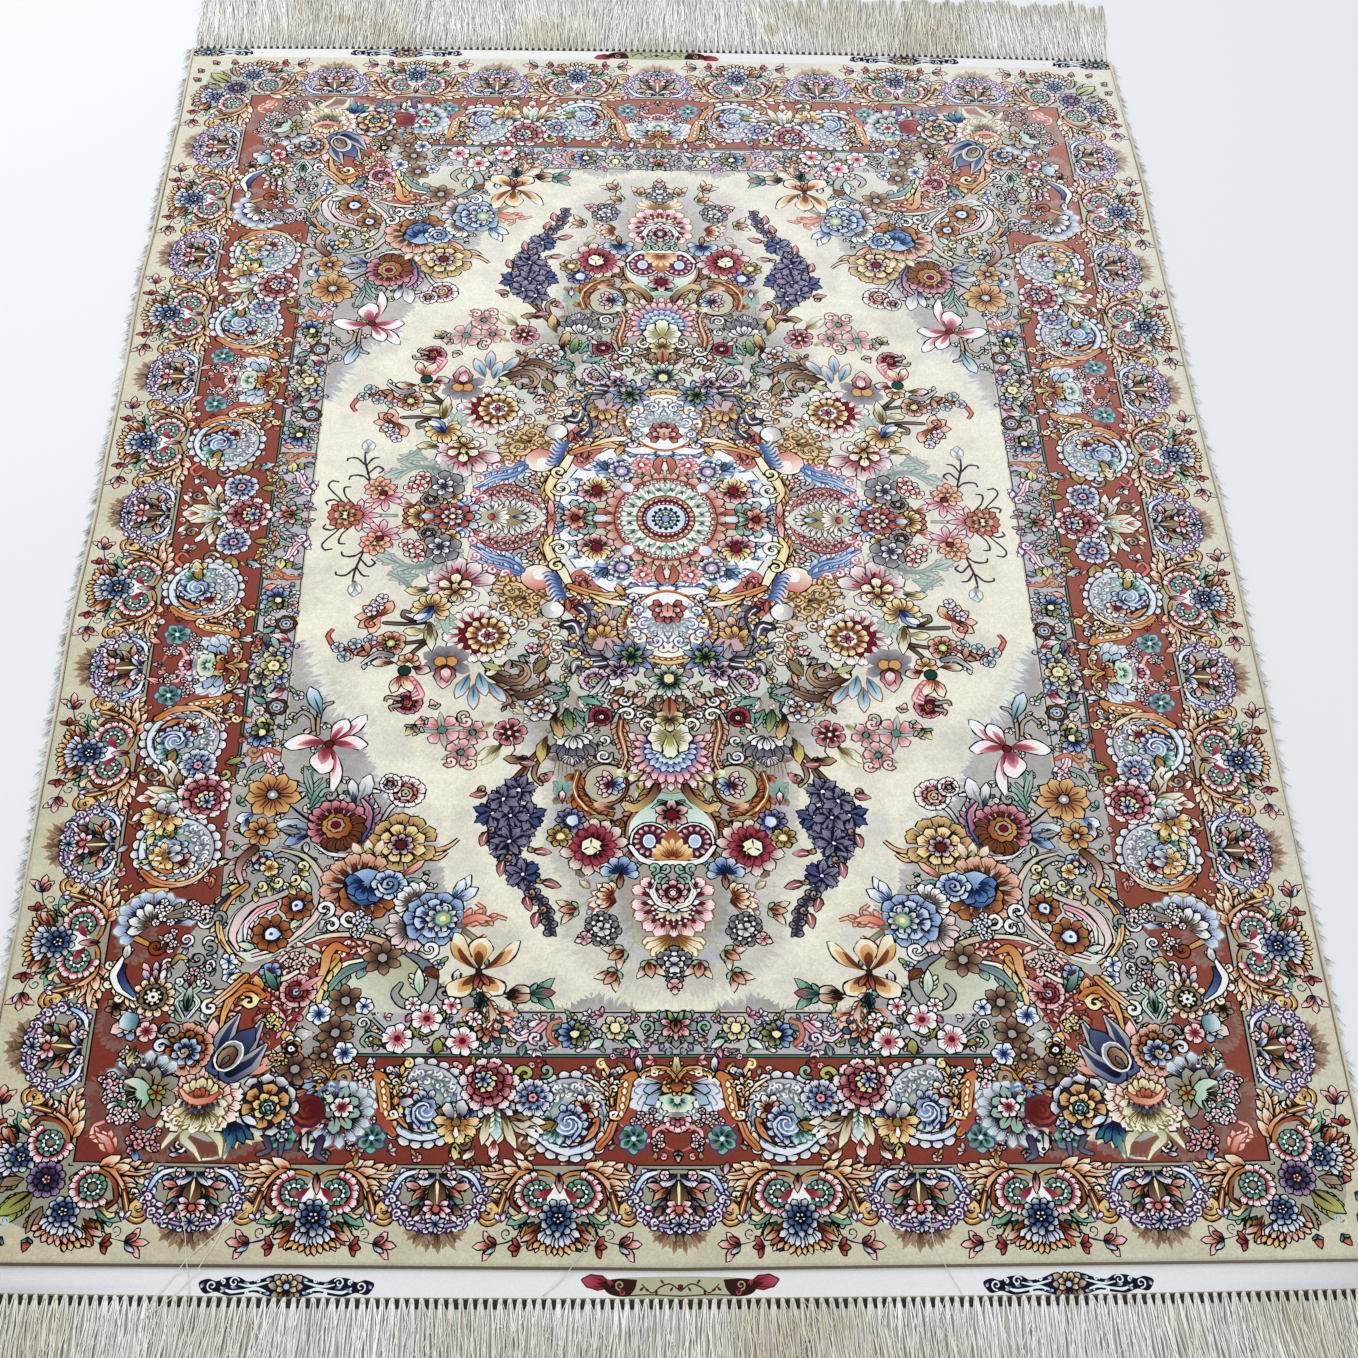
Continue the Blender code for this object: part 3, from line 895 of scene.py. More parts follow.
# %% Lilac wreath
def guard_roundel():
    disc(21, 0, 21, "stone", ry=31, edge=None)
    for s in (-1, 1):
        for i, (a, l) in enumerate(((8, 19), (26, 19), (46, 17), (66, 13), (86, 9))):
            leaf(41, s * (1.5 + 3 * i), s * a, l, 8.5, "taupe" if i % 2 else "umber", "tan", teeth=3,
                 edge=None, rib="umber")
        ring = [(3, s * 17), (5, s * 24), (11, s * 29), (20, s * 31.5), (30, s * 28), (37, s * 20),
                (40.5, s * 10), (41, s * 1)]
        stem([(7, s * 18), (9, s * 23), (14, s * 27), (21, s * 28), (29, s * 25), (35, s * 18),
              (38, s * 9)], 1.0, "purple")
        garland(ring, 5.4, "lilac", "ice", "purple", 3.6, lean=66)
        ribbon(ring, (1.2, 2.0, 1.8, 2.0, 1.8), "blush", "lilac", "purple", steps=4)
        ribbon([(2, s * 15), (3, s * 21), (8, s * 27), (15, s * 30.5)], (1.4, 3.4, 2.4), "white", "sky",
               "navy")
        for x0, y0, a in ((22, 31, 100), (32, 27, 60), (38, 17, 30)):
            curl(x0, s * y0, 3.2, turn=s * a, way=s, turns=1.1, width=1.4, tone="lilac", tip="white",
                 edge="purple")
        petal(3, s * 3, s * 72, 17, 6.4, "navy", "sky", bend=-s * 0.5)
        petal(4, s * 2, s * 40, 17, 5, "lilac", "white", bend=s * 0.3)
        curl(10, s * 19, 3.6, turn=s * 250, way=-s, turns=1.1, width=1.4, tone="navy", tip="sky")
        petal(14, s * 6, s * 66, 15, 7, "rust", "peach", bend=-s * 0.35)
        petal(18, s * 5, s * 44, 16, 5.6, "green", "mint", bend=s * 0.3)
        leaf(13, s * 12, s * 96, 11, 8, "terra", "blush", teeth=2)
        petal(22, s * 5, s * 70, 13, 4.6, "purple", "lilac", bend=-s * 0.4)
        leaf(26, s * 12, s * 30, 9, 7, "umber", "tan", teeth=2)
        bloom(4, s * 10, 3.4, "pink", "white", "crimson")
        for x0, y0, a in ((30, 6, 20), (33, 9, 60), (28, 18, 100)):
            petal(x0, s * y0, s * a, 7, 3.2, "pink", "white", "purple")
    leaf(8, 0, 0, 26, 21, "umber", "tan", teeth=4, rib="straw")
    whorl(28, 0, 7, 1, 10, 4.4, "rose", "white", turn=0, span=240)
    for s in (-1, 1):
        petal(3, s * 1, s * 20, 12, 4, "deep", "white", bend=s * 0.4)
    disc(29, 0, 2.6, "coral", edge="ink")
    whorl(39.5, 0, 9, 0.6, 6.6, 2.6, "deep", "white")
    disc(39.5, 0, 1.4, "night")

# %% [markdown]
# ## Outer guard: the corner
#
# At the corner two half motifs meet in a violet flower, with leaves and small buds in the gap.

# %% Corner of the guard
def corner():
    unit(guard_half, 432, 609.5, s=-1)
    unit(guard_half, 428.5, 612, 90, s=1)
    stem([(455, 630), (465, 640), (476, 650)], 1.2, "olive")
    leaf(454, 632, 42, 26, 20, "olive", "lime", teeth=4)
    leaf(462, 622, 15, 20, 12, "taupe", "tan", teeth=3)
    leaf(446, 642, 72, 20, 12, "taupe", "tan", teeth=3)
    for x, y, a in ((466, 606, 10), (431, 645, 75)):
        whorl(x, y, 7, 3, 18, 5.2, "deep", "white", turn=a, span=80, belly=0.72)
        for i in range(-3, 4):
            petal(x + 17 * cos(radians(a + 13 * i)), y + 17 * sin(radians(a + 13 * i)), a + 18 * i, 7,
                  3.4, "orange", "blush", plain=True)
        whorl(x, y, 10, 4, 11.5, 5, "night", "ice", belly=0.7)
        whorl(x, y, 7, 2, 7.5, 4, "navy", "blue", turn=20)
        disc(x, y, 3.2, "night", edge="ink")
        dots(x, y, 2, 2, 5, 0.7, "white")
    for x, y, a in ((476, 622, 10), (486, 634, 40), (470, 664, 60), (452, 664, 85), (484, 650, 45)):
        bud(x, y, 9, a, "rose", "coral", "navy")
    curl(470, 652, 4, 20, 1, 1.2, 1.2, "navy", "sky", edge=None)
    green_rosette(447, 595, 60)
    green_rosette(413, 627, 20)
    whorl(446, 622, 11, 5, 13.5, 6, "purple", "lilac", belly=0.72, cleft=0.12)
    whorl(446, 622, 8, 2, 8.5, 5, "night", "violet", turn=15)
    disc(446, 622, 3.4, "wine", edge="ink")
    dots(446, 622, 2, 2, 5, 0.8, "blush")

# %% [markdown]
# ## Outer guard: places
#
# Six full rosette motifs and the wreaths between them are put down in the order in which they
# overlap. The corner motif goes between the two runs, so the wreaths lie over its tips.

# %% Places along the guard
for y in (87, 260.5, 434.5):
    unit(guard_unit, 432, y)
for x in (85.5, 257):
    unit(guard_unit, x, 612, 90)
corner()
for y in (0, 173.5, 347.5, 521):
    unit(guard_roundel, 432, y)
for x in (0, 171.5, 342.5):
    unit(guard_roundel, x, 612, 90)
tally("places along the guard")

# %% [markdown]
# ## Main border: the gold frame
#
# The brick-red main border alternates framed palmettes and blue roundels. The frame is a pair of
# golden scrolls round a pale palmette.

# %% Gold frame of a border medallion
def border_frame():
    """Palmette in a gold heart-shaped frame; x runs outwards from the border's inner line."""
    for s in (-1, 1):
        petal(20, s * 4, s * 50, 56, 46, "brick", "terra", edge=None, belly=0.6, plain=True)
    for s in (-1, 1):
        for i, (a, l) in enumerate(((92, 27), (76, 30), (60, 31), (44, 31), (28, 29), (12, 27))):
            petal(24, s * 3, s * a, l + 3.5, 10.5, "dove", "ice", edge=None, belly=0.75, plain=True)
            petal(24, s * 3, s * a, l, 8.6, "steel", "ice", edge="slate", belly=0.75)
        for a, l in ((80, 20), (52, 23), (26, 24)):
            petal(25, s * 3, s * a, l, 9, "slate", "sky", belly=0.66, bend=s * 0.08)
            petal(27, s * 3, s * a, l * 0.6, 4, "sea", "mint", edge="ink", bend=s * 0.08)
    whorl(36, 0, 9, 6, 17, 6.4, "mist", "white", turn=0, span=150, edge="slate")
    disc(36, 0, 12, "mint", ry=13, tip="ivory", edge="ink", lobes=9)
    whorl(36, 0, 7, 2, 10.5, 4.4, "sea", "ivory", edge=None, turn=0, span=200)
    whorl(45, 0, 7, 1, 13, 5.4, "mist", "white", turn=0, span=130, edge="slate")
    whorl(49, 0, 7, 1, 11.5, 5, "rose", "white", turn=0, span=150, belly=0.75, cleft=0.12)
    whorl(50, 0, 3, 1, 6, 3.4, "crimson", "pink", turn=0, span=90)
    for s in (-1, 1):
        petal(18, s * 1.5, s * 34, 15, 9, "rust", "gold", belly=0.6)
        for i in range(4):
            disc(22 + 3 * i, s * (8.6 - 2.2 * i), 1.1, "gold", edge="umber")
    disc(25, 0, 4.4, "wine", edge="ink", tip="orange")
    for s in (-1, 1):
        ribbon([(60, s * 2), (56, s * 9), (60, s * 17), (69, s * 15), (72, s * 7)],
               (1.0, 2.4, 2.6, 1.2), "pink", "blush", edge=None)
        ribbon([(74, s * 3), (70, s * 12), (66, s * 20), (72, s * 27)], (1.0, 2.0, 1.2), "coral",
               "blush", edge=None)
        spray(50, s * 21, 3.4, s * 80, "rose", "white", "wine", None, 6)
        spray(64, s * 13, 2.8, s * 20, "pink", "white", "crimson", None, 4)
        for i in range(7):
            petal(65, s * 32, i * 51.4, 11, 8.5, "sea", "slate" if i % 2 else "mint", edge="deep",
                  plain=True)
        for i in range(6):
            petal(65 + 2.4 * cos(i), s * 32 + 2.4 * sin(i), i * 60 + 15, 6.6, 4.4, "green", "sea",
                  edge=None)
        disc(65, s * 32, 1.8, "ice")
        ribbon([(21, 0), (14, s * 4), (11, s * 11), (12, s * 20), (16, s * 27)], (2.4, 3.4, 3.2, 2.4),
               "amber", "straw", rib="rust")
        garland([(14, s * 6), (11, s * 13), (12, s * 21), (15, s * 27)], 7, "amber", "ivory", gap=4,
                sides=(-s,), lean=60)
        for x0, y0, a, l in ((14, 26, 165, 11), (16, 29, 195, 13), (20, 31, 150, 9), (18, 27, 110, 8)):
            petal(x0, s * y0, s * a, l, 5, "steel", "white", bend=-s * 0.2)
        ribbon([(16, s * 32), (21, s * 37), (30, s * 38.5), (40, s * 40), (48, s * 43), (50, s * 47)],
               (6, 9.5, 8.5, 7.5, 5, 3), "orange", "gold", steps=4)
        for i in range(5):
            petal(21 + 5.6 * i, s * (37 + 0.9 * i), s * 9, 5.4, 3.2, "straw", "ivory", edge="rust",
                  belly=0.5)
        garland([(18, s * 36), (28, s * 43), (40, s * 46)], 6, "amber", "ivory", gap=5, sides=(s,),
                lean=40)
        curl(47, s * 46, 3.6, turn=-s * 20, way=s, turns=1.2, width=1.8, tone="gold", tip="white")
        ribbon([(39, s * 47.5), (30, s * 48.5), (20, s * 50), (12, s * 51), (6, s * 56)],
               (2.4, 3.6, 3.6, 2.2), "orange", "gold", rib="straw")
        garland([(36, s * 48), (24, s * 50), (14, s * 51)], 6.4, "amber", "ivory", gap=5, sides=(-1, 1),
                lean=50)
        curl(7.5, s * 55, 4.2, turn=s * 200, way=-s, turns=1.2, width=2.0, tone="gold", tip="straw")
        petal(18, s * 50, -180 + s * 40, 12, 6, "steel", "white", bend=s * 0.25)
        curl(13, s * 42, 3.0, turn=s * 100, way=s, turns=1.2, width=1.1, tone="steel", tip="white")
    leaf(16, 0, 180, 14, 9, "olive", "straw", teeth=2)
    bud(74, 0, 8, 0, "wine", "blush", "green")

# %% [markdown]
# ## Main border: the blue roundel
#
# A roundel is a beaded ring with a pale blue scroll inside that winds up into a snail. The beads
# are dots on a circle, the scroll a ribbon on a spiral.

# %% Blue roundel
def roundel():
    """Round scroll medallion of the border, with a feathered volute inside."""
    whorl(0, 0, 22, 25, 35, 8, "steel", "white", edge="ink", belly=0.72, plain=True)
    disc(0, 0, 29, "dove", tip="ice", edge="navy", turn=60)
    for a in range(0, 360, 18):
        petal(25 * cos(radians(a)), 25 * sin(radians(a)), a + 125, 13, 6.4,
              "delft" if a % 36 else "sea", "white", edge="deep", bend=0.35, belly=0.66, plain=True)
    disc(0.4, -0.6, 20.4, "dove", tip="mint", turn=60)
    arc = [(32 * cos(radians(a)), 31 * sin(radians(a))) for a in range(130, 251, 20)]
    acanthus(arc, 8.5, "orange", "ivory", side=1, lobes=7, rib="rust", edge="umber")
    for x, y, a, l, w, t, u in (
            (-16, -2, 70, 24, 9, "steel", "ice"), (12, -12, 150, 22, 9, "sky", "slate"),
            (16, 10, -120, 20, 9, "slate", "mist"), (-4, 17, -30, 20, 8, "mint", "mist"),
            (4, -14, 30, 16, 8, "sea", "mist")):
        petal(x, y, a, l, w, t, u, edge=None, plain=True)
    garland([(-17, -8), (-9, -17), (2, -20), (12, -16), (18, -8)], 6.4, "ash", "white", "steel", 4,
            (-1, 1))
    acanthus([(-19, 3), (-17, 11), (-9, 18), (2, 21), (12, 19)], 9, "orange", "ivory", side=-1, lobes=6,
             rib="rust")
    for i in range(3):
        petal(-18 + 3 * i, 5 + 3.4 * i, 20 + 14 * i, 10, 4, "wine", "umber", bend=0.3)
    whorl(-11, -6, 7, 2, 11, 6, "tan", "white", turn=200, span=280)
    whorl(-9, -3, 5, 1, 9, 4.6, "rust", "peach", turn=50, span=220)
    disc(-11, -6, 2.6, "crimson", edge="ink")
    whorl(2, 6, 11, 8, 15.5, 5.2, "steel", "ice", turn=150, span=270, edge="navy")
    disc(2, 6, 9.6, "delft", tip="sky", edge="navy", lobes=9)
    curl(2, 6, 8.8, turn=-40, way=1, turns=2.1, width=1.5, tone="navy", tip="ice", edge=None)
    curl(2, 6, 12.4, turn=110, way=1, turns=0.6, width=1.9, tone="sky", tip="ice", edge="navy")
    leaf(9, 6, 6, 24, 19, "olive", "straw", teeth=4, rib="rust")
    whorl(10, 7, 7, 5, 14, 4.6, "sea", "ice", turn=25, span=150, edge="sea")
    leaf(11, 5, 14, 15, 11, "olive", "amber", teeth=2, rib="rust")
    for a in (215, 250, 290, 325, 20):
        curl(25 * cos(radians(a)), 25 * sin(radians(a)), 3.2, a, 1, 1.1, 1.2, "deep", "white",
             edge=None)

# %% [markdown]
# ## Main border: lily and tulip
#
# Small flowers stand between the large motifs. They are fans of long petals over a cup.

# %% Lily
def lily(x, y, size, turn, flip=1):
    def draw():
        for a in (75, -80, 150, -140):
            petal(0, 0, a, 19, 10, "night", "white", bend=0.25 if a > 0 else -0.25, belly=0.7)
            petal(2, 0, a, 10, 6, "umber", "purple", bend=0.2, edge=None)
        whorl(0, 0, 6, 2, 18, 8.5, "amber", "straw", turn=0, span=190, belly=0.7, cleft=0.15)
        whorl(0, 0, 5, 1, 9, 5, "rust", "amber", turn=0, span=170, edge=None)
        petal(1, 0, 0, 12, 3.4, "ivory", "white")
        disc(0, 0, 3.2, "olive", edge="ink")
        leaf(17, 0, 0, 14, 9, "lime", "straw", teeth=3)
        curl(14, 10, 3, 60, 1, 1.2, 1.2, "olive", "lime")
    unit(draw, x, y, turn, flip, size)


def taupe_tulip():
    """Large curled tulip in tan, cream and taupe that opens outwards; x runs outwards."""
    for s in (-1, 1):
        for a, l, w in ((70, 26, 9), (52, 31, 11), (36, 35, 13)):
            petal(4, s * 3, s * a, l, w, "taupe", "ivory", bend=s * 0.42, belly=0.6)
        petal(6, s * 5, s * 56, 20, 7, "brown", "tan", bend=s * 0.35)
        curl(31, s * 22, 5, turn=s * 200, way=s, turns=1.2, width=2.0, tone="ivory", tip="taupe")
        curl(22, s * 27, 4, turn=s * 120, way=s, turns=1.2, width=1.6, tone="white", tip="taupe")
        petal(20, s * 20, s * 75, 14, 6, "ivory", "white", bend=-s * 0.3)
        petal(33, s * 14, s * 20, 12, 5.4, "tan", "white", bend=s * 0.35)
    petal(0, 0, 0, 37, 21, "tan", "ivory", belly=0.6)
    for s in (-1, 1):
        petal(2, s * 4, s * 9, 32, 7, "olive", "ivory", bend=s * 0.08, edge="brown")
    petal(3, 0, 0, 24, 9, "sea", "ice", edge="olive")
    for i in range(4):
        petal(6 + 4 * i, 0, 40, 6, 2.2, "sea", "white", edge=None)
        petal(6 + 4 * i, 0, -40, 6, 2.2, "straw", "white", edge=None)
    petal(28, 0, 0, 14, 7, "coral", "white", belly=0.6)
    for s in (-1, 1):
        petal(0, 0, s * 70, 16, 7, "deep", "white", bend=-s * 0.3)
        petal(2, s * 5, s * 95, 12, 5, "steel", "white", bend=-s * 0.3)

# %% [markdown]
# ## Main border: daisy and peony
#
# Two flowers that come back at each roundel.

# %% Blue daisy and peony
def blue_daisy(x, y, r):
    whorl(x, y, 10, r * 0.3, r * 1.05, r * 0.56, "deep", "white", belly=0.76, cleft=0.16)
    whorl(x, y, 8, r * 0.15, r * 0.62, r * 0.3, "navy", "sky", turn=12, edge=None)
    disc(x, y, r * 0.24, "pink", edge="ink", lobes=5)
    disc(x, y, r * 0.1, "crimson")


def border_peony(x, y, turn):
    """Full crimson bloom with white-tipped petals, seen a little from the side."""
    def draw():
        whorl(0, 0, 11, 9, 22.5, 8.6, "rose", "white", belly=0.76, cleft=0.12)
        whorl(0, 0, 10, 6, 17, 7.4, "crimson", "pink", turn=18, belly=0.74, cleft=0.12)
        whorl(2, 0, 9, 4, 12, 6, "wine", "rose", turn=5, belly=0.72)
        disc(3, 0, 7.4, "olive", tip="straw", edge="ink", lobes=7, turn=20)
        whorl(4, 0, 6, 2, 8.5, 4.4, "khaki", "straw", turn=180, span=200)
        whorl(6, 0, 7, 1, 6.4, 3, "deep", "white", turn=0)
        disc(6, 0, 1.7, "night")
    unit(draw, x, y, turn)

# %% [markdown]
# ## Main border: tendrils first
#
# Fine tendrils cover the brick ground before any large flower goes over them.

# %% Tendrils on the brick ground
for spots, seed in ((scatter([(340, 2), (428, 2), (428, 390), (350, 390)], 12.5, 5), 6),
                    (scatter([(2, 528), (232, 528), (232, 608), (2, 608)], 12.5, 8), 9)):
    filigree(spots, 4.6, (("coral", "blush"), ("rust", "peach"), ("wine", "coral"), ("slate", "ice"),
                          ("olive", "straw")), seed, "wine", "olive")
tally("tendrils on the brick ground")

# %% [markdown]
# ## Main border: along the end
#
# The end border is shorter than the side, so it has one frame in its middle and two roundels on
# each side of it.

# %% Motifs along the end
unit(roundel, 78, 572, 0)
unit(roundel, 184, 562, 180, -1)
unit(taupe_tulip, 132, 562, 90)
petal(148, 560, 95, 24, 9, "deep", "white", bend=-0.2)
curl(111, 540, 8, turn=100, way=-1, turns=1.1, width=3.6, tone="olive", tip="lime")
curl(96, 537, 5.5, turn=60, way=1, turns=1.0, width=2.4, tone="sea", tip="mint")
blue_daisy(105, 558, 14)
border_peony(137, 548, -40)
lily(160, 577, 0.92, 90)
lily(206, 560, 0.75, 20, -1)
unit(border_frame, 0, 524, 90)
unit(border_frame, 252, 524, 90)
tally("motifs along the end")

# %% [markdown]
# ## Main border: along the side
#
# The long side starts in its middle with a cluster of its own and then repeats roundel, peony and
# frame towards the corner.

# %% Motifs along the side
unit(taupe_tulip, 382, 0, 0)
border_peony(368, 0, 180)
blue_daisy(376, 33, 15)
leaf(358, 32, 180, 13, 9, "olive", "lime", teeth=2)
ribbon([(404, 56), (414, 62), (423, 54), (418, 46), (412, 52)], (2, 3, 2.4, 1.4), "rust", "coral",
       "wine")
bud(414, 46, 11, -70, "pink", "white", "wine")
leaf(376, 50, 90, 22, 24, "olive", "gold", teeth=3, rib="rust")
leaf(362, 55, 150, 15, 9, "sea", "ice", teeth=2)
curl(393, 52, 6.5, turn=200, way=1, turns=1.2, width=2.8, tone="white", tip="taupe")
unit(roundel, 395, 88, -90)
unit(border_frame, 346, 170, 0)
unit(roundel, 394, 247, 90, -1)
unit(taupe_tulip, 382, 304, 0)
leaf(357, 270, 200, 15, 9, "olive", "lime", teeth=2)
curl(357, 280, 6, turn=0, way=1, turns=1.0, width=2.4, tone="olive", tip="lime")
blue_daisy(379, 272, 15)
unit(roundel, 387, 352, -90)
border_peony(371, 302, 120)
lily(401, 322, 0.92, 70)
lily(395, 358, 0.7, 20, -1)
tally("motifs along the side")

# %% [markdown]
# ## Corner piece: tendrils
#
# Leaf scrolls fill the grey ground before the large motifs.

# %% Tendrils of the corner piece
foliage([(312, 190), (312, 440), (200, 440), (180, 480), (110, 486), (150, 440), (200, 360), (250, 300),
         (262, 250)], 13, 4.4, (("slate", "white"), ("ash", "ivory"), ("sand", "blush"),
                                ("steel", "ice")), 21, "ink", "sea")
foliage([(314, 286), (346, 286), (346, 500), (380, 470), (380, 540), (350, 580), (262, 580), (240, 530),
         (232, 500), (300, 500)], 12, 4.4, (("slate", "white"), ("tan", "ivory"), ("rust", "peach"),
                                            ("deep", "ice"), ("sea", "mint")), 25, "ink", "sea")
tally("tendrils of the corner piece")

# %% [markdown]
# ## Corner piece: two lobes
#
# A brick-red lobe and a khaki one lie behind the flowers, each with a cream rim, acanthus along
# its inner side and a filling of its own.

# %% Red and khaki lobes
area([(204, 441), (222, 433), (242, 428), (264, 430), (286, 438), (304, 448), (322, 464), (338, 486),
      (347, 508), (340, 524), (320, 528), (300, 524), (288, 514), (280, 498), (271, 480), (262, 464),
      (248, 452), (230, 446)], "terra", "brick", (220, 430), (340, 520), edge="ivory")
foliage([(240, 432), (290, 444), (330, 478), (340, 516), (304, 520), (284, 500), (262, 458),
         (236, 444)], 8.5, 4.2, (("rose", "blush"), ("coral", "ivory"), ("wine", "pink"),
                                 ("olive", "straw"), ("rust", "peach")), 31, "wine", "green")
for points in ([(222, 437), (244, 437), (266, 444), (284, 456), (296, 470)],
               [(296, 512), (290, 494), (300, 478), (318, 476)], [(330, 518), (334, 500), (326, 484)]):
    stem(points, 1.4, "wine")
    garland(points, 7, "tan", "blush", "wine", 5.4, (-1, 1), 55)
area([(188, 452), (206, 446), (230, 446), (252, 456), (264, 474), (258, 492), (226, 491), (190, 488)],
     "khaki", "fog", (200, 450), (240, 490))
ribbon([(203, 442), (188, 452), (183, 468), (190, 482), (203, 484), (210, 476), (206, 468)],
       (3, 8, 9, 7, 5, 3), "steel", "ash")
leaf(191, 476, -80, 22, 12, "mint", "ivory", teeth=3, rib="sea")
acanthus([(234, 450), (246, 456), (256, 466), (262, 480)], 12, "steel", "mint", side=1, lobes=4,
         rib="sea")
ribbon([(232, 447), (250, 452), (262, 466), (266, 484), (262, 500)], (2, 3, 3, 2), "ivory", "gold")
petal(178, 464, -60, 14, 9, "rust", "brown", bend=0.2)
curl(173, 474, 7, turn=180, way=-1, turns=0.9, width=3.4, tone="white", tip="ash")
acanthus([(206, 440), (224, 431), (246, 426), (268, 428), (286, 436)], 8, "tan", "ivory", side=-1,
         lobes=7, lobe=0.8, rib=None)
acanthus([(256, 446), (263, 456), (266, 468)], 12, "amber", "straw", side=1, lobes=3)
ribbon([(247, 440), (257, 436), (263, 444), (264, 456), (268, 468), (270, 482)], (3, 6, 7, 6, 4, 2),
       "orange", "straw")
for x, y, r in ((221, 446, 15), (246, 482, 14), (252, 508, 14), (279, 537, 14), (259, 526, 10),
                (304, 534, 10)):
    whorl(x, y, 7, r * 0.2, r, r * 0.55, "umber", "tan", edge="umber", turn=x * 7 % 50, belly=0.55)
    disc(x, y, r * 0.25, "ash", edge="ink", lobes=6)
for x, y, r in ((265, 493, 9), (244, 524, 9), (232, 486, 7), (333, 461, 7)):
    whorl(x, y, 6, 1, r, r * 0.8, "sky", "white", turn=x)
    disc(x, y, r * 0.25, "navy")
petal(268, 508, 10, 14, 10, "white", "slate")
petal(282, 520, -70, 15, 10, "amber", "gold", bend=0.2)
bloom(283, 518, 7, "sky", "white", "navy")
peony(282, 474, 14, "blush", "rose", "crimson", "crimson", "sky", turn=30, petals=8)
leaf(282, 474, -140, 20, 8, "rose", "blush", teeth=1)
acanthus([(270, 444), (280, 440), (290, 442), (298, 450)], 9, "sand", "blush", side=0, lobes=4,
         edge="brown", rib=None)
spray(280, 446, 4, 20, "pink", "ivory", "wine", "sand", 5)
ribbon([(284, 458), (294, 464), (304, 462), (310, 454)], (3, 4, 2), "ivory", "tan")
bloom(304, 458, 8, "blue", "sky", "crimson", 6)
leaf(298, 474, -60, 20, 10, "green", "mint", teeth=2)
leaf(306, 474, 40, 14, 8, "rose", "coral", teeth=2)
ribbon([(294, 512), (290, 500), (296, 490), (306, 484)], (2, 3, 2), "pink", "blush", edge="wine")
curl(306, 480, 8, turn=120, way=-1, turns=1.0, width=3, tone="rust", tip="coral", edge="wine")
acanthus([(309, 478), (320, 472), (330, 478), (335, 492), (336, 506)], 12, "orange", "gold", side=-1,
         lobes=5)
curl(318, 483, 7, turn=-60, way=-1, turns=1.1, width=3.4, tone="orange", tip="straw")
acanthus([(322, 462), (334, 476), (344, 486), (350, 492)], 9, "amber", "ivory", side=-1, lobes=4)
curl(346, 488, 6.4, turn=-90, way=1, turns=1.1, width=3.2, tone="straw", tip="white")
rosette(283, 521, 7, "amber", "ink", "white", "ink", 7)
tally("red and khaki lobes")

# %% [markdown]
# ## Corner piece: the paisley
#
# A large paisley curls round two brown daisies. Its rim is three ribbons on one curve, each
# narrower than the last.

# %% Paisley
area([(308, 348), (288, 353), (273, 367), (265, 388), (269, 410), (282, 428), (300, 442), (320, 450),
      (336, 443), (341, 426), (336, 408), (322, 396), (306, 391), (297, 384), (292, 374), (294, 364),
      (304, 358), (316, 362)], "ash", "fog", (280, 350), (330, 440), edge="ink")
ribbon([(318, 360), (304, 356), (291, 362), (288, 374), (294, 386), (306, 394), (322, 400), (332, 412),
        (336, 428), (330, 440)], (2, 3, 4, 4, 4, 4, 6, 7, 5, 2), "ash", "blush")
ribbon([(306, 351), (287, 357), (275, 371), (269, 390), (274, 410), (288, 427), (306, 440), (320, 445)],
       (1.4, 3.4, 4.6, 4.6, 4, 4, 3, 1.6), "sand", "blush")
acanthus([(306, 400), (318, 406), (326, 418), (326, 432)], 8, "pink", "white", side=1, lobes=6,
         rib="rose")
for x, y, a in ((280, 390, 70), (284, 412, 40), (318, 438, -10)):
    leaf(x, y, a - 120, 14, 10, "mint", "ivory", teeth=2, rib="sea")
    leaf(x, y, a, 14, 10, "mint", "ivory", teeth=2, rib="sea")
for x, y, r in ((289, 401, 13), (306, 426, 16)):
    whorl(x, y, 9, 3, r, r * 0.55, "umber", "orange", turn=20, belly=0.7)
    disc(x, y, r * 0.44, "rust", edge="ink", lobes=7)
    disc(x, y, r * 0.33, "sky", tip="white", edge="navy")
    disc(x + 1, y, 1.8, "deep")
bloom(319, 361, 9, "cobalt", "ice", "gold", 6)
bloom(313, 368, 7, "gold", "straw", "brown", 5)
for x, y, a in ((288, 366, 100), (293, 378, 60), (306, 380, 20), (318, 384, 40)):
    curl(x, y, 5, turn=a, way=1, turns=1.0, width=2.4, tone="lime", tip="straw")
    petal(x + 3, y + 4, a + 40, 10, 5, "olive", "straw", bend=0.2)
acanthus([(326, 350), (335, 360), (337, 372), (331, 386)], 10, "brown", "blush", side=0, lobes=4,
         rib=None)
acanthus([(330, 384), (342, 396), (347, 412), (345, 428), (336, 442), (324, 450)], 9, "amber", "straw",
         side=-1, lobes=7)
ribbon([(342, 392), (350, 404), (346, 414)], (2, 3, 2), "navy", "slate")
bloom(336, 450, 7, "sky", "white", "navy", 6)
tally("paisley")

# %% [markdown]
# ## Corner piece: the pink orchid
#
# The orchid's petals are wide and smooth, each in three layers: a pale rim, a pink middle and a
# crimson streak.

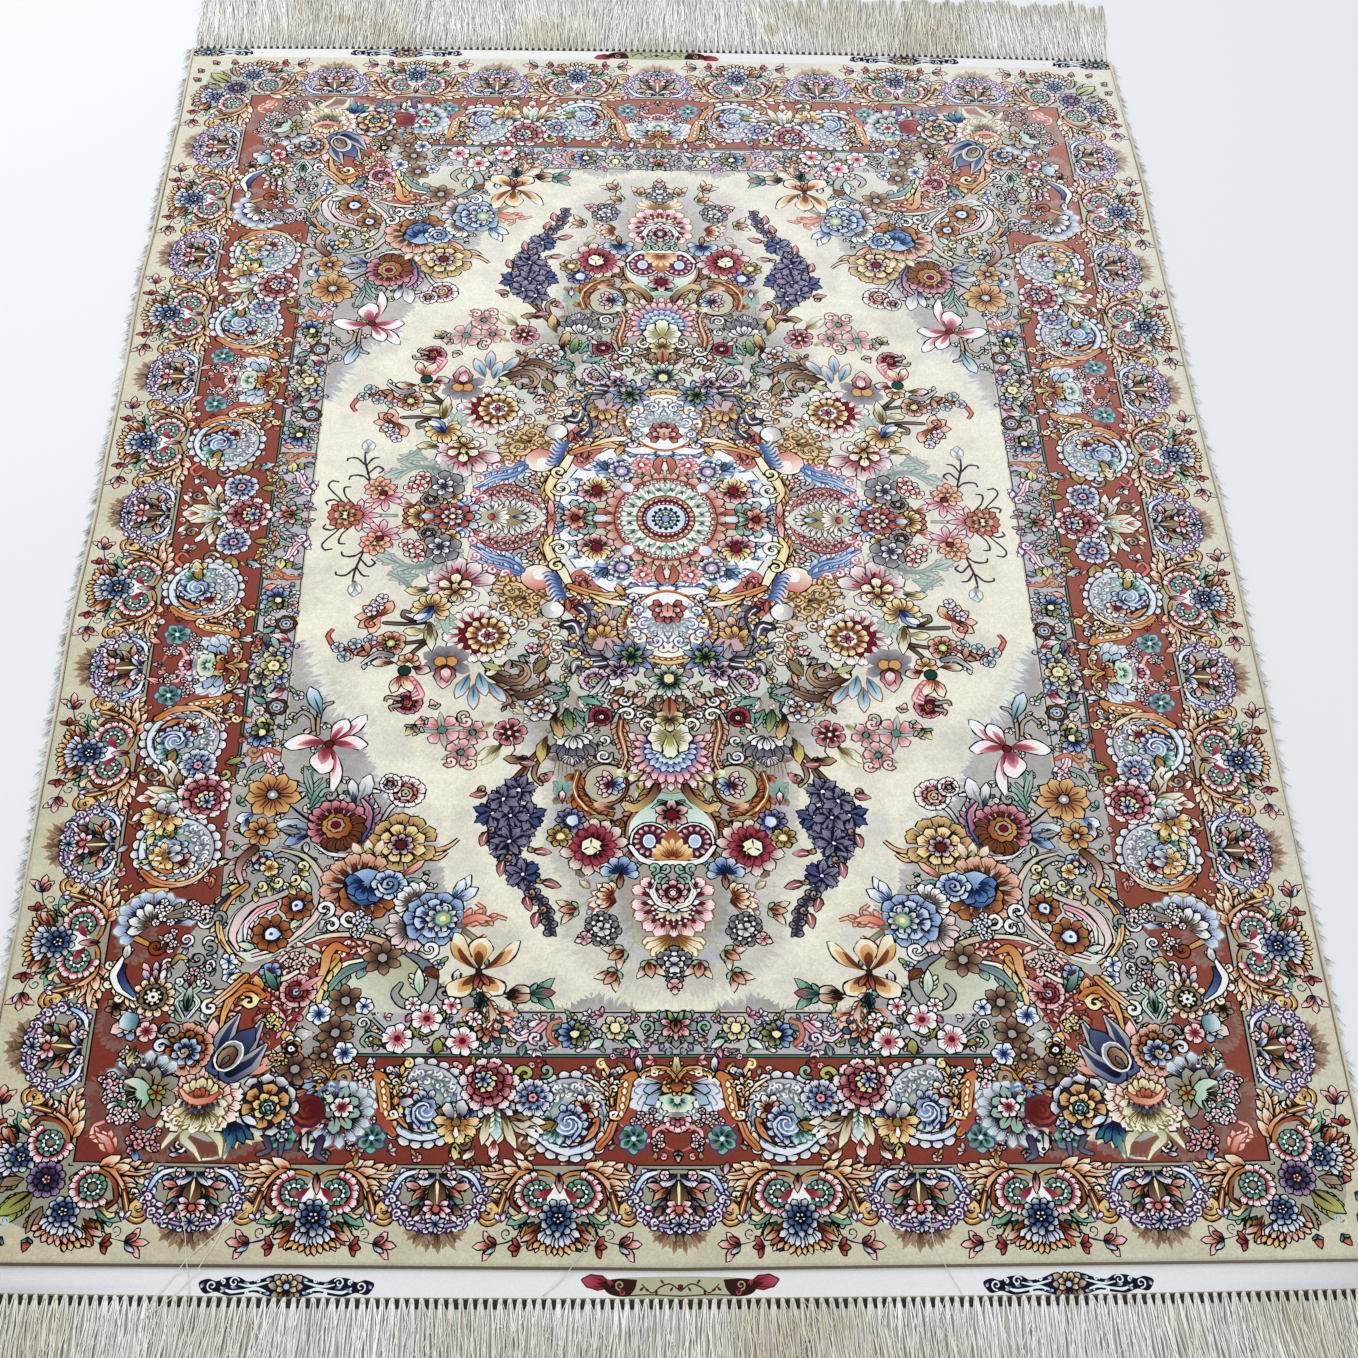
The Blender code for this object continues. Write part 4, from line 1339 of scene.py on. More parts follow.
# %% Pink orchid
stem([(284, 256), (288, 286), (284, 316)], 3.6, "sea")
leaf(286, 312, -110, 30, 12, "sea", "mint", teeth=1, bend=-0.1)
leaf(286, 300, -78, 32, 9, "mint", "ash", teeth=1)
curl(272, 300, 7, turn=0, way=-1, turns=1.0, width=3.4, tone="mint", tip="ash")
for points in ([(286, 240), (287, 225), (284, 212), (277, 208)],
               [(290, 236), (292, 224), (300, 218), (306, 224)], [(286, 222), (290, 206), (297, 198)]):
    ribbon(points, (2, 3, 2.2), "tan", "ash")
petal(284, 222, -62, 34, 12, "teal", "ice", belly=0.62, rib="navy")
for a, length, width, b in (
        (-142, 42, 12, 0.2), (-116, 28, 12, -0.1), (-166, 30, 15, -0.34), (-16, 36, 17, 0.3),
        (114, 42, 10, -0.4), (66, 28, 20, 0.16)):
    petal(276, 250, a, length, width, "pink", "white", bend=b, belly=0.68, plain=True, fine=16)
    petal(276, 250, a, length * 0.72, width * 0.5, "crimson", "pink", bend=b, edge=None, belly=0.56,
          plain=True, fine=10)
    petal(276, 250, a, length * 0.6, width * 0.3, "wine", "rose", bend=b, edge=None, belly=0.5,
          plain=True)
disc(276, 250, 3.4, "wine", edge="ink")
tally("pink orchid")

# %% [markdown]
# ## Corner piece: the small peony
#
# A small white and pink peony with its leaf fills the gap beside the orchid. The ready-made peony
# recipe serves here with other tones.

# %% Small peony
for points in ([(228, 322), (222, 310), (212, 306)], [(232, 326), (234, 312), (240, 300), (236, 294)],
               [(244, 306), (240, 296), (233, 296)]):
    ribbon(points, (2.4, 3, 2), "ash", "white")
peony(211, 296, 15, "white", "pink", "wine", "blush", "sand", turn=60, petals=8)
peony(224, 288, 9, "white", "blush", "rose", "sand", "ash", turn=30, petals=7)
petal(250, 310, -110, 34, 12, "steel", "white", bend=0.15, rib="slate")
petal(252, 310, -85, 24, 9, "steel", "white", bend=0.1)
tally("small peony")

# %% [markdown]
# ## Corner piece: the crimson and brown peony
#
# Its two sides differ, crimson on the left and brown on the right, so it is two half rings of
# petals.

# %% Crimson and brown peony
petal(283, 334, -10, 28, 15, "steel", "ice", belly=0.5, rib="deep")
petal(284, 338, 14, 20, 10, "deep", "sky", bend=0.2)
acanthus([(246, 342), (241, 328), (240, 314), (246, 304)], 12, "deep", "pink", side=-1, lobes=6,
         rib="rose")
whorl(264, 328, 11, 9, 24, 9, "crimson", "pink", turn=-60, span=200, belly=0.75)
whorl(262, 332, 7, 4, 21, 12, "rust", "brown", turn=130, span=150, belly=0.7)
disc(264, 329, 12, "rust", tip="amber", edge="ink", lobes=9)
disc(265, 328, 7, "tan", edge="ink", lobes=7)
disc(265, 328, 3.4, "crimson", edge="ink")
acanthus([(248, 354), (258, 356), (270, 354), (280, 346)], 5, "blush", "white", side=1, lobes=6,
         rib="rose")
tally("crimson and brown peony")

# %% [markdown]
# ## Corner piece: daisies
#
# Daisies are plain rings of petals. Two rings, turned a little against each other, look fuller
# than one ring with more petals.

# %% Yellow and brown daisies
stem([(283, 326), (294, 318), (302, 310)], 2.4, "ink")
leaf(308, 332, 170, 16, 9, "ash", "slate", teeth=2)
petal(330, 318, 30, 16, 11, "sky", "white", belly=0.6)
petal(334, 322, 75, 15, 8, "steel", "ice", bend=0.2)
for x, y, r, k in ((317, 300, 22, 9), (323, 335, 13, 7)):
    whorl(x, y, k, r * 0.2, r, r * 0.56, "rust", "gold", turn=10, belly=0.6, rib="brown")
    disc(x, y, r * 0.2, "ash", edge="ink")
    disc(x, y, r * 0.08, "white")
tally("yellow and brown daisies")

# %% [markdown]
# ## Corner piece: the golden peony
#
# Four rings of clefted petals, darker towards the heart.

# %% Golden peony
for points in ([(196, 350), (182, 350), (174, 346), (168, 340)], [(196, 356), (184, 358), (176, 352)]):
    ribbon(points, (3, 3, 1.4), "amber", "peach")
whorl(212, 344, 9, 9, 27, 16, "brown", "gold", belly=0.72, cleft=0.1)
whorl(212, 345, 8, 5, 18, 11, "amber", "straw", turn=20, belly=0.72)
whorl(213, 345, 7, 2, 10, 6, "purple", "blush", turn=10)
disc(213, 346, 4, "wine", edge="ink")
for a in (-70, -40, -10):
    petal(238, 366, a - 50, 26, 8, "olive" if a else "straw", "ivory", edge="rust", bend=0.1)
petal(236, 370, -95, 22, 7, "green", "lime", bend=0.1)
tally("golden peony")

# %% [markdown]
# ## Corner piece: rose with a blue heart
#
# An orange and cream rose is seen from the side and holds a blue bud that opens to the right.

# %% Orange rose round a blue flower
petal(215, 376, -150, 26, 7, "coral", "peach", bend=0.2)
petal(214, 382, -165, 22, 9, "sea", "mint", bend=-0.2)
whorl(242, 385, 12, 12, 31, 14, "rust", "peach", turn=20, span=285, belly=0.75, cleft=0.1)
whorl(236, 392, 7, 8, 22, 12, "umber", "orange", turn=60, span=200, belly=0.75)
disc(237, 384, 16, "cobalt", tip="sky", edge="ink", turn=-60)
whorl(236, 380, 5, 4, 18, 10, "cobalt", "blue", turn=70, span=150)
whorl(220, 382, 8, 4, 14, 9, "blue", "ice", belly=0.7)
curl(220, 382, 8, turn=0, way=1, turns=1.5, width=2.6, tone="white", tip="blue")
tally("orange rose round a blue flower")

# %% [markdown]
# ## Corner piece: the blue rose
#
# Grey and pink back petals, blue petals over them, and a yellow-green heart.

# %% Blue rose
for a, length in ((-135, 30), (-120, 24), (-150, 24)):
    petal(172, 398, a, length, 9, "blue", "white", bend=0.15)
whorl(198, 398, 7, 4, 18, 8, "ash", "white", turn=-30, span=150, belly=0.7)
whorl(200, 420, 7, 4, 20, 8, "ash", "blush", turn=40, span=130, belly=0.7)
whorl(183, 412, 10, 9, 24, 13, "deep", "sky", belly=0.74)
whorl(183, 412, 7, 6, 17, 10, "blue", "ice", turn=20, belly=0.72)
whorl(178, 412, 10, 3, 12, 5, "navy", "white", turn=0)
disc(177, 412, 6, "lime", tip="mint", edge="sea", lobes=6)
disc(177, 412, 2.6, "straw")
for points in ([(164, 418), (152, 414), (144, 416), (136, 410), (128, 412)],
               [(150, 414), (146, 404), (152, 398)], [(160, 422), (150, 430), (144, 426)]):
    ribbon(points, (3.4, 3, 1.2), "sea", "peach", edge="rust")
acanthus([(160, 414), (150, 410), (140, 412)], 9, "coral", "peach", side=0, lobes=3, edge="rust",
         rib=None)
tally("blue rose")

# %% [markdown]
# ## Corner piece: scrolls under the roses
#
# Grey acanthus scrolls carry the roses. A scroll is a ribbon with lobes on one side, so three
# points and a width are enough.

# %% Grey scrolls
for x, y, a, w in ((240, 424, 200, 1), (262, 418, 20, -1), (268, 404, 90, 1), (248, 412, 150, -1),
                   (186, 438, 30, 1)):
    curl(x, y, 8, turn=a, way=w, turns=1.1, width=3.2, tone="ash", tip="white")
spray(238, 420, 4, -80, "sky", "white", "navy", "ash", 5)
tally("grey scrolls")

# %% [markdown]
# ## Corner piece: the golden orchid
#
# Built like the pink one. It stands on a palmette at the foot of the field, where the grey ends.

# %% Golden orchid
leaf(118, 474, 195, 16, 8, "brown", "white", teeth=0)
stem([(140, 470), (124, 476), (112, 474)], 2.6, "umber")
petal(126, 474, 200, 18, 9, "brown", "ivory", bend=-0.2)
petal(128, 478, 165, 20, 8, "brown", "peach", bend=0.2)
tulip(108, 475, 20, 182, "sea", "mint", "rose", "sea", 0.3)
for x, y, a in ((138, 486, 90), (134, 490, 110), (146, 486, 75)):
    whorl(x, y, 5, 2, 16, 5, "rust", "peach", turn=a, span=120, edge=None)
whorl(140, 498, 9, 2, 18, 7, "amber", "blush", turn=90, span=200, edge="rust")
palmette(140, 503, 15, 90, "navy", "sea", "rust", "peach", "wine", "coral", 5, 240)
for a, length, width, b in (
        (-160, 35, 12, 0.42), (-94, 28, 18, 0.02), (-34, 35, 14, -0.34), (126, 26, 15, 0.2),
        (58, 28, 16, -0.16)):
    petal(148, 456, a, length, width, "amber", "ivory", bend=b, belly=0.7, plain=True, fine=16)
    petal(148, 456, a, length * 0.84, width * 0.66, "rust", "gold", bend=b, edge=None, belly=0.66,
          plain=True, fine=12)
    petal(148, 456, a, length * 0.66, width * 0.4, "umber", "rust", bend=b, edge=None, belly=0.64,
          plain=True, fine=8)
for a in (100, 80, 120):
    petal(148, 456, a, 16, 4, "wine", "coral")
disc(148, 456, 3, "umber")
acanthus([(146, 476), (139, 486), (136, 496), (140, 503)], 7, "rust", "ivory", side=0, lobes=6,
         edge="brown", rib="umber")
leaf(147, 474, 100, 16, 9, "green", "teal", teeth=2)
tally("golden orchid")

# %% [markdown]
# ## Corner piece: blossoms over the guard
#
# A spray of white and pink blossoms with lime leaves lies over the grey band.

# %% Pink blossoms on the guard
for x, y, a in ((160, 484, 0), (172, 490, 60), (196, 500, 120), (150, 500, 30), (176, 512, 90),
                (212, 512, 20), (190, 508, 200), (162, 500, 150)):
    leaf(x, y, a, 13, 11, "lime", "olive", teeth=2)
for x, y, r in ((167, 485, 7), (185, 496, 12), (158, 514, 12), (206, 512, 12), (196, 484, 6),
                (150, 496, 6)):
    bloom(x, y, r, "blush", "white", "crimson", 7, turn=x)
    dots(x, y, r * 0.45, r * 0.45, 5, 0.9, "rose")
ribbon([(217, 512), (226, 508), (232, 514), (228, 519)], (1.6, 2, 1.4), "ash", "mint", edge="ink")
ribbon([(216, 506), (222, 500), (226, 496)], (1.6, 1.4), "ash", "mint", edge="ink")
tally("pink blossoms on the guard")

# %% [markdown]
# ## Corner bunch: palmette and swirl
#
# The corner of the main border holds the densest bunch of flowers on the rug. It is built from
# the back to the front, first a pale blue palmette with a red swirl.

# %% Palmette and red swirl
spray(231, 540, 4.2, 80, "pink", "white", "crimson", "mint", 6)
curl(244, 543, 7, turn=60, way=1, turns=1.1, width=3.4, tone="brown", tip="tan", edge="brown")
whorl(245, 570, 12, 9, 26, 8, "steel", "ice", edge="slate", turn=170, span=230, belly=0.75)
whorl(247, 568, 5, 4, 19, 9, "ash", "mint", turn=170, span=160, rib="ink")
bloom(243, 566, 8, "pink", "white", "crimson", 6)
dots(252, 556, 8, 6, 9, 1.5, "blue", 200, 200)
disc(267, 569, 12, "wine", tip="brick", edge="purple")
curl(267, 569, 10, turn=30, way=1, turns=1.5, width=3.2, tone="terra", tip="wine", edge="wine")
leaf(266, 586, 95, 16, 17, "ash", "white", teeth=2, rib="green")
dots(268, 592, 6, 7, 6, 1.8, "green")
for points in ([(286, 570), (284, 590), (284, 602)], [(288, 584), (296, 588), (292, 598), (300, 602)],
               [(256, 590), (258, 602), (252, 606)]):
    ribbon(points, (5, 4, 2), "purple", "steel", edge="plum")
tally("palmette and red swirl")

# %% [markdown]
# ## Corner bunch: the navy rose
#
# Pale lilac outer petals, dark blue ones inside them, and a golden rosette in the middle.

# %% Navy rose
whorl(298, 565, 11, 12, 24, 11, "night", "white", turn=10, belly=0.76)
disc(298, 565, 18.5, "plum", edge="ink", lobes=9)
whorl(298, 565, 6, 5, 17, 12, "rust", "gold", turn=20, belly=0.7)
whorl(297, 566, 6, 2, 10, 7, "amber", "straw", turn=50)
rosette(296, 567, 6, "sea", "ice", "teal", "white", 6)
for x, y, a in ((281, 578, 100), (284, 588, 90)):
    bloom(x, y, 4, "navy", "white", "blue", 4)
tally("navy rose")

# %% [markdown]
# ## Corner bunch: the brush
#
# A brush of stiff blue and yellow petals sticks out of the bunch. It is a fan, a whorl with less
# than a full turn.

# %% Blue and yellow brush
for a in (60, 80, 100, 120, 140):
    petal(319, 578, a, 20 + a % 9, 4, "olive", "straw", edge=None, bend=0.1)
whorl(320, 576, 5, 2, 20, 6, "cobalt", "teal", turn=92, span=90)
ribbon([(321, 590), (322, 600), (330, 605), (340, 606)], (4, 2.4, 1), "teal", "ivory", edge=None)
leaf(314, 574, 160, 12, 9, "sky", "white", teeth=1)
tally("blue and yellow brush")

# %% [markdown]
# ## Corner bunch: the folded peony
#
# The largest flower is seen from the side. Its outer petals fold over, so pale fans are laid over
# a coral cup.

# %% Folded peony
for points in ([(346, 578), (354, 590), (346, 598), (340, 607)], [(352, 576), (362, 588), (370, 600)],
               [(338, 582), (328, 592), (326, 604)], [(358, 572), (370, 578), (376, 590)]):
    ribbon(points, (7, 5, 1), "khaki", "ivory", edge="olive")
whorl(345, 560, 15, 14, 31, 11, "pink", "ivory", turn=-90, span=280, belly=0.76, cleft=0.16,
      edge="umber")
whorl(345, 560, 11, 9, 24, 10, "tan", "blush", turn=-90, span=230, cleft=0.14, edge="brown")
whorl(345, 566, 9, 2, 21, 8, "olive", "ivory", turn=90, span=190, edge="olive", belly=0.7)
whorl(345, 560, 7, 3, 16, 8, "khaki", "straw", turn=-90, span=150, edge="umber", belly=0.66)
whorl(346, 562, 7, 1, 10, 5, "rust", "coral", turn=-70, span=200, edge="wine")
ribbon([(332, 556), (340, 562), (352, 562), (360, 554)], (2, 4, 4, 2), "coral", "peach", edge="rust")
for i in range(8):
    petal(333 + 3.4 * i, 566 - abs(i - 3.5) * 1.4, 90 + 5 * (3.5 - i), 7, 3, "navy", "steel", edge=None)
garland([(328, 572), (338, 580), (352, 580), (362, 572)], 6, "straw", "ivory", "olive", 4, (1,), 60)
tally("folded peony")

# %% [markdown]
# ## Corner bunch: the blue tulip
#
# Three long steel-blue petals swing out over a dark one with a brown eye.

# %% Blue tulip
petal(322, 543, 195, 34, 11, "coral", "peach", bend=0.15, edge="wine", rib="crimson")
petal(340, 530, -84, 34, 10, "coral", "blush", edge="wine", rib="crimson")
for points in ([(330, 538), (316, 520), (306, 498)], [(336, 534), (332, 512), (324, 494)],
               [(326, 540), (312, 532), (302, 518)]):
    ribbon(points, (17, 14, 2.4), "delft", "haze", rib="ice")
    ribbon(points, (9, 6, 1), "night", "delft", edge=None)
petal(334, 538, -122, 38, 19, "night", "delft", belly=0.6)
disc(328, 527, 8.6, "ash", ry=12, edge="ivory", turn=-30)
disc(329, 528, 6, "brown", ry=9, tip="tan", edge="ink", turn=-30)
petal(334, 536, -120, 12, 4, "plum", "slate")
spray(300, 496, 3.4, 120, "gold", "straw", "olive", "khaki", 4)
spray(296, 528, 3, 160, "amber", "straw", "brown", "khaki", 4)
tally("blue tulip")

# %% [markdown]
# ## Corner bunch: the orange daisy
#
# An orange daisy with a blue heart sits on the front of the bunch, so it comes late in the order.

# %% Orange daisy
whorl(360, 522, 12, 10, 21, 10, "rust", "peach", belly=0.75, cleft=0.12)
whorl(360, 522, 10, 7, 15, 7, "brown", "orange", turn=10)
whorl(359, 524, 8, 3, 11, 6, "deep", "ice", turn=20)
curl(361, 524, 4, turn=0, way=1, turns=1.2, width=1.8, tone="ivory", tip="tan")
tally("orange daisy")

# %% [markdown]
# ## Corner bunch: grey palmettes
#
# Two cool palmettes lead from the bunch into the end border.

# %% Grey palmettes
whorl(386, 553, 9, 12, 30, 9, "steel", "ice", edge="slate", turn=-50, span=170, belly=0.76)
for a in (-150, -95, -60, 160, 110):
    petal(381, 556, a, 21, 12, "olive", "ash", rib="ink", belly=0.6)
disc(394, 558, 13, "mint", tip="ivory", edge="ink")
whorl(386, 556, 7, 5, 22, 5, "brown", "mint", turn=30, span=100, edge=None)
bloom(377, 556, 6, "rust", "lime", "crimson", 6)
whorl(394, 562, 7, 8, 18, 6, "mint", "white", turn=40, span=120)
spray(396, 572, 3.8, 20, "pink", "white", "rose", None, 6)
spray(408, 556, 4, -80, "rose", "white", "crimson", "sky", 7)
spray(378, 592, 4.2, 0, "rose", "blush", "crimson", "sky", 8)
petal(388, 598, 100, 10, 5, "deep", "sky")
curl(412, 588, 9, turn=-90, way=1, turns=0.9, width=3.2, tone="pink", tip="blush", edge="rust")
acanthus([(404, 600), (408, 592), (416, 588)], 8, "coral", "blush", side=0, lobes=3, edge="rust",
         rib=None)
tally("grey palmettes")

# %% [markdown]
# ## Corner bunch: up the long side
#
# The bunch also climbs the long side, with daisies, buds and curled leaves.

# %% Flowers up the side
spray(404, 526, 3.4, 150, "navy", "white", "gold", "straw", 4)
petal(396, 520, 60, 15, 5, "olive", "straw", bend=0.3)
palmette(404, 500, 15, 180, "slate", "sky", "pink", "blush", "teal", "ice", 5, 240)
for a, tone in ((140, "rose"), (200, "crimson"), (230, "pink"), (20, "tan"), (-40, "ash")):
    petal(402, 500, a, 18, 10, tone, "blush", bend=0.15, rib="ink")
bloom(391, 488, 8, "rose", "blush", "wine")
bloom(390, 508, 8, "pink", "blush", "crimson")
disc(404, 500, 7, "teal", tip="ice", edge="ink")
whorl(415, 488, 5, 1, 8, 5, "brown", "tan", turn=30)
whorl(389, 480, 13, 8, 17, 5.4, "amber", "ivory", edge="umber", cleft=0.12)
rosette(389, 480, 11, "taupe", "ink", "white", "ink", 9)
dots(389, 480, 5.4, 5.4, 8, 1.1, "straw")
for i, tone in enumerate(("rust", "deep", "coral", "white", "wine", "blue")):
    petal(385 + (i % 3) * 4, 464 + (i // 3) * 3, -100 + 20 * (i % 3), 13 - 3 * (i // 3), 4.4, tone,
          "blush")
ribbon([(378, 452), (374, 446), (368, 448)], (3, 4, 2), "olive", "gold")
garland([(418, 448), (422, 461), (416, 474), (403, 484)], 8, "gold", "ivory", "umber", 4.4, (-1,), 45)
ribbon([(416, 447), (420, 461), (414, 473), (402, 482)], (2, 7, 7, 2), "white", "ice")
ribbon([(413, 452), (415, 462), (410, 472), (402, 480)], (1, 5, 5, 1.4), "navy", "blue")
leaf(414, 448, -100, 12, 9, "ash", "white", teeth=2)
tally("flowers up the side")

# %% [markdown]
# ## Corner bunch: the lyre
#
# Two green and white curls stand back to back like a lyre. They are ribbons on a spiral.

# %% Green and white lyre
disc(363, 485, 9, "ash", ry=15, tip="dove")
for s in (-1, 1):
    ribbon([(363 + s, 463), (363 + s * 9, 470), (363 + s * 3, 477), (363 + s * 8, 485),
            (363 + s * 1.5, 497)], (2, 4, 3, 3.4, 1.4), "mint", "white", rib="sea")
    curl(363 + s * 8.5, 467, 3.4, turn=90, way=s, turns=1.1, width=1.8, tone="mint", tip="white")
    petal(363, 492, -90 + s * 34, 10, 4, "sea", "mint")
petal(363, 490, -90, 20, 6, "green", "ivory", belly=0.4)
petal(363, 472, -90, 12, 5, "wine", "pink")
spray(361, 458, 3.6, -92, "rose", "white", "crimson", "ivory", 6)
curl(372, 508, 7, turn=0, way=-1, turns=1.0, width=2.8, tone="steel", tip="ash")
curl(378, 520, 6, turn=200, way=1, turns=1.0, width=2.8, tone="slate", tip="ice")
tally("green and white lyre")

# %% [markdown]
# ## Corner bunch: palmette in a gold arc
#
# A pale blue palmette ends the bunch. The gold arc round it is one thick ribbon with a thinner,
# lighter one on top.

# %% Palmette in a gold arc
ribbon([(398, 436), (412, 428), (419, 414), (416, 400), (404, 390), (390, 388)], (3, 4.4, 5, 5, 4.4, 3),
       "amber", "gold")
acanthus([(414, 424), (420, 410), (416, 398), (404, 390)], 8, "amber", "straw", side=1, lobes=5)
whorl(396, 418, 11, 10, 30, 10, "deep", "ice", edge="slate", turn=-70, span=210, belly=0.76)
whorl(396, 420, 7, 5, 20, 8, "ash", "white", turn=-70, span=170)
spray(390, 412, 4, -90, "blush", "white", "crimson", None, 6)
spray(384, 430, 3.4, 100, "pink", "white", "wine", "mint", 5)
curl(392, 438, 7, turn=200, way=-1, turns=1.1, width=3, tone="wine", tip="rust")
leaf(388, 412, 200, 30, 15, "taupe", "ash", teeth=2, rib="brown")
spray(366, 406, 3.8, 160, "pink", "white", "crimson", "ash", 6)
for x, y, a in ((360, 448, 30), (352, 438, 90), (348, 412, 120)):
    curl(x, y, 6, turn=a, way=1, turns=1.0, width=2.6, tone="steel", tip="ash")
tally("palmette in a gold arc")

# %% [markdown]
# ## Medallion: grounds and rings
#
# The medallion is built up in rings round the middle: a pale ground with tendrils, a sky-blue
# ring of small leaves, and a khaki ring with fine scrolls.

# %% Rings of the medallion
area([(-20, -20), (150, -20), (166, 20), (172, 60), (150, 96), (160, 118), (140, 150), (118, 178),
      (84, 190), (60, 215), (30, 214), (0, 236), (-20, 238)], "ivory", "mist", (0, 0), (120, 180),
     edge="slate")
foliage([(100, 40), (166, 60), (146, 96), (150, 120), (116, 172), (80, 184), (50, 206), (10, 222),
         (0, 150), (60, 100)], 10.5, 4.2, (("sand", "ivory"), ("ash", "white"), ("tan", "blush"),
                                           ("olive", "straw"), ("coral", "blush")), 41, "umber", "sea")
disc(0, 0, 99, "ice", ry=93, tip="white", turn=60, edge="ink")
for ring, (near, far, size, count) in enumerate(((62, 78, 5, 34), (70, 89, 5.4, 38), (80, 97, 5, 44))):
    for i in range(count // 4 + 2):
        a = (i - 0.5 + 0.3 * ring) * 360 / count
        tone, tip = (("blue", "ice"), ("sky", "white"), ("teal", "white"),
                     ("deep", "sky"))[(i * 3 + ring) % 4]
        petal(near * cos(radians(a)), near * 0.95 * sin(radians(a)), a + (25 if i % 2 else -25),
              far - near, size, tone, tip, edge="deep" if i % 3 == 0 else None,
              bend=0.4 if i % 2 else -0.4)
filigree(scatter([(60, 2), (92, 2), (70, 62), (2, 92), (2, 62), (48, 44)], 11, 43), 4.4,
         (("blue", "white"), ("deep", "ice"), ("sea", "mint")), 44, "deep", "sky")
disc(0, 0, 74, "khaki", ry=74, edge="sea")
disc(0, 0, 71, "sand", ry=71, edge=None)
filigree(scatter([(50, 0), (70, 0), (62, 40), (40, 62), (0, 70), (0, 56), (36, 40)], 7.6, 45), 3.4,
         (("sea", "mint"), ("olive", "straw"), ("coral", "blush"), ("sea", "ice")), 46, "brown",
         "green")
tally("rings of the medallion")

# %% [markdown]
# ## Medallion: the sunburst
#
# In the middle a terracotta ring with scalloped petals holds three rings of pale rays, then
# beads, and a sky-blue heart. Rings are whorls of petals with their own counts, a little taller
# than wide as on the rug.

# %% Sunburst
whorl(0, 0, 30, 40, 56, 10, "brick", "peach", edge="umber", belly=0.7)
whorl(0, 0, 30, 38, 50, 6, "wine", "coral", edge=None, belly=0.7, turn=6)
disc(0, 0, 45, "brick", ry=49, tip="terra", edge="wine")
disc(0, 0, 42, "ivory", ry=46, edge="wine", lobes=40, depth=0.06)
for count, rx, ry, long, wide, pairs in (
        (46, 34, 38, 10, 3.6, (("green", "white"), ("sea", "ivory"))),
        (40, 29, 33, 9, 3.6, (("sea", "white"), ("umber", "ivory"))),
        (34, 24, 28.5, 9, 3.6, (("mist", "white"), ("sea", "mint")))):
    for i in range(count // 4 + 2):
        a = (i - 0.5) * 360 / count
        petal(rx * cos(radians(a)), ry * sin(radians(a)), a, long, wide, *pairs[i % 2], edge=None,
              belly=0.55, plain=True)
for i in range(12):
    a = (i - 0.5) * 9
    curl(42 * cos(radians(a)), 46 * sin(radians(a)), 2.4, a, 1, 1.0, 1.0, "coral", "white", edge="wine")
for i in range(12):
    a = (i - 0.5) * 9
    petal(29 * cos(radians(a)), 32 * sin(radians(a)), a + (34 if i % 2 else -34), 8, 1.9, "ink", "sea",
          edge=None, plain=True)
disc(0, 0, 25, "terra", ry=27.4, edge="wine", tip="tan")
whorl(0, 0, 26, 19, 25.5, 3.4, "coral", "straw", edge="wine", plain=True)
disc(0, 0, 20, "crimson", ry=22, edge="ink")
whorl(0, 0, 30, 16.6, 19.8, 2.2, "blush", "white", edge=None, plain=True)
disc(0, 0, 16, "ice", ry=17.6, tip="sky", edge="purple", turn=-60)
disc(0, 0, 13, "night", ry=14.4, lobes=14, edge=None)
whorl(0, 0, 14, 9.6, 13, 2.6, "sky", "white", edge=None, plain=True)
disc(0, 0, 9.4, "teal", ry=10.6, edge="ink")
whorl(0, 0, 14, 6.8, 9.6, 2.2, "mint", "white", edge=None, plain=True)
disc(0, 0, 6.8, "umber", ry=7.8, edge=None)
whorl(0, 0, 9, 4, 7, 2.4, "gold", "white", edge=None, plain=True)
disc(0, 0, 3.6, "sky", ry=4.2, tip="blue", edge="ink")
tally("sunburst")

# %% [markdown]
# ## Medallion: flames on the axes
#
# Long flame-like petals point out of the sunburst on both axes. They are drawn across the mirror
# line, and the mirror makes them even.

# %% Flames on the axes
for s in (-1, 1):
    petal(46, s * 5, s * 20, 20, 8, "terra", "coral", bend=-s * 0.2)
    petal(5 * s, 52, 90 - s * 16, 24, 9, "brick", "coral", bend=s * 0.2)
    petal(12 * s, 50, 90 - s * 38, 18, 7, "brick", "blush", bend=s * 0.2)
petal(48, 0, 0, 16, 7, "white", "sky")
petal(0, 52, 90, 20, 7, "ivory", "blush")
tally("flames on the axes")

# %% [markdown]
# ## Medallion: palmette in the sky ring
#
# A palmette stands in the sky-blue ring above and below. Its fan is a whorl that turns through
# 200 degrees or so.

# %% Palmette in the sky ring
palmette(76, 0, 21, 0, "lilac", "mint", "wine", "coral", "terra", "peach", 7, 280)
whorl(80, 0, 7, 2, 13, 6, "terra", "peach", turn=0, span=240)
disc(80, 0, 3, "wine", edge="ink")
for s in (-1, 1):
    petal(62, s * 6, s * 70, 14, 6, "sea", "mint")
    petal(90, s * 8, s * 60, 16, 6, "blue", "lilac", bend=-s * 0.3)
tally("palmette in the sky ring")

# %% [markdown]
# ## Medallion: flowers in the khaki ring
#
# Crimson and yellow carnations, grey asters and pink blossoms stand in the khaki ring, one of
# each in a quarter.

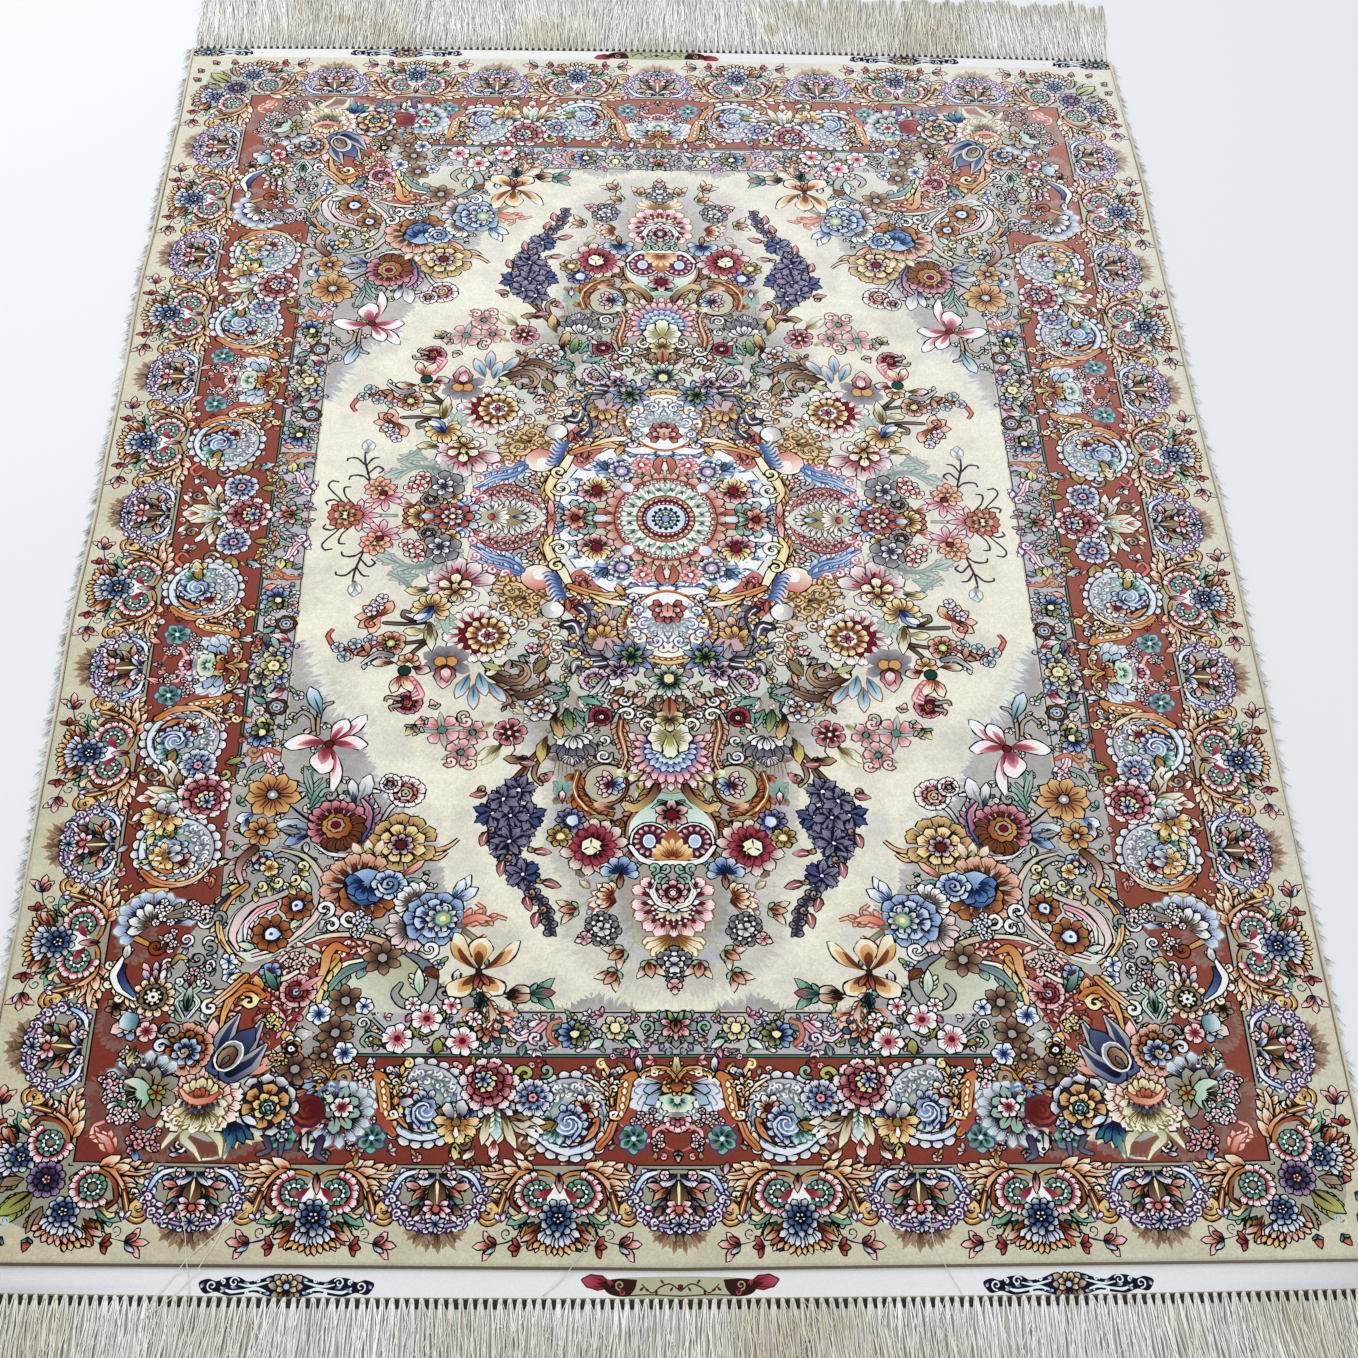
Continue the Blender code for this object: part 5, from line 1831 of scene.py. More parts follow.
# %% Flowers in the khaki ring
whorl(62, 36, 9, 5, 17, 9, "crimson", "blush", turn=-90, span=240, belly=0.72)
whorl(61, 37, 7, 2, 13, 7, "amber", "straw", turn=95, span=170)
disc(61, 35, 4.4, "crimson", edge="ink", lobes=6)
dots(63, 46, 9, 4, 7, 1.6, "ivory", 0, 180)
whorl(39, 58, 12, 5, 12, 5, "steel", "white", edge="plum")
disc(39, 58, 5.6, "lilac", edge="purple", lobes=8)
disc(39, 58, 2, "ivory")
whorl(21, 66, 10, 3, 9, 4.6, "coral", "blush", edge="rose")
disc(21, 66, 2.4, "white", edge="crimson")
disc(34, 38, 6, "white", tip="sky", edge="rose")
leaf(52, 60, 60, 14, 8, "deep", "sea", teeth=2)
for x, y, a in ((52, 66, 20), (66, 58, 10), (74, 48, -20), (8, 76, 80), (30, 74, 50)):
    petal(x, y, a, 17, 5, "blue", "ice", bend=0.3, edge=None)
tally("flowers in the khaki ring")

# %% [markdown]
# ## Medallion: terracotta wedges
#
# Brick-red wedges fill the corners between ring and frame. Each is one smooth area with a few
# leaves on top.

# %% Terracotta wedges
area([(48, 96), (60, 80), (74, 62), (84, 70), (84, 84), (92, 100), (80, 112), (66, 104), (56, 112),
      (50, 106)], "terra", "coral", (50, 100), (90, 80), edge="wine")
for x, y, a in ((74, 72, 110), (76, 94, 60), (62, 96, 150), (86, 94, 100)):
    leaf(x, y, a, 14, 9, "wine", "coral", teeth=2, rib="pink")
area([(96, -20), (114, -20), (112, 10), (116, 30), (108, 36), (103, 20), (98, 10)], "terra", "coral",
     edge="wine")
leaf(101, 2, 90, 20, 9, "coral", "blush", teeth=2, rib="wine")
foliage([(52, 98), (74, 66), (86, 76), (90, 100), (78, 110), (54, 108)], 6.4, 3.4,
        (("wine", "coral"), ("rose", "blush"), ("brick", "peach")), 47, "wine", "wine")
tally("terracotta wedges")

# %% [markdown]
# ## Medallion: the gold and cream frame
#
# Gold and cream ribbons with curls frame the round part.

# %% Gold frame
garland([(117, 0), (116, 20), (111, 36), (104, 50), (95, 66), (86, 82)], 8, "orange", "straw", "umber",
        5, (-1, 1), 50)
garland([(88, 80), (74, 90), (58, 94), (42, 93), (28, 88)], 8, "amber", "ivory", "umber", 5, (-1, 1),
        50)
acanthus([(113, 4), (112, 20), (108, 34), (102, 48), (93, 64), (84, 80)], 11, "orange", "straw", side=1,
         lobes=7, lobe=0.8, rib="rust")
ribbon([(100, 22), (104, 34), (100, 48), (90, 64), (83, 82)], (3, 7, 8, 8, 5), "gold", "ivory",
       rib="straw")
curl(93, 36, 8.6, turn=-30, way=-1, turns=1.15, width=3.6, tone="straw", tip="ivory")
curl(95, 56, 7, turn=-100, way=1, turns=1.1, width=3.4, tone="gold", tip="straw")
acanthus([(84, 80), (72, 86), (58, 90), (46, 90), (38, 84), (28, 82)], 10, "orange", "straw", side=-1,
         lobes=6, lobe=0.9)
ribbon([(34, 86), (22, 84), (10, 88), (-2, 96)], (4, 8, 9, 8), "white", "ivory")
ribbon([(66, 90), (52, 97), (38, 99), (26, 100)], (2, 5, 5, 3), "gold", "white")
leaf(38, 90, -70, 14, 9, "orange", "gold", teeth=2)
curl(30, 92, 6, turn=30, way=1, turns=1.1, width=2.8, tone="sky", tip="white", edge="navy")
tally("gold frame")

# %% [markdown]
# ## Medallion: the side roundel
#
# To the left and right, rings of crimson scales surround a khaki eye.

# %% Side roundel
def side_roundel():
    disc(0, 0, 45, "ash", edge="ink", tip="ivory")
    whorl(0, 0, 36, 37, 45, 5.4, "pink", "white", edge="wine", belly=0.72, plain=True)
    disc(0, 0, 39, "coral", tip="rose", edge="ink")
    for side in (-1, 1):
        for k in range(-4, 5):
            a = side * 90 + 17 * k
            bloom(31.5 * cos(radians(a)), 31.5 * sin(radians(a)), 5.4, "crimson" if k % 2 else "wine",
                  "blush", "wine", 5)
            curl(24 * cos(radians(a)), 24 * sin(radians(a)), 3, a, 1, 1.0, 1.2, "blush", "white",
                 edge=None)
    area([(-45, 0), (-30, -14), (-14, -21), (4, -23), (22, -19), (36, -10), (45, 0), (36, 10), (22, 19),
          (4, 23), (-14, 21), (-30, 14)], "ivory", "mist", (0, -20), (0, 20), edge="ink")
    for i in range(24):
        a = radians(15 * i)
        petal(20 * cos(a), 9 * sin(a), 15 * i, 13 if i % 12 > 2 else 17, 4.6,
              "slate" if i % 2 else "stone", "white", edge="ink", plain=True)
    area([(-26, 0), (-12, -9), (6, -11), (22, -6), (30, 0), (22, 6), (6, 11), (-12, 9)], "olive",
         "khaki", (-20, 0), (20, 0), edge="ink")
    whorl(14, 0, 9, 2, 19, 4.2, "sand", "white", turn=180, span=150, edge="brown")
    petal(-6, 0, 180, 17, 7, "steel", "ice", edge="ink")
    disc(16, 0, 3.6, "crimson", tip="coral", edge="ink")
unit(side_roundel, 141, 0, wide=0.8)
tally("side roundel")

# %% [markdown]
# ## Medallion: the dark bulb
#
# A dark bulb on a grey scroll closes the gap under the wedge.

# %% Dark bulb
disc(115, 32, 4, "slate", edge="ink")
ribbon([(115, 36), (122, 42), (124, 50), (118, 54)], (3, 4, 4, 2), "ash", "ivory")
bloom(117, 46, 5, "coral", "blush", "wine")
tally("dark bulb")

# %% [markdown]
# ## Medallion: gold scrolls on a peach ground
#
# Outside the frame, gold curls and leaves are packed tightly on a peach ground. They are
# scattered by a seeded draw, as placing some forty of them by hand would add nothing.

# %% Gold scrolls on peach
area([(108, 58), (126, 58), (146, 62), (150, 80), (144, 94), (132, 112), (108, 122), (94, 112),
      (90, 96), (96, 78)], "peach", "sand", (100, 60), (140, 110), edge="ink")
foliage([(104, 62), (146, 66), (140, 98), (110, 118), (94, 100)], 7.4, 3.8,
        (("gold", "ivory"), ("amber", "straw"), ("tan", "ivory"), ("coral", "blush")), 51, "brown",
        "olive")
for x, y, r, a, w in ((132, 86, 12, 90, 1), (121, 104, 9, 0, -1), (142, 72, 8, -60, 1),
                      (112, 94, 7, 180, 1), (136, 104, 7, 30, -1)):
    curl(x, y, r, turn=a, way=w, turns=1.35, width=r * 0.3, tone="olive", tip="gold", edge="brown")
    for k in range(4):
        leaf(x + r * 0.8 * cos(radians(a + 90 * k)), y + r * 0.8 * sin(radians(a + 90 * k)), a + 90 * k,
             8, 6, "amber", "straw", teeth=1, edge="brown")
disc(112, 70, 14, "coral", tip="ivory", edge="ink", turn=-70)
disc(110, 67, 6.4, "blush", edge=None, tip="white")
curl(126, 44, 9, turn=120, way=-1, turns=1.0, width=4, tone="white", tip="ash")
disc(98, 107, 9.6, "white", tip="ash", edge="ink")
disc(95, 104, 5, "ivory", edge=None)
for i in range(7):
    ribbon([(88 + i * 1.5, 92 - 4 * i), (94 + i * 1.5, 92 - 4.4 * i), (98 + i * 1.5, 98 - 5 * i)],
           (3.4, 3, 1.4), "cobalt", "white", edge="deep")
tally("gold scrolls on peach")

# %% [markdown]
# ## Medallion: blue acanthus
#
# A blue acanthus with pink curls along its edge leads out from the frame.

# %% Blue acanthus
for points, w in (([(126, 62), (138, 52), (152, 48), (162, 40), (170, 36)], 11),
                  ([(128, 66), (142, 60), (156, 56), (166, 50)], 8)):
    acanthus(points, w, "blue", "ice", side=-1, lobes=6, rib="cobalt", edge="deep")
for x, y in ((158, 58), (166, 46), (150, 62), (170, 28), (140, 66), (162, 22)):
    curl(x, y, 4.4, turn=x * 9 % 360, way=1, turns=1.0, width=2.2, tone="pink", tip="white",
         edge="rose")
tally("blue acanthus")

# %% [markdown]
# ## Medallion: scrolls at the foot
#
# The same gold scrolls run on below, in larger turns, so these few are placed one by one.

# %% Scrolls at the foot
for x, y, r, a, w in ((96, 128, 8, 200, 1), (94, 144, 9, 20, -1), (104, 134, 6, 100, 1),
                      (96, 158, 7, 200, -1), (124, 122, 6, 40, 1), (140, 106, 6, 250, 1)):
    curl(x, y, r, turn=a, way=w, turns=1.25, width=r * 0.34, tone="sand", tip="ivory", edge="brown")
    leaf(x + r, y, a + 60, 9, 7, "amber", "peach", teeth=1, edge="brown")
tally("scrolls at the foot")

# %% [markdown]
# ## Medallion: the dark acanthus
#
# Dark violet acanthus with white ribs carries small golden flowers. Behind it opens a grey and
# pink palmette.

# %% Grey palmette and dark acanthus
area([(44, 100), (58, 106), (78, 122), (84, 146), (82, 172), (62, 180), (42, 168), (34, 140),
      (36, 118)], "pink", "ash", (40, 110), (80, 170), edge="wine")
whorl(54, 130, 9, 10, 29, 9, "slate", "ash", turn=-150, span=230, belly=0.72, rib="purple")
whorl(58, 134, 7, 4, 21, 9, "crimson", "straw", turn=-40, span=180, belly=0.7)
whorl(57, 140, 6, 4, 17, 6, "amber", "gold", turn=-70, span=150)
for points, side in (([(76, 104), (70, 110), (72, 124), (76, 138), (70, 152), (56, 158)], 1),
                     ([(88, 124), (80, 122), (76, 132), (78, 144)], -1),
                     ([(56, 160), (70, 160), (80, 152), (88, 148)], -1),
                     ([(52, 164), (66, 166), (78, 164), (80, 174)], 1)):
    acanthus(points, 13, "plum", "ash", side=side, lobes=5, rib="white")
for x, y in ((58, 104), (73, 116), (80, 138), (78, 154), (68, 164), (58, 174)):
    bloom(x, y, 4.6, "amber", "straw", "rust", 4)
peony(62, 182, 13, "blush", "lilac", "rose", "blush", "mint", turn=90, petals=8)
tally("grey palmette and dark acanthus")

# %% [markdown]
# ## Medallion: the white lunette
#
# Above and below the round part a white half-moon holds a red palmette.

# %% White lunette
whorl(8, 168, 6, 2, 15, 9, "ash", "slate", turn=40)
disc(0, 125, 43, "rust", ry=37, edge="ink")
disc(0, 124, 41, "orange", ry=35, tip="gold", edge=None, turn=90)
for i in range(26):
    a = radians(7.2 * i)
    petal(37 * sin(a), 124 + 31 * cos(a), 90 - 7.2 * i, 6, 6, "rust", "straw", edge="umber", plain=True)
disc(0, 122, 36, "white", ry=30, tip="ivory", edge="rust", turn=90)
foliage([(0, 98), (28, 100), (34, 122), (26, 146), (0, 154)], 8, 3.6,
        (("ash", "white"), ("steel", "white"), ("sand", "white"), ("sky", "ice")), 49, "slate", "stone")
for i in range(5):
    a = radians(9 + 22 * i)
    curl(31 * sin(a), 122 + 26 * cos(a), 6, turn=-30 - 22 * i, way=-1, turns=1.1, width=3.4,
         tone="amber", tip="ivory", edge="brown")
for x, y, a, w, r in ((20, 122, 200, 1, 7), (24, 106, 90, -1, 5), (10, 140, 20, 1, 6),
                      (28, 132, 0, -1, 5), (0, 132, 90, 1, 4)):
    curl(x, y, r, turn=a, way=w, turns=1.1, width=2.4, tone="steel", tip="white", edge="deep")
for a in (20, 50, 80, 110):
    leaf(4, 116, a, 18, 8, "steel", "ice", teeth=2, rib="sea", edge="slate")
whorl(0, 106, 9, 3, 15, 7, "crimson", "coral", turn=90, span=260, belly=0.7)
whorl(0, 104, 5, 1, 12, 5, "wine", "blush", turn=90, span=150)
petal(0, 98, 90, 15, 9, "terra", "peach", belly=0.55, rib="wine")
tally("white lunette")

# %% [markdown]
# ## Medallion: star and daisies at the foot
#
# Blue stars, a lilac leaf and a pale daisy finish the foot of the medallion. They overlap the
# lunette's frame and therefore come after it.

# %% Blue star and daisies
for x, y, a in ((8, 196, 80), (24, 196, 60), (38, 190, 50), (18, 208, 100)):
    leaf(x, y, a, 20, 13, "brown", "tan", teeth=2, rib="rust")
for i in range(4):
    ribbon([(44 + 3 * i, 180), (48 + 4 * i, 192), (54 + 5 * i, 202)], (3, 4, 1), "slate", "white")
whorl(31, 157, 8, 3, 20, 8, "navy", "sky", turn=12, belly=0.5)
whorl(31, 157, 6, 1, 10, 5, "green", "lime", turn=30, belly=0.5)
petal(36, 168, 60, 22, 13, "lilac", "white", rib="purple")
whorl(42, 172, 6, 2, 12, 6, "purple", "blush", turn=60)
whorl(0, 182, 11, 3, 17, 6, "green", "ivory", turn=90)
disc(0, 180, 5, "lime", tip="straw", edge="green", lobes=6)
leaf(0, 200, 90, 24, 18, "rust", "tan", teeth=3, rib="wine")
leaf(20, 200, 40, 16, 13, "tan", "blush", teeth=2, rib="brown")
tally("blue star and daisies")

# %% [markdown]
# ## Pendant: tendrils
#
# Between medallion and pendant the grey ground carries small brown and green tendrils.

# %% Tendrils of the pendant
foliage([(4, 200), (70, 196), (78, 240), (72, 290), (60, 320), (34, 330), (26, 372), (2, 300)], 9, 3.8,
        (("tan", "ivory"), ("olive", "straw"), ("ash", "white"), ("coral", "peach"), ("sea", "mint")),
        53, "umber", "sea")
foliage([(70, 196), (120, 196), (120, 236), (96, 262), (90, 310), (84, 350), (74, 400), (60, 440),
         (40, 400), (60, 330)], 12, 4, (("tan", "ivory"), ("ash", "white"), ("steel", "ice"),
                                        ("umber", "tan")), 55, "taupe", "sea")
for points in ([(0, 236), (10, 224), (16, 214), (28, 208), (34, 200), (46, 196), (56, 194)],
               [(4, 232), (16, 218), (30, 212)]):
    stem(points, 1.8, "umber")
    garland(points, 7, "sand", "white", "umber", 4.6, (1,), 60)
curl(37, 203, 6, turn=200, way=-1, turns=1.1, width=2.4, tone="ash", tip="white")
curl(17, 227, 7, turn=60, way=-1, turns=1.1, width=2.8, tone="sand", tip="ivory")
whorl(0, 222, 7, 1, 13, 7, "olive", "straw", turn=90, span=240)
tally("tendrils of the pendant")

# %% [markdown]
# ## Pendant: the fan
#
# Five rings of scales, from pink outside to blue and white inside, open downward from a cream
# cup.

# %% Pink and blue fan
whorl(0, 256, 17, 18, 39, 8, "crimson", "white", turn=90, span=236, edge="wine", belly=0.76, cleft=0.12)
whorl(0, 255, 17, 14, 31, 6.4, "rose", "blush", turn=90, span=240, edge="wine", belly=0.7)
whorl(0, 254, 17, 12, 26, 5.4, "navy", "lilac", turn=90, span=240, edge=None, belly=0.72)
whorl(0, 253, 15, 8, 22, 5.4, "cobalt", "ice", turn=90, span=240, edge="navy", belly=0.72)
whorl(0, 252, 13, 6, 15, 4.4, "teal", "white", turn=90, span=230, edge=None)
whorl(0, 240, 7, 3, 19, 12, "khaki", "ivory", turn=90, span=250, belly=0.7)
petal(0, 236, 90, 24, 11, "lime", "ivory", belly=0.6)
tally("pink and blue fan")

# %% [markdown]
# ## Pendant: the hooked stem
#
# An orange stem with short feathers hooks down from the fan. Lobes on both sides of a thin ribbon
# make the feathers.

# %% Hooked stem
curl(35, 218, 8, turn=30, way=-1, turns=1.1, width=3, tone="ash", tip="ivory")
ribbon([(43, 218), (46, 230), (42, 244), (36, 256), (38, 268), (44, 278)], (3, 4, 4, 3, 4, 3), "ash",
       "ivory")
acanthus([(40, 224), (41, 236), (38, 248), (36, 262), (40, 274)], 6, "rust", "peach", side=0, lobes=9,
         lobe=1.3, edge="umber", rib="straw")
curl(54, 244, 5, turn=90, way=1, turns=1.0, width=2.2, tone="ash", tip="white")
curl(54, 260, 7, turn=200, way=-1, turns=1.4, width=2.2, tone="ash", tip="white")
tally("hooked stem")

# %% [markdown]
# ## Pendant: the ring
#
# A rust-brown ring holds a carnation that is blue on its left and pink on its right.

# %% Ring with a carnation
disc(54, 288, 21, "ink", ry=22, edge=None)
disc(54, 288, 19.6, "rust", ry=20.6, tip="tan", edge=None)
disc(53, 287, 16.6, "sand", ry=18, tip="khaki", edge="ink")
acanthus([(75, 276), (78, 292), (72, 306), (60, 316), (46, 320)], 7, "rust", "orange", side=0, lobes=10,
         lobe=1.5, edge="umber", rib="straw")
for a in (-60, -30, 0, 30, 60):
    petal(46, 288, a, 16, 6, "rose", "blush")
for a in (180, 215, 145, 110):
    petal(48, 288, a, 11, 6, "cobalt", "ice")
whorl(50, 288, 6, 1, 8, 4, "crimson", "white", turn=0, span=180)
stem([(20, 274), (28, 284), (42, 294)], 2, "umber")
for x, y, a in ((24, 278, 20), (28, 290, 110), (34, 280, -30)):
    petal(x, y, a, 12, 7, "lime", "ivory", edge=None)
tally("ring with a carnation")

# %% [markdown]
# ## Pendant: the brown and gold scroll
#
# A heavy scroll in brown and gold leads down to the eyes. It is the acanthus rule again, wide and
# with few lobes.

# %% Brown and gold scroll
acanthus([(12, 290), (16, 302), (26, 314), (33, 326), (34, 342), (30, 354)], 13, "rust", "tan", side=-1,
         lobes=8, rib="umber")
ribbon([(12, 288), (16, 300), (28, 310), (38, 306), (36, 312)], (3, 6, 7, 4, 2), "brown", "gold")
for x, y, a in ((44, 312, -20), (44, 322, 10), (40, 334, 20), (40, 346, 40), (52, 322, -10)):
    petal(x, y, a, 20, 8, "rust", "peach", edge=None, bend=0.1)
curl(42, 324, 5, turn=0, way=1, turns=1.0, width=2.2, tone="umber", tip="rust")
tally("brown and gold scroll")

# %% [markdown]
# ## Pendant: palmette on mint ground
#
# A small crimson palmette hangs between the two rings, on a mint-green patch with a soft rim.

# %% Small palmette
area([(-4, 298), (8, 296), (16, 306), (28, 316), (34, 330), (32, 346), (20, 356), (-4, 358)], "mint",
     "white", (0, 300), (30, 350), edge="ink")
for a in (20, 50, 80, 130, 160):
    leaf(2, 304, a, 15, 8, "sea", "mint", teeth=1, edge="ink")
whorl(0, 316, 6, 2, 14, 9, "wine", "blush", turn=90)
disc(0, 316, 4.4, "crimson", edge="ink")
tally("small palmette")

# %% [markdown]
# ## Pendant: the two crimson eyes
#
# Two round crimson flowers with blue hearts lie side by side over an amber leaf. The mirror
# supplies the second.

# %% Two crimson eyes
disc(17, 341, 16.4, "white", ry=17, edge="ink")
disc(17, 341, 13.8, "crimson", ry=14.6, edge="ink")
for i in range(14):
    petal(17 + 7 * cos(radians(26 * i)), 341 + 7.6 * sin(radians(26 * i)), 26 * i, 6, 3, "plum",
          "white", edge=None)
disc(18, 341, 7, "navy", ry=8, edge="wine")
disc(18, 341, 4, "sky", ry=5, edge="white")
area([(-8, 326), (4, 332), (10, 346), (16, 356), (0, 360), (-12, 356)], "amber", "rust", (0, 352),
     (0, 330), edge="wine")
whorl(0, 358, 7, 2, 20, 6, "orange", "straw", turn=-90, span=120, edge=None)
ribbon([(-2, 360), (10, 362), (24, 358), (33, 346)], (3, 4, 4, 3), "ivory", "white")
tally("two crimson eyes")

# %% [markdown]
# ## Pendant: flowers at its side
#
# Carnations and daisies stand along the side of the pendant, in front of its grey ground.

# %% Side flowers
petal(66, 318, 150, 20, 13, "khaki", "olive", belly=0.55)
whorl(62, 346, 13, 6, 27, 11, "crimson", "ivory", turn=20, belly=0.66, cleft=0.1)
whorl(62, 346, 12, 5, 19, 7, "wine", "rose", turn=6, edge="crimson", belly=0.6)
disc(64, 346, 8, "straw", tip="ivory", edge="ink", lobes=6)
for a in (30, 150, 270):
    petal(64, 346, a, 7, 2, "ink", edge=None)
whorl(80, 322, 10, 4, 12, 5, "navy", "lilac")
disc(79, 322, 4.6, "sky", tip="white", edge="cobalt")
whorl(89, 337, 7, 2, 10, 6, "rust", "lime", turn=20)
disc(88, 337, 3, "straw", edge="olive")
leaf(87, 306, -92, 26, 13, "sea", "mint", teeth=3, edge="slate")
petal(87, 306, -90, 12, 5, "rose", "white")
tally("side flowers")

# %% [markdown]
# ## Pendant: the ruffled palmette
#
# Under the eyes hang a blue trefoil, a rust fan and a wide ruffled palmette in crimson and ivory.

# %% Ruffled palmette
for a, tone in ((180, "ice"), (215, "sky"), (-70, "ice"), (-25, "white"), (-110, "sky"), (0, "ice")):
    petal(42, 370, a, 16, 9, "cobalt", tone, belly=0.72, cleft=0.1)
petal(40, 368, 80, 18, 5, "wine", "tan")
for a in (50, 70, 90, 110, 130):
    petal(44, 396, a - 100, 21, 8, "rust", "white", bend=0.05, edge="rust")
whorl(46, 392, 6, 3, 14, 6, "orange", "ivory", turn=-20, span=130)
for i, (x, y) in enumerate(((6, 366), (15, 366), (10, 376), (4, 380))):
    curl(x, y, 5, turn=90 * i, way=1, turns=1.0, width=2.4, tone="slate", tip="mint")
whorl(0, 396, 13, 14, 33, 10, "rose", "white", turn=90, span=260, edge="rust", belly=0.76, cleft=0.1)
whorl(0, 396, 13, 12, 26, 5, "wine", "crimson", turn=90, span=260, edge=None, belly=0.6)
whorl(0, 424, 11, 2, 24, 7, "amber", "ivory", turn=90, span=150, edge="olive", belly=0.8)
disc(0, 402, 18, "wine", ry=15, edge=None)
dots(0, 402, 16, 13, 20, 1.2, "white")
whorl(0, 398, 9, 3, 16, 5, "olive", "ivory", turn=90, span=170, edge=None)
petal(0, 392, 90, 13, 9, "cobalt", "ice", belly=0.7)
for s in (-1, 1):
    acanthus([(3 * s, 400), (12 * s, 396), (16 * s, 386), (13 * s, 378)], 8, "ivory", "white", side=s,
             lobes=4, rib="crimson")
whorl(0, 388, 8, 3, 11, 6, "rose", "blush")
rosette(0, 388, 6.4, "crimson", "pink", "white", "crimson", 6)
tally("ruffled palmette")

# %% [markdown]
# ## Pendant: dark clusters with pink tips
#
# Dark plum clusters with pink tips hang to the left and right. They are whorls of dark petals
# with a few pink ones on the outside.

# %% Dark clusters
for cx, cy, tip in ((0, 450, (0, 468)), (55, 420, (68, 428))):
    for i in range(7):
        a = 51 * i + 20
        bloom(cx + 8 * cos(radians(a)), cy + 9 * sin(radians(a)), 6.4, "plum", "ash", "white", 5,
              turn=a)
    bloom(cx, cy, 6.4, "slate", "white", "plum", 5)
    bloom(tip[0], tip[1], 5.4, "rose", "blush", "white", 5)
    petal(tip[0], tip[1], 90 if cx == 0 else 20, 8, 4, "rose", "white")
for x, y, a in ((20, 447, 100), (38, 438, 35), (44, 456, 55), (74, 402, 10)):
    stem([(30, 412), (30, 430), (x - 2, y - 6)] if x < 60 else [(56, 394), (66, 396), (74, 402)], 1.4,
         "khaki")
    tulip(x, y, 17, a, "rust", "ivory", "peach", "khaki", 0.25)
tally("dark clusters")

# %% [markdown]
# ## Field: the violet panicle
#
# Beside the pendant hangs a dark violet cluster of ragged stars, on a stem with pink buds.

# %% Violet panicle
for points in ([(100, 250), (112, 262), (118, 278), (124, 296)],
               [(98, 254), (108, 268), (110, 280), (104, 288)], [(118, 272), (126, 284), (130, 300)]):
    ribbon(points, (2.4, 3.2, 2), "brown", "tan")
for x, y, r, tone in ((117, 372, 15, "violet"), (130, 352, 12, "iris"), (121, 334, 14, "iris"),
                      (137, 338, 13, "violet"), (114, 318, 14, "violet"), (142, 316, 15, "violet"),
                      (128, 318, 14, "iris"), (122, 293, 14, "iris"), (134, 302, 13, "iris"),
                      (128, 342, 14, "iris")):
    for k in range(6):
        leaf(x, y, 60 * k + x * 7, r * 1.04, r * 0.78, tone, "deep" if tone == "violet"
             and k in (1, 2) else "dusk", teeth=3, rib="night", edge="night")
    disc(x, y, 1.5, "white", edge="night")
garland([(114, 382), (106, 392), (99, 402), (96, 412), (94, 424)], 6, "plum", "slate", "night", 3.4,
        (-1, 1), 50)
stem([(114, 382), (106, 392), (99, 402), (96, 412), (94, 426)], 2.6, "plum")
for x, y, a, w in ((106, 284, 200, 1), (148, 296, 30, -1), (146, 334, 60, 1), (108, 352, 200, -1),
                   (132, 360, 60, 1), (101, 380, 190, -1), (113, 392, 80, 1), (104, 406, 60, 1),
                   (122, 266, 160, 1)):
    petal(x, y, a, 13, 7.5, "wine", "pink", bend=0.3 * w, belly=0.45, rib="blush")
    curl(x - 3 * w, y - 3, 3, turn=a, way=w, turns=0.9, width=1.6, tone="brown", tip="tan")
tally("violet panicle")

# %% [markdown]
# ## Field flowers: thistle, rose and brown stems
#
# Loose bunches surround the medallion. They are laid from the pendant outward and upward.

# %% Thistle and brown stems
for x, y, a in ((72, 206, 200), (74, 200, 150), (78, 212, 110), (66, 212, 90), (84, 200, -60),
                (84, 196, 20), (92, 206, 60)):
    leaf(x, y, a, 19, 10, "sea", "mint", teeth=2)
leaf(85, 212, 95, 24, 12, "green", "lime", teeth=2)
for i in range(9):
    stem([(70 + 2.6 * i, 256), (69 + 3 * i, 268), (67 + 3.4 * i, 276 + 5 * (i % 2))], 1.1, "taupe")
whorl(79, 238, 9, 4, 27, 8, "plum", "slate", turn=92, span=90, belly=0.7)
whorl(79, 238, 7, 3, 16, 7, "ash", "white", turn=92, span=150, rib="plum")
whorl(80, 260, 9, 1, 9, 3, "white", "ash", turn=90, span=150, edge="plum")
peony(57, 220, 10, "rose", "crimson", "wine", "crimson", "blush", turn=150, petals=7)
leaf(62, 226, 40, 9, 6, "ivory", "pink", teeth=1)
petal(100, 240, 60, 26, 10, "olive", "gold", bend=0.25)
petal(96, 214, 100, 30, 10, "brown", "gold", bend=0.1)
whorl(107, 211, 7, 3, 14, 9, "umber", "white", turn=20, belly=0.7)
whorl(107, 211, 6, 2, 8, 5, "rust", "ivory", turn=50)
for x, y in ((101, 204), (115, 207), (106, 219)):
    disc(x, y, 2.4, "ice", edge="navy")
leaf(120, 218, -40, 16, 9, "khaki", "ivory", teeth=2, edge="olive")
stem([(128, 248), (126, 254), (130, 260)], 1.6, "purple")
petal(116, 262, 20, 17, 10, "brown", "tan", bend=-0.25)
petal(136, 246, 60, 26, 9, "olive", "ivory", bend=-0.2, edge="khaki")
petal(140, 250, 20, 20, 8, "khaki", "ivory", bend=0.3, edge="olive")
whorl(131, 237, 6, 3, 14, 10, "crimson", "pink", belly=0.7, cleft=0.12, turn=15)
disc(131, 237, 4, "wine", edge="ink", lobes=6)
disc(131, 237, 1.8, "white")
ribbon([(146, 228), (152, 232), (158, 238)], (3, 4, 2), "olive", "ivory", edge="khaki")
tally("thistle and brown stems")

# %% [markdown]
# ## Field flowers: pink sprays
#
# Sprays of five-petalled pink blossoms are the lightest flowers of the field. One tool draws a
# spray, and its place, size and tones vary.

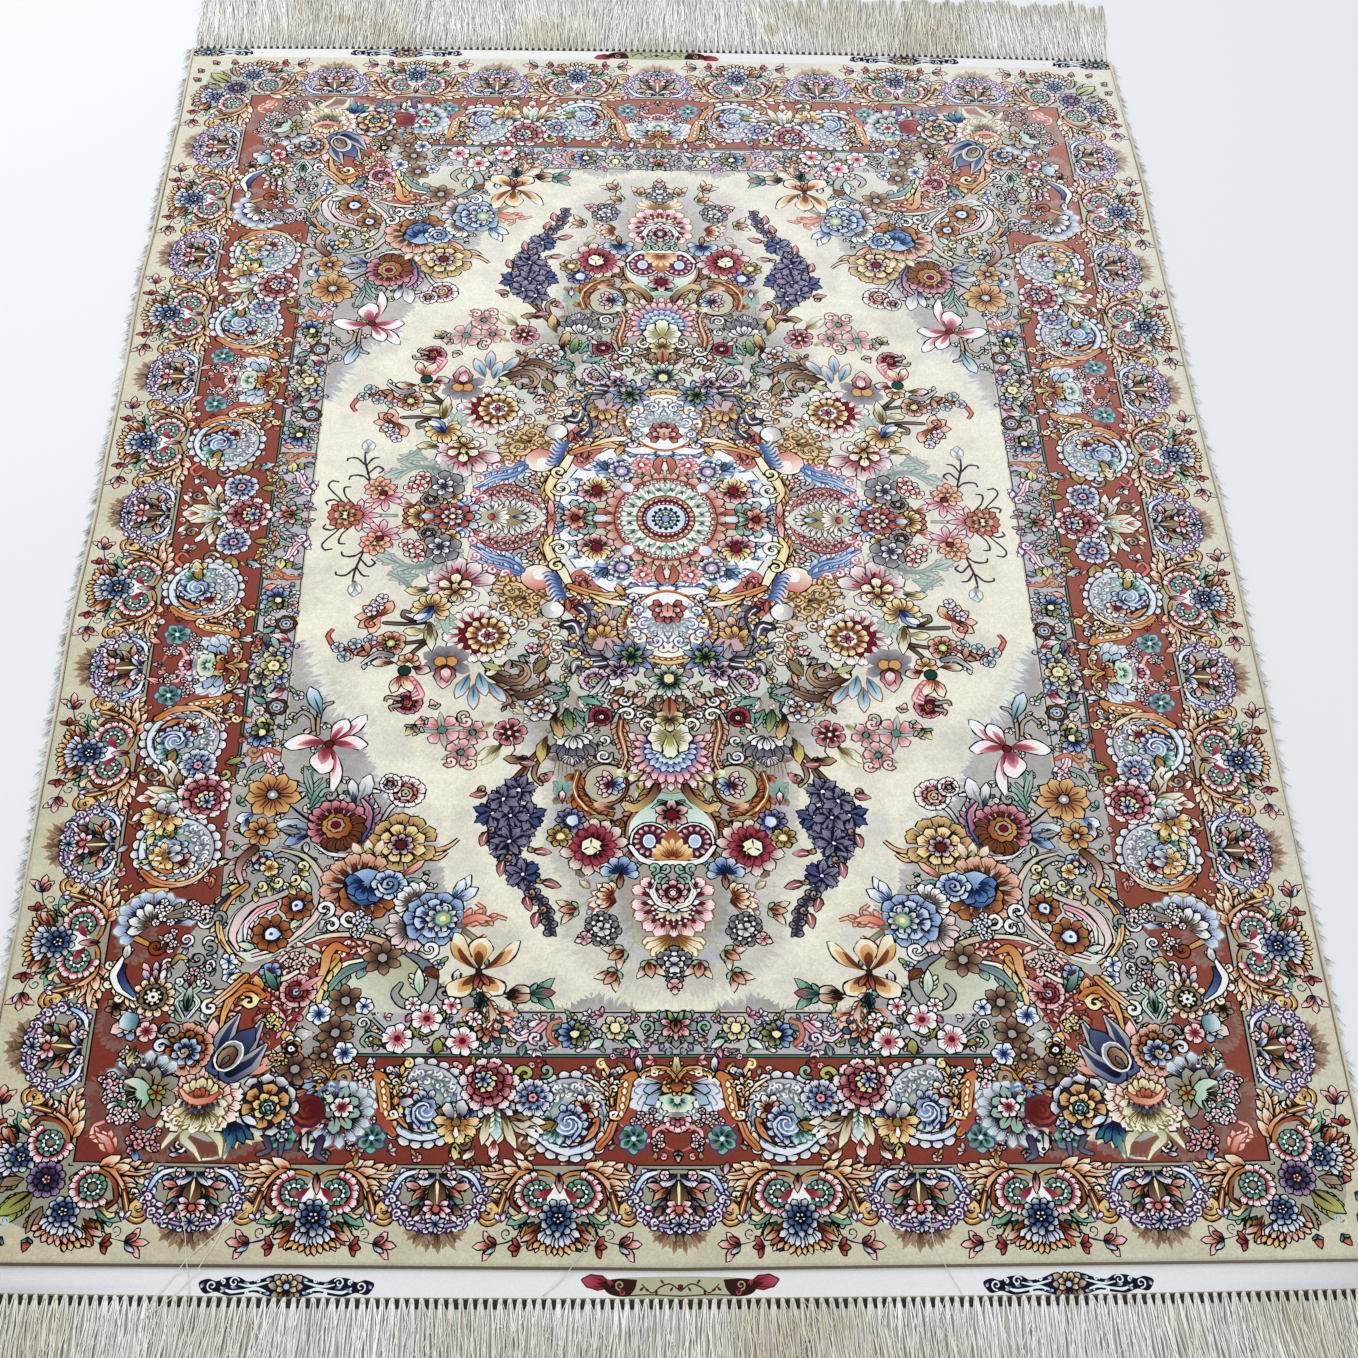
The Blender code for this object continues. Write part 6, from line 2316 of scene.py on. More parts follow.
# %% Pink sprays
for x, y, r, k in ((161, 237, 12, 5), (186, 235, 16, 4), (170, 257, 13, 5)):
    for a in range(k):
        leaf(x, y, a * 360 / k + x, r * 1.2, r * 0.5, "ash", "mist", teeth=1, edge="taupe")
    whorl(x, y, k, 2, r, r * 0.66, "rose", "blush", belly=0.72, turn=y, edge="brown", rib="coral")
    disc(x, y, r * 0.22, "sea", edge="ink")
curl(168, 221, 6, turn=60, way=-1, turns=0.9, width=2.4, tone="ash", tip="sand")
for x, y in ((162, 268), (178, 266), (167, 226)):
    curl(x, y, 5, turn=40, way=1, turns=1.0, width=2.8, tone="pink", tip="blush", edge="brown")
for x, y, a in ((198, 224, 30), (203, 232, 60), (192, 214, -70)):
    bud(x, y, 11, a, "coral", "blush", "sand")
peony(215, 208, 12, "pink", "crimson", "wine", "crimson", "rose", turn=-30, petals=8)
for points in ([(222, 204), (232, 202), (234, 207)], [(221, 210), (229, 212), (227, 217)]):
    ribbon(points, (2.4, 2.4, 1.2), "ash", "tan")
bud(208, 230, 14, 60, "olive", "straw", "brown")
tally("pink sprays")

# %% [markdown]
# ## Field flowers: brown leaves and curls
#
# Leaves in grey and brown join the bunches. They have toothed edges, which keeps them apart from
# petals.

# %% Brown leaves
for points, w in (([(150, 176), (138, 184), (126, 186), (118, 178), (120, 168), (130, 164)], 12),
                  ([(134, 196), (120, 200), (106, 194), (98, 186)], 12),
                  ([(146, 190), (136, 198), (132, 206), (138, 210)], 9)):
    acanthus(points, w, "umber", "tan", side=1, lobes=5, rib="brown")
leaf(112, 176, -120, 22, 13, "olive", "taupe", teeth=3, rib="umber")
leaf(104, 190, 170, 20, 11, "slate", "ash", teeth=2, rib="umber")
petal(138, 168, 20, 17, 10, "tan", "ivory", bend=0.2)
curl(145, 192, 5, turn=10, way=1, turns=1.1, width=2.4, tone="white", tip="plum")
for x, y, a in ((118, 154, 200), (126, 158, 150), (133, 162, 80)):
    leaf(x, y, a, 12, 8, "sea", "pink", teeth=2)
bloom(115, 149, 5, "rose", "white", "crimson")
tally("brown leaves")

# %% [markdown]
# ## Field flowers: teal buds
#
# Four narrow teal buds hang from the brown stems.

# %% Teal buds
for x, y, a in ((158, 176, 100), (166, 178, 70), (162, 188, 90), (150, 186, 130)):
    petal(x, y, a, 26, 10, "teal", "ice", edge="rust", belly=0.55, rib="cobalt")
leaf(156, 166, 160, 18, 10, "khaki", "lime", teeth=1)
tally("teal buds")

# %% [markdown]
# ## Field flowers: crimson peony and golden disc
#
# A large crimson and white peony, a golden flower in a crimson cup and a grey pansy make the main
# bunch beside the medallion. The golden flower is set off its middle, because the cup is seen
# from the side.

# %% Crimson peony and golden disc
for a, length, width in ((-160, 32, 15), (-125, 30, 18), (-80, 32, 19), (-30, 32, 18), (10, 30, 15),
                         (50, 26, 14), (90, 24, 14), (135, 26, 14)):
    petal(180, 80, a, length, width, "crimson", "white", belly=0.68, cleft=0.08)
    petal(180, 80, a, length * 0.6, width * 0.42, "wine", "rose", edge=None)
whorl(182, 84, 6, 3, 16, 10, "gold", "ivory", turn=30, belly=0.7, rib="sea")
whorl(182, 88, 4, 1, 10, 6, "amber", "straw", turn=90)
whorl(160, 134, 13, 15, 31, 10, "pink", "white", turn=-20, span=300, edge="plum", belly=0.78,
      cleft=0.12)
disc(157, 136, 20, "wine", tip="crimson", edge="ink", lobes=12)
whorl(152, 136, 14, 8, 19, 7, "amber", "straw", turn=180, edge="ink", belly=0.75)
disc(152, 136, 8.4, "white", edge="olive", lobes=9)
whorl(152, 136, 5, 0.5, 6, 3, "crimson", "pink")
for a in (-150, -110, -70, -30, 20, 160):
    petal(186, 166, a, 21, 14, "plum", "ash", edge=None, belly=0.65)
    petal(186, 166, a, 13, 5, "umber", "slate", edge=None)
for s in (-1, 1):
    disc(186 + 4.6 * s, 164, 5, "amber", edge="brown")
petal(186, 168, 90, 24, 17, "wine", "blush", belly=0.4)
petal(186, 171, 90, 16, 9, "white", "rose", belly=0.4, edge="crimson")
tally("crimson peony and golden disc")

# %% [markdown]
# ## Field flowers: the side cluster
#
# This cluster sits on the axis to the left and right of the medallion, so its flowers are drawn
# whole and the mirror line cuts them.

# %% Cluster on the long axis
for x, y, a in ((196, 44, 80), (186, 32, 100), (205, 50, 60), (218, 60, 20), (232, 56, -30),
                (214, 70, 10)):
    leaf(x, y, a, 24, 14, "ash" if x < 210 else "mint", "mist", teeth=2, rib="sea", edge="slate")
for points in ([(206, 84), (218, 86), (226, 76), (240, 66)],
               [(202, 56), (212, 60), (226, 58), (238, 48)]):
    ribbon(points, (3, 3, 1.4), "sea", "mist", edge="slate")
petal(204, 86, 10, 20, 9, "olive", "straw", bend=-0.25)
whorl(188, 0, 12, 6, 27, 9, "deep", "ice", turn=0, belly=0.72)
whorl(188, 0, 9, 4, 18, 8, "crimson", "coral", turn=20, belly=0.72)
whorl(188, 0, 8, 1, 10, 5, "wine", "white")
disc(188, 0, 2.8, "straw", edge="ink")
for s in (-1, 1):
    curl(180, 20 * s, 6, turn=-s * 90, way=s, turns=1.0, width=3, tone="sky", tip="white", edge="deep")
    petal(202, 4 * s, s * 24, 20, 9, "orange", "straw", edge="rust")
whorl(214, 0, 9, 3, 19, 8, "rust", "coral", turn=0, span=190, belly=0.65)
whorl(216, 2, 6, 2, 12, 6, "amber", "straw", turn=20, span=150)
petal(222, 12, 20, 17, 9, "coral", "white", bend=0.1)
for x, y, r in ((188, 24, 8), (196, 22, 6.4)):
    bloom(x, y, r, "amber", "straw", "brown", 5, turn=x)
peony(207, 20, 10, "ash", "taupe", "plum", "lilac", "mist", turn=30, petals=7)
whorl(196, 38, 6, 3, 18, 12, "plum", "ash", turn=80, belly=0.7)
whorl(197, 36, 5, 1, 10, 6, "slate", "white", turn=70)
disc(197, 38, 3, "plum")
petal(209, 48, -72, 22, 9, "orange", "peach", bend=0.1)
for i, (x, y) in enumerate(((216, 48), (222, 42), (226, 34), (218, 38))):
    bloom(x, y, 6.5, "coral", "white", "rose", 5, turn=40 * i)
tally("cluster on the long axis")

# %% [markdown]
# ## Field flowers: brown flower on the axis
#
# A brown flower ends the row on the long axis. Its curls reach across the mirror line.

# %% Brown flower on the axis
for s in (-1, 1):
    for points in ([(282, 12 * s), (290, 22 * s), (299, 34 * s), (297, 41 * s), (290, 40 * s)],
                   [(278, 16 * s), (284, 24 * s), (285, 33 * s), (279, 34 * s)],
                   [(284, 10 * s), (292, 18 * s), (300, 16 * s), (298, 11 * s)]):
        ribbon(points, (1.4, 2, 1.6), "umber", "plum", edge=None)
stem([(236, 1), (250, 1.5), (264, 2)], 1.8, "slate")
for a in (90, -90, 60, -60, 180, 140, -140):
    petal(270, 0, a, 19, 6.4, "rose", "blush", edge="purple", rib="crimson")
whorl(282, 2, 10, 3, 15, 7, "rust", "coral", edge="umber", belly=0.62)
whorl(282, 2, 7, 1, 9, 4.4, "brown", "peach", edge=None)
disc(282, 2, 2, "straw")
tally("brown flower on the axis")

# %% [markdown]
# ## Field flowers: the twig
#
# A dark twig with small leaves carries pink and orange flowers. The twig is drawn first, so the
# flowers cover its joints.

# %% Twig
for points in ([(262, 38), (266, 54), (269, 66), (270, 78)],
               [(262, 40), (270, 48), (280, 48), (282, 43)],
               [(266, 50), (258, 60), (252, 56), (256, 51)], [(268, 60), (262, 70), (256, 71)],
               [(269, 62), (276, 70), (284, 70), (285, 66)]):
    ribbon(points, (1.8, 2.2, 1.6), "umber", "plum", edge=None)
petal(268, 76, 95, 17, 10, "teal", "ice", edge="slate")
for s in (-1, 1):
    petal(268, 78, 95 + s * 34, 13, 5, "mist", "white", bend=-s * 0.3, edge="slate")
for a in (170, 130, -100, -60, 200, -20):
    petal(249, 23, a, 18, 6, "rose", "blush", edge="purple", rib="crimson")
whorl(254, 33, 9, 3, 14, 7, "coral", "peach", turn=10, edge="brown", belly=0.6)
whorl(254, 33, 6, 1, 8, 4, "rust", "straw", edge=None)
disc(250, 27, 3, "wine", edge="ink")
tally("twig")

# %% [markdown]
# ## Field flowers: the bell
#
# A bell in blue and yellow nods from a curved stem. Petals that bend to one side give it its
# lean.

# %% Blue and yellow bell
for points in ([(206, 122), (222, 124), (240, 123)], [(200, 140), (210, 143), (226, 146)],
               [(202, 142), (212, 152), (218, 162)], [(216, 120), (224, 116), (224, 110), (219, 111)]):
    ribbon(points, (2.6, 2.6, 2), "umber", "taupe", edge="ink")
petal(202, 122, 98, 30, 11, "olive", "ivory", belly=0.4)
petal(204, 130, 20, 20, 9, "khaki", "straw", bend=-0.2)
leaf(192, 104, 100, 34, 14, "mist", "mint", teeth=2, rib="slate", edge="slate")
whorl(201, 107, 9, 3, 17, 8, "amber", "straw", turn=-110, span=230, edge="ink", cleft=0.1)
petal(200, 104, 62, 21, 12, "cobalt", "sky", belly=0.5)
petal(204, 112, 30, 13, 6, "white", "ice")
tally("blue and yellow bell")

# %% [markdown]
# ## Field flowers: the orange tulip
#
# Orange tulips grow towards the corner piece. A tulip is three petals over two, with a green cup.

# %% Orange tulip
for a, tone in ((-80, "ivory"), (-40, "orange"), (0, "coral"), (30, "rust"), (-120, "orange"),
                (60, "peach")):
    petal(243, 116, a, 20, 10, tone, "peach", bend=0.15)
for x, y in ((246, 104), (252, 110), (243, 96)):
    bloom(x, y, 5, "lilac", "white", "wine")
curl(251, 124, 5, turn=-90, way=1, turns=0.9, width=2.8, tone="rust", tip="coral")
tally("orange tulip")

# %% [markdown]
# ## Field flowers: orange daisy and spray
#
# An orange daisy with a loose spray fills the field beside the corner piece.

# %% Orange daisy and spray
daisy(233, 145, 13, "peach", "rust", "lime", "straw", 9, turn=10)
ribbon([(244, 146), (256, 152), (268, 152), (280, 148), (286, 138), (282, 130)], (3, 3.4, 3, 1.6),
       "rose", "coral", edge="wine")
for i, (x, y) in enumerate(((250, 142), (256, 150), (263, 146), (270, 152), (277, 150), (260, 158),
                            (271, 160), (251, 156), (240, 156))):
    if i % 2:
        leaf(x, y, 40 * i, 12, 8, "rust", "peach", teeth=2)
    else:
        bloom(x, y, 5.4, "teal" if i % 4 else "steel", "ice", "rust", 5)
acanthus([(232, 158), (242, 156), (250, 162), (256, 168)], 9, "steel", "white", side=1, lobes=4)
tally("orange daisy and spray")

# %% [markdown]
# ## Field flowers: lower tulips
#
# The lower tulips stand on the border of the field and end the drawing of the quarter.

# %% Lower tulips
for x, y, a, s, tone in ((222, 172, 100, 26, "orange"), (228, 166, -10, 20, "rust"),
                         (214, 170, 150, 16, "crimson"), (222, 178, 60, 20, "coral")):
    petal(x, y, a, s, 10, tone, "ivory", bend=0.15)
disc(220, 174, 5, "green", edge="ink")
whorl(217, 165, 5, 1, 10, 6, "amber", "peach", turn=-90, span=200)
for i in range(3):
    ribbon([(214 - 3 * i, 182 + 4 * i), (208 - 2 * i, 190 + 5 * i), (212, 198 + 3 * i)], (3, 3, 1),
           "pink", "blush", edge="rose")
tally("lower tulips")

# %% [markdown]
# ## Trim the drawing
#
# Motifs may reach past the edge of the rug or across the middle, where the mirror repeats them.
# Shapes that lie wholly outside the quarter are dropped, so that the next step has less to do.

# %% Drop what lies outside the quarter
shapes[:] = [shape for shape in shapes if shape[0].max(axis=0).min() > 0
             and (shape[0].min(axis=0) < (499, 682)).all()]
print("shapes in the quarter:", len(shapes), "corners:", sum(len(shape[0]) for shape in shapes))

# %% [markdown]
# ## From the drawing to a flat mosaic
#
# The drawing is a pile of overlapping shapes, the later ones on top, as a painter works.
# Cloth has only one colour at each place. A triangulation that knows every outline cuts
# the quarter into small triangles, and each one belongs to the topmost shape over it.
# The outlines are then thinned a little and triangulated once more, which keeps the mesh
# light. Last, every corner of a triangle takes its shape's colour at that spot.

# %% Triangulate a drawing
MID_GREY, CONTRAST, SATURATION = 136, 1.32, 0.86
DARKEST, LIGHTEST = 4, 250
LONG_CHORD = 14                       # mm that a thinned line spans at most


def from_lowest(ring):
    """A ring that starts at its lowest corner and runs anticlockwise."""
    first = np.lexsort((ring[:, 0], ring[:, 1]))[0]
    ring = np.roll(ring, -first, axis=0)
    a, b, c = ring[-1], ring[0], ring[1]
    if (b[0] - a[0]) * (c[1] - b[1]) - (b[1] - a[1]) * (c[0] - b[0]) > 0:
        return ring
    return np.roll(ring[::-1], 1, axis=0)


def outlines(count, triangles, owner):
    """Edges where two shapes meet, or at the rim."""
    edges = np.sort(np.concatenate((triangles[:, [0, 1]], triangles[:, [1, 2]], triangles[:, [2, 0]])),
                    axis=1)
    owners = np.tile(owner, 3)
    key = edges[:, 0].astype(np.int64) * count + edges[:, 1]
    order = np.argsort(key, kind="stable")
    key, owners, edges = key[order], owners[order], edges[order]
    first = np.flatnonzero(np.r_[True, key[1:] != key[:-1]])
    uses = np.diff(np.r_[first, len(key)])
    other = owners[np.minimum(first + 1, len(owners) - 1)]
    return edges[first[(uses == 1) | (owners[first] != other)]]


def thinned(points, edges, slack):
    """The same lines with fewer corners: one goes if it is within slack of the chord past it."""
    near = {}
    for a, b in edges.tolist():
        near.setdefault(a, set()).add(b)
        near.setdefault(b, set()).add(a)
    x, y = points[:, 0].tolist(), points[:, 1].tolist()
    for k in list(near):
        if len(near[k]) != 2:
            continue
        a, b = near[k]
        dx, dy = x[b] - x[a], y[b] - y[a]
        chord = (dx * dx + dy * dy) ** 0.5
        if b in near[a] or chord < 1e-9 or chord > LONG_CHORD:
            continue
        if abs(dx * (y[k] - y[a]) - dy * (x[k] - x[a])) < slack * chord:
            near[a].discard(k)
            near[b].discard(k)
            near[a].add(b)
            near[b].add(a)
            del near[k]
    return np.array([(a, b) for a in near for b in near[a] if a < b])


def mosaic(box, drawn, cuts=(), slack=0.3, grid=0.35):
    """Flat points, triangles, and a colour for each corner of each triangle, from a drawing."""
    x0, y0, x1, y1 = box
    rings = [from_lowest(np.array(((x0, y0), (x1, y0), (x1, y1), (x0, y1)), float))]
    rings += [from_lowest(shape[0]) for shape in drawn]
    corners = np.vstack(rings)
    ends = np.cumsum([len(ring) for ring in rings])
    faces = [list(range(end - len(ring), end)) for end, ring in zip(ends.tolist(), rings)]
    got = delaunay_2d_cdt([tuple(p) for p in corners], [], faces, 1, 1e-4, True)
    points, fine = np.array([tuple(p) for p in got[0]]), np.array(got[2])
    # a ring that crosses itself can be taken for its outside, so a shape owns only its own box
    boxes = [(*ring.min(axis=0).tolist(), *ring.max(axis=0).tolist()) for ring in rings]
    top = np.full(len(fine), -1)
    for number, (owners, (x, y)) in enumerate(zip(got[5], points[fine].mean(axis=1).tolist())):
        for owner in sorted(owners, reverse=True):
            left, low, right, high = boxes[owner]
            if left <= x <= right and low <= y <= high:
                top[number] = owner if x0 <= x <= x1 and y0 <= y <= y1 else -1
                break
    fine, top = fine[top >= 0], top[top >= 0]
    # neighbours of one plain tone count as one shape, so no line is kept between them
    plain = {}
    same = np.array([0] + [plain.setdefault(shape[1], number) if shape[3] is None else number
                           for number, shape in enumerate(drawn, 1)])
    top = same[top]
    kept = thinned(points, outlines(len(points), fine, top), slack)

    snapped, index = np.unique(np.round(np.round(points / grid) * grid, 4), axis=0, return_inverse=True)
    kept = np.sort(index.ravel()[kept], axis=1)
    kept = np.unique(kept[kept[:, 0] != kept[:, 1]], axis=0)
    used, index = np.unique(kept, return_inverse=True)
    lines = index.reshape(kept.shape).tolist()
    nodes = [tuple(p) for p in snapped[used]]
    for a, b in cuts:
        lines.append((len(nodes), len(nodes) + 1))
        nodes += [a, b]
    got = delaunay_2d_cdt(nodes, [tuple(line) for line in lines], [], 1, 1e-4, True)
    flat, triangles = np.array([tuple(p) for p in got[0]]), np.array(got[2])

    tree = BVHTree.FromPolygons([(p[0], p[1], 0.0) for p in points.tolist()], fine.tolist())
    owner = top[[tree.find_nearest((p[0], p[1], 0.0))[2]
                 for p in flat[triangles].mean(axis=1).tolist()]]
    tones = np.array([PALETTE[drawn[0][1]]] + [PALETTE[shape[1]] for shape in drawn], float)
    tips = np.array([PALETTE[drawn[0][1]]] + [PALETTE[shape[2]] for shape in drawn], float)
    starts, runs = np.zeros((len(tones), 2)), np.zeros((len(tones), 2))
    for i, shape in enumerate(drawn, 1):
        if shape[3] is not None:
            starts[i], runs[i] = shape[3][0], shape[3][1] - shape[3][0]
    spot = flat[triangles] - starts[owner][:, None]
    run = runs[owner][:, None]
    t = np.clip((spot * run).sum(axis=2) / np.maximum((run ** 2).sum(axis=2), 1e-9), 0, 1)[:, :, None]
    soft = np.array([SOFT.get(drawn[0][1], 0.0)] + [SOFT.get(shape[1], 0.0) for shape in drawn])
    colours = tones[owner][:, None] * (1 - t) + tips[owner][:, None] * t
    grey = colours.mean(axis=2, keepdims=True)
    colours = MID_GREY + (grey - MID_GREY) * CONTRAST + (colours - grey) * SATURATION
    colours = np.clip(colours, DARKEST, LIGHTEST) / 255
    softness = np.repeat(soft[owner], 3).reshape(-1, 3, 1)
    return flat, triangles, np.concatenate((colours, softness), axis=2)

# %% [markdown]
# ## One quarter, turned into the whole pile
#
# The pattern of such a rug mirrors from left to right and from end to end, so only a
# quarter is drawn. It is split into centre, field, main border and outer guard, and each
# of them into a near and a far half: eight pieces, joined edge to edge, light enough each.
# The colours also carry painted light. A power above 1 paints the near end a little darker, and lower
# powers towards the far end and the right side paint a sheen there. This lifts the middle tones and
# leaves black and white alone.
#
# A bmesh welds the mirrored halves, rounds the sheared edge of the pile and pulls the rim
# down into the cotton foundation.

# %% Lay the quarter's mosaic out as pile
OUTSET = 0.004                        # how far the UV map folds a rim's wall out


def pile_height(x, y):
    """Top of the pile, rounded off towards the edges, with the slight waves of a knotted rug."""
    inward = np.minimum(HALF_WIDTH - np.abs(x), HALF_PILE - np.abs(y))
    level = PILE_EDGE + (PILE_TOP - PILE_EDGE) * np.sin(np.clip(inward / EDGE_ROUND, 0, 1) * pi / 2)
    waves = 0.00022 * np.sin(41 * x + 1.0) * np.sin(33 * y + 0.5) + 0.00016 * np.sin(19 * x - 27 * y)
    return level + waves * np.clip(inward / 0.04, 0, 1)


def cloth_mesh(name, layout, triangles, colours, low, rim):
    """A coloured sheet of pile whose outer rim, where rim(x, y) is true, is pulled down to low."""
    mesh = bpy.data.meshes.new(name)
    mesh.from_pydata(layout.tolist(), [], triangles.tolist())
    tone = mesh.color_attributes.new("Pattern", "BYTE_COLOR", "CORNER")
    tone.data.foreach_set("color_srgb", colours.ravel())
    bm = bmesh.new()
    bm.from_mesh(mesh)
    seam = [vert for vert in bm.verts if vert.is_boundary]
    bmesh.ops.remove_doubles(bm, verts=seam, dist=1e-6)
    edges = [e for e in bm.edges if e.is_boundary and all(rim(v.co.x, v.co.y) for v in e.verts)]
    pattern = bm.loops.layers.color["Pattern"]
    shade = {}
    for edge in edges:
        for loop in edge.link_loops[0].face.loops:
            shade[loop.vert.co.to_2d().freeze()] = loop[pattern].copy()
    wall = bmesh.ops.extrude_edge_only(bm, edges=edges)["geom"]
    lower = [part for part in wall if isinstance(part, bmesh.types.BMVert)]
    for face in [part for part in wall if isinstance(part, bmesh.types.BMFace)]:
        for loop in face.loops:
            loop[pattern] = shade[loop.vert.co.to_2d().freeze()]
    uv = bm.loops.layers.uv.new("OFBake")
    spots = np.array([vert.co[:2] for vert in bm.verts])
    low_corner, reach = spots.min(axis=0) - 0.006, np.ptp(spots, axis=0) + 0.012
    bm.verts.index_update()
    outward = {vert.index for vert in lower}
    for face in bm.faces:
        for loop in face.loops:
            x, y = loop.vert.co.x, loop.vert.co.y
            if loop.vert.index in outward:
                at_end = abs(abs(y) - HALF_PILE) < 1e-4 or abs(abs(y) - HALF_CLOTH) < 1e-4
                x += OUTSET * (abs(x) > HALF_WIDTH - 1e-4) * (1 if x > 0 else -1)
                y += OUTSET * at_end * (1 if y > 0 else -1)
            loop[uv].uv = ((x - low_corner[0]) / reach[0], (y - low_corner[1]) / reach[1])
    for vert in lower:
        vert.co.z = low
    bmesh.ops.recalc_face_normals(bm, faces=bm.faces)
    where = placed(np.array([vert.co[:2] for vert in bm.verts]))
    for vert, spot in zip(bm.verts, where.tolist()):
        vert.co.x, vert.co.y = spot
    bm.to_mesh(mesh)
    bm.free()
    mesh.update()
    if sum(polygon.normal.z for polygon in mesh.polygons[:200]) < 0:
        mesh.flip_normals()
    item = bpy.data.objects.new(name, mesh)
    bpy.context.scene.collection.objects.link(item)
    print(name, len(mesh.polygons), "faces")
    return item


LINES = ((432, 612), (349, 527), (176, 236))  # where one part of the pile meets the next, in mm
RIM_FOOT = 0.0015                     # height of the pile's rim inside the foundation
# Painted shade and sheen: a power above 1 darkens the near end, and the power drops towards the far end
# and the right side to paint a sheen there.
PAINTED_NEAR_SHADE = 1.14                           # power of the tones at the near end
PAINTED_FAR_SHEEN = np.array((0.57, 0.57, 0.59))   # its drop from the near end to the far one
PAINTED_SIDE_SHEEN = 0.13                          # and its drop from the middle to the right side
cuts = [((x, 0.0), (x, y)) for x, y in LINES] + [((0.0, y), (x, y)) for x, y in LINES]
for inset in (0.8, 2.0, 3.0):         # rows of corners that let the sheared edge round off
    x, y = QUARTER_X - inset, QUARTER_Y - inset
    cuts += [((x, 0.0), (x, QUARTER_Y)), ((0.0, y), (QUARTER_X, y))]
flat, triangles, colours = mosaic((0, 0, QUARTER_X, QUARTER_Y), shapes, cuts)
print("shapes drawn:", len(shapes), "triangles in a quarter:", len(triangles))

middle = flat[triangles].mean(axis=1)
zone = sum(((middle[:, 0] > x) | (middle[:, 1] > y)).astype(int) for x, y in LINES)
pile = []
for number, part_name in enumerate(("centre", "field", "border", "guard")):
    mine = triangles[zone == number]
    used, index = np.unique(mine, return_inverse=True)
    mine = index.reshape(mine.shape)
    spots = flat[used] / 1000
    for end, end_name in ((-1, "near"), (1, "far")):
        sides = [np.column_stack((side * spots[:, 0], end * spots[:, 1])) for side in (-1, 1)]
        layout = np.vstack(sides)
        layout = np.column_stack((layout, pile_height(layout[:, 0], layout[:, 1])))
        faces = np.vstack((mine, mine + len(spots)))
        tones = np.concatenate((colours[zone == number],) * 2)
        across, along = (layout[faces, axis][:, :, None] for axis in (0, 1))
        # painted shade at the near end, painted sheen towards the far end and the right side
        tones[:, :, :3] **= PAINTED_NEAR_SHADE - PAINTED_FAR_SHEEN * (0.5 + 0.5 * along / HALF_PILE) - PAINTED_SIDE_SHEEN * across / HALF_WIDTH
        pile.append(cloth_mesh(
            f"pile_{part_name}_{end_name}", layout, faces, tones, RIM_FOOT,
            lambda x, y: abs(x) > HALF_WIDTH - 1e-5 or abs(y) > HALF_PILE - 1e-5))

# %% [markdown]
# ## The cotton foundation
#
# Under the pile lies the ground weave of cotton warps and wefts, and the back of the
# knots. On the real rug it is one cloth with the pile; here it is one closed thin slab
# from end to end, the sheet that the pile, the cords and the fringe all hang on.

# %% One closed slab
def link(name, bm):
    """Ends a bmesh as an object of that name."""
    mesh = bpy.data.meshes.new(name)
    bm.to_mesh(mesh)
    bm.free()
    item = bpy.data.objects.new(name, mesh)
    bpy.context.scene.collection.objects.link(item)
    return item


bm = bmesh.new()
COLUMNS, ROWS = 48, 68
bmesh.ops.create_grid(bm, x_segments=COLUMNS, y_segments=ROWS, size=1.0)
bmesh.ops.scale(bm, vec=(HALF_WIDTH, HALF_CLOTH, 1.0), verts=bm.verts)
bmesh.ops.translate(bm, vec=(0, 0, STRIP_TOP - 0.0002), verts=bm.verts)
upper = list(bm.faces)
grown = bmesh.ops.extrude_face_region(bm, geom=upper, use_keep_orig=True)
for part in grown["geom"]:
    if isinstance(part, bmesh.types.BMVert):
        part.co.z = 0.0
bmesh.ops.recalc_face_normals(bm, faces=bm.faces)
uv = bm.loops.layers.uv.new("OFBake")
for face in bm.faces:
    up = face.normal.z
    for loop in face.loops:
        u = (loop.vert.co.x / HALF_WIDTH + 1) / 4 * 0.96
        v = (loop.vert.co.y / HALF_CLOTH + 1) / 2 * 0.96 + 0.02
        if up > 0.5:
            loop[uv].uv = (u + 0.01, v)
        elif up < -0.5:
            loop[uv].uv = (u + 0.51, v)
        elif abs(face.normal.x) > 0.5:
            loop[uv].uv = ((0.002 if face.normal.x > 0 else 0.994) + loop.vert.co.z, v)
        else:
            loop[uv].uv = (u * 2 + 0.02, (0.002 if face.normal.y > 0 else 0.99) + loop.vert.co.z)
spots = placed(np.array([vert.co[:2] for vert in bm.verts]))
for vert, spot in zip(bm.verts, spots.tolist()):
    vert.co.x, vert.co.y = spot
foundation = link("cotton_foundation", bm)
print("foundation", len(foundation.data.polygons), "faces")

# %% [markdown]
# ## The woven end strips
#
# Past the pile at each end, a finger's breadth or so of plain cotton weave closes the rug. It
# carries a few small scrolled tablets. They are drawn like the rest, but on a strip of
# their own, and hold only leaf ornament.

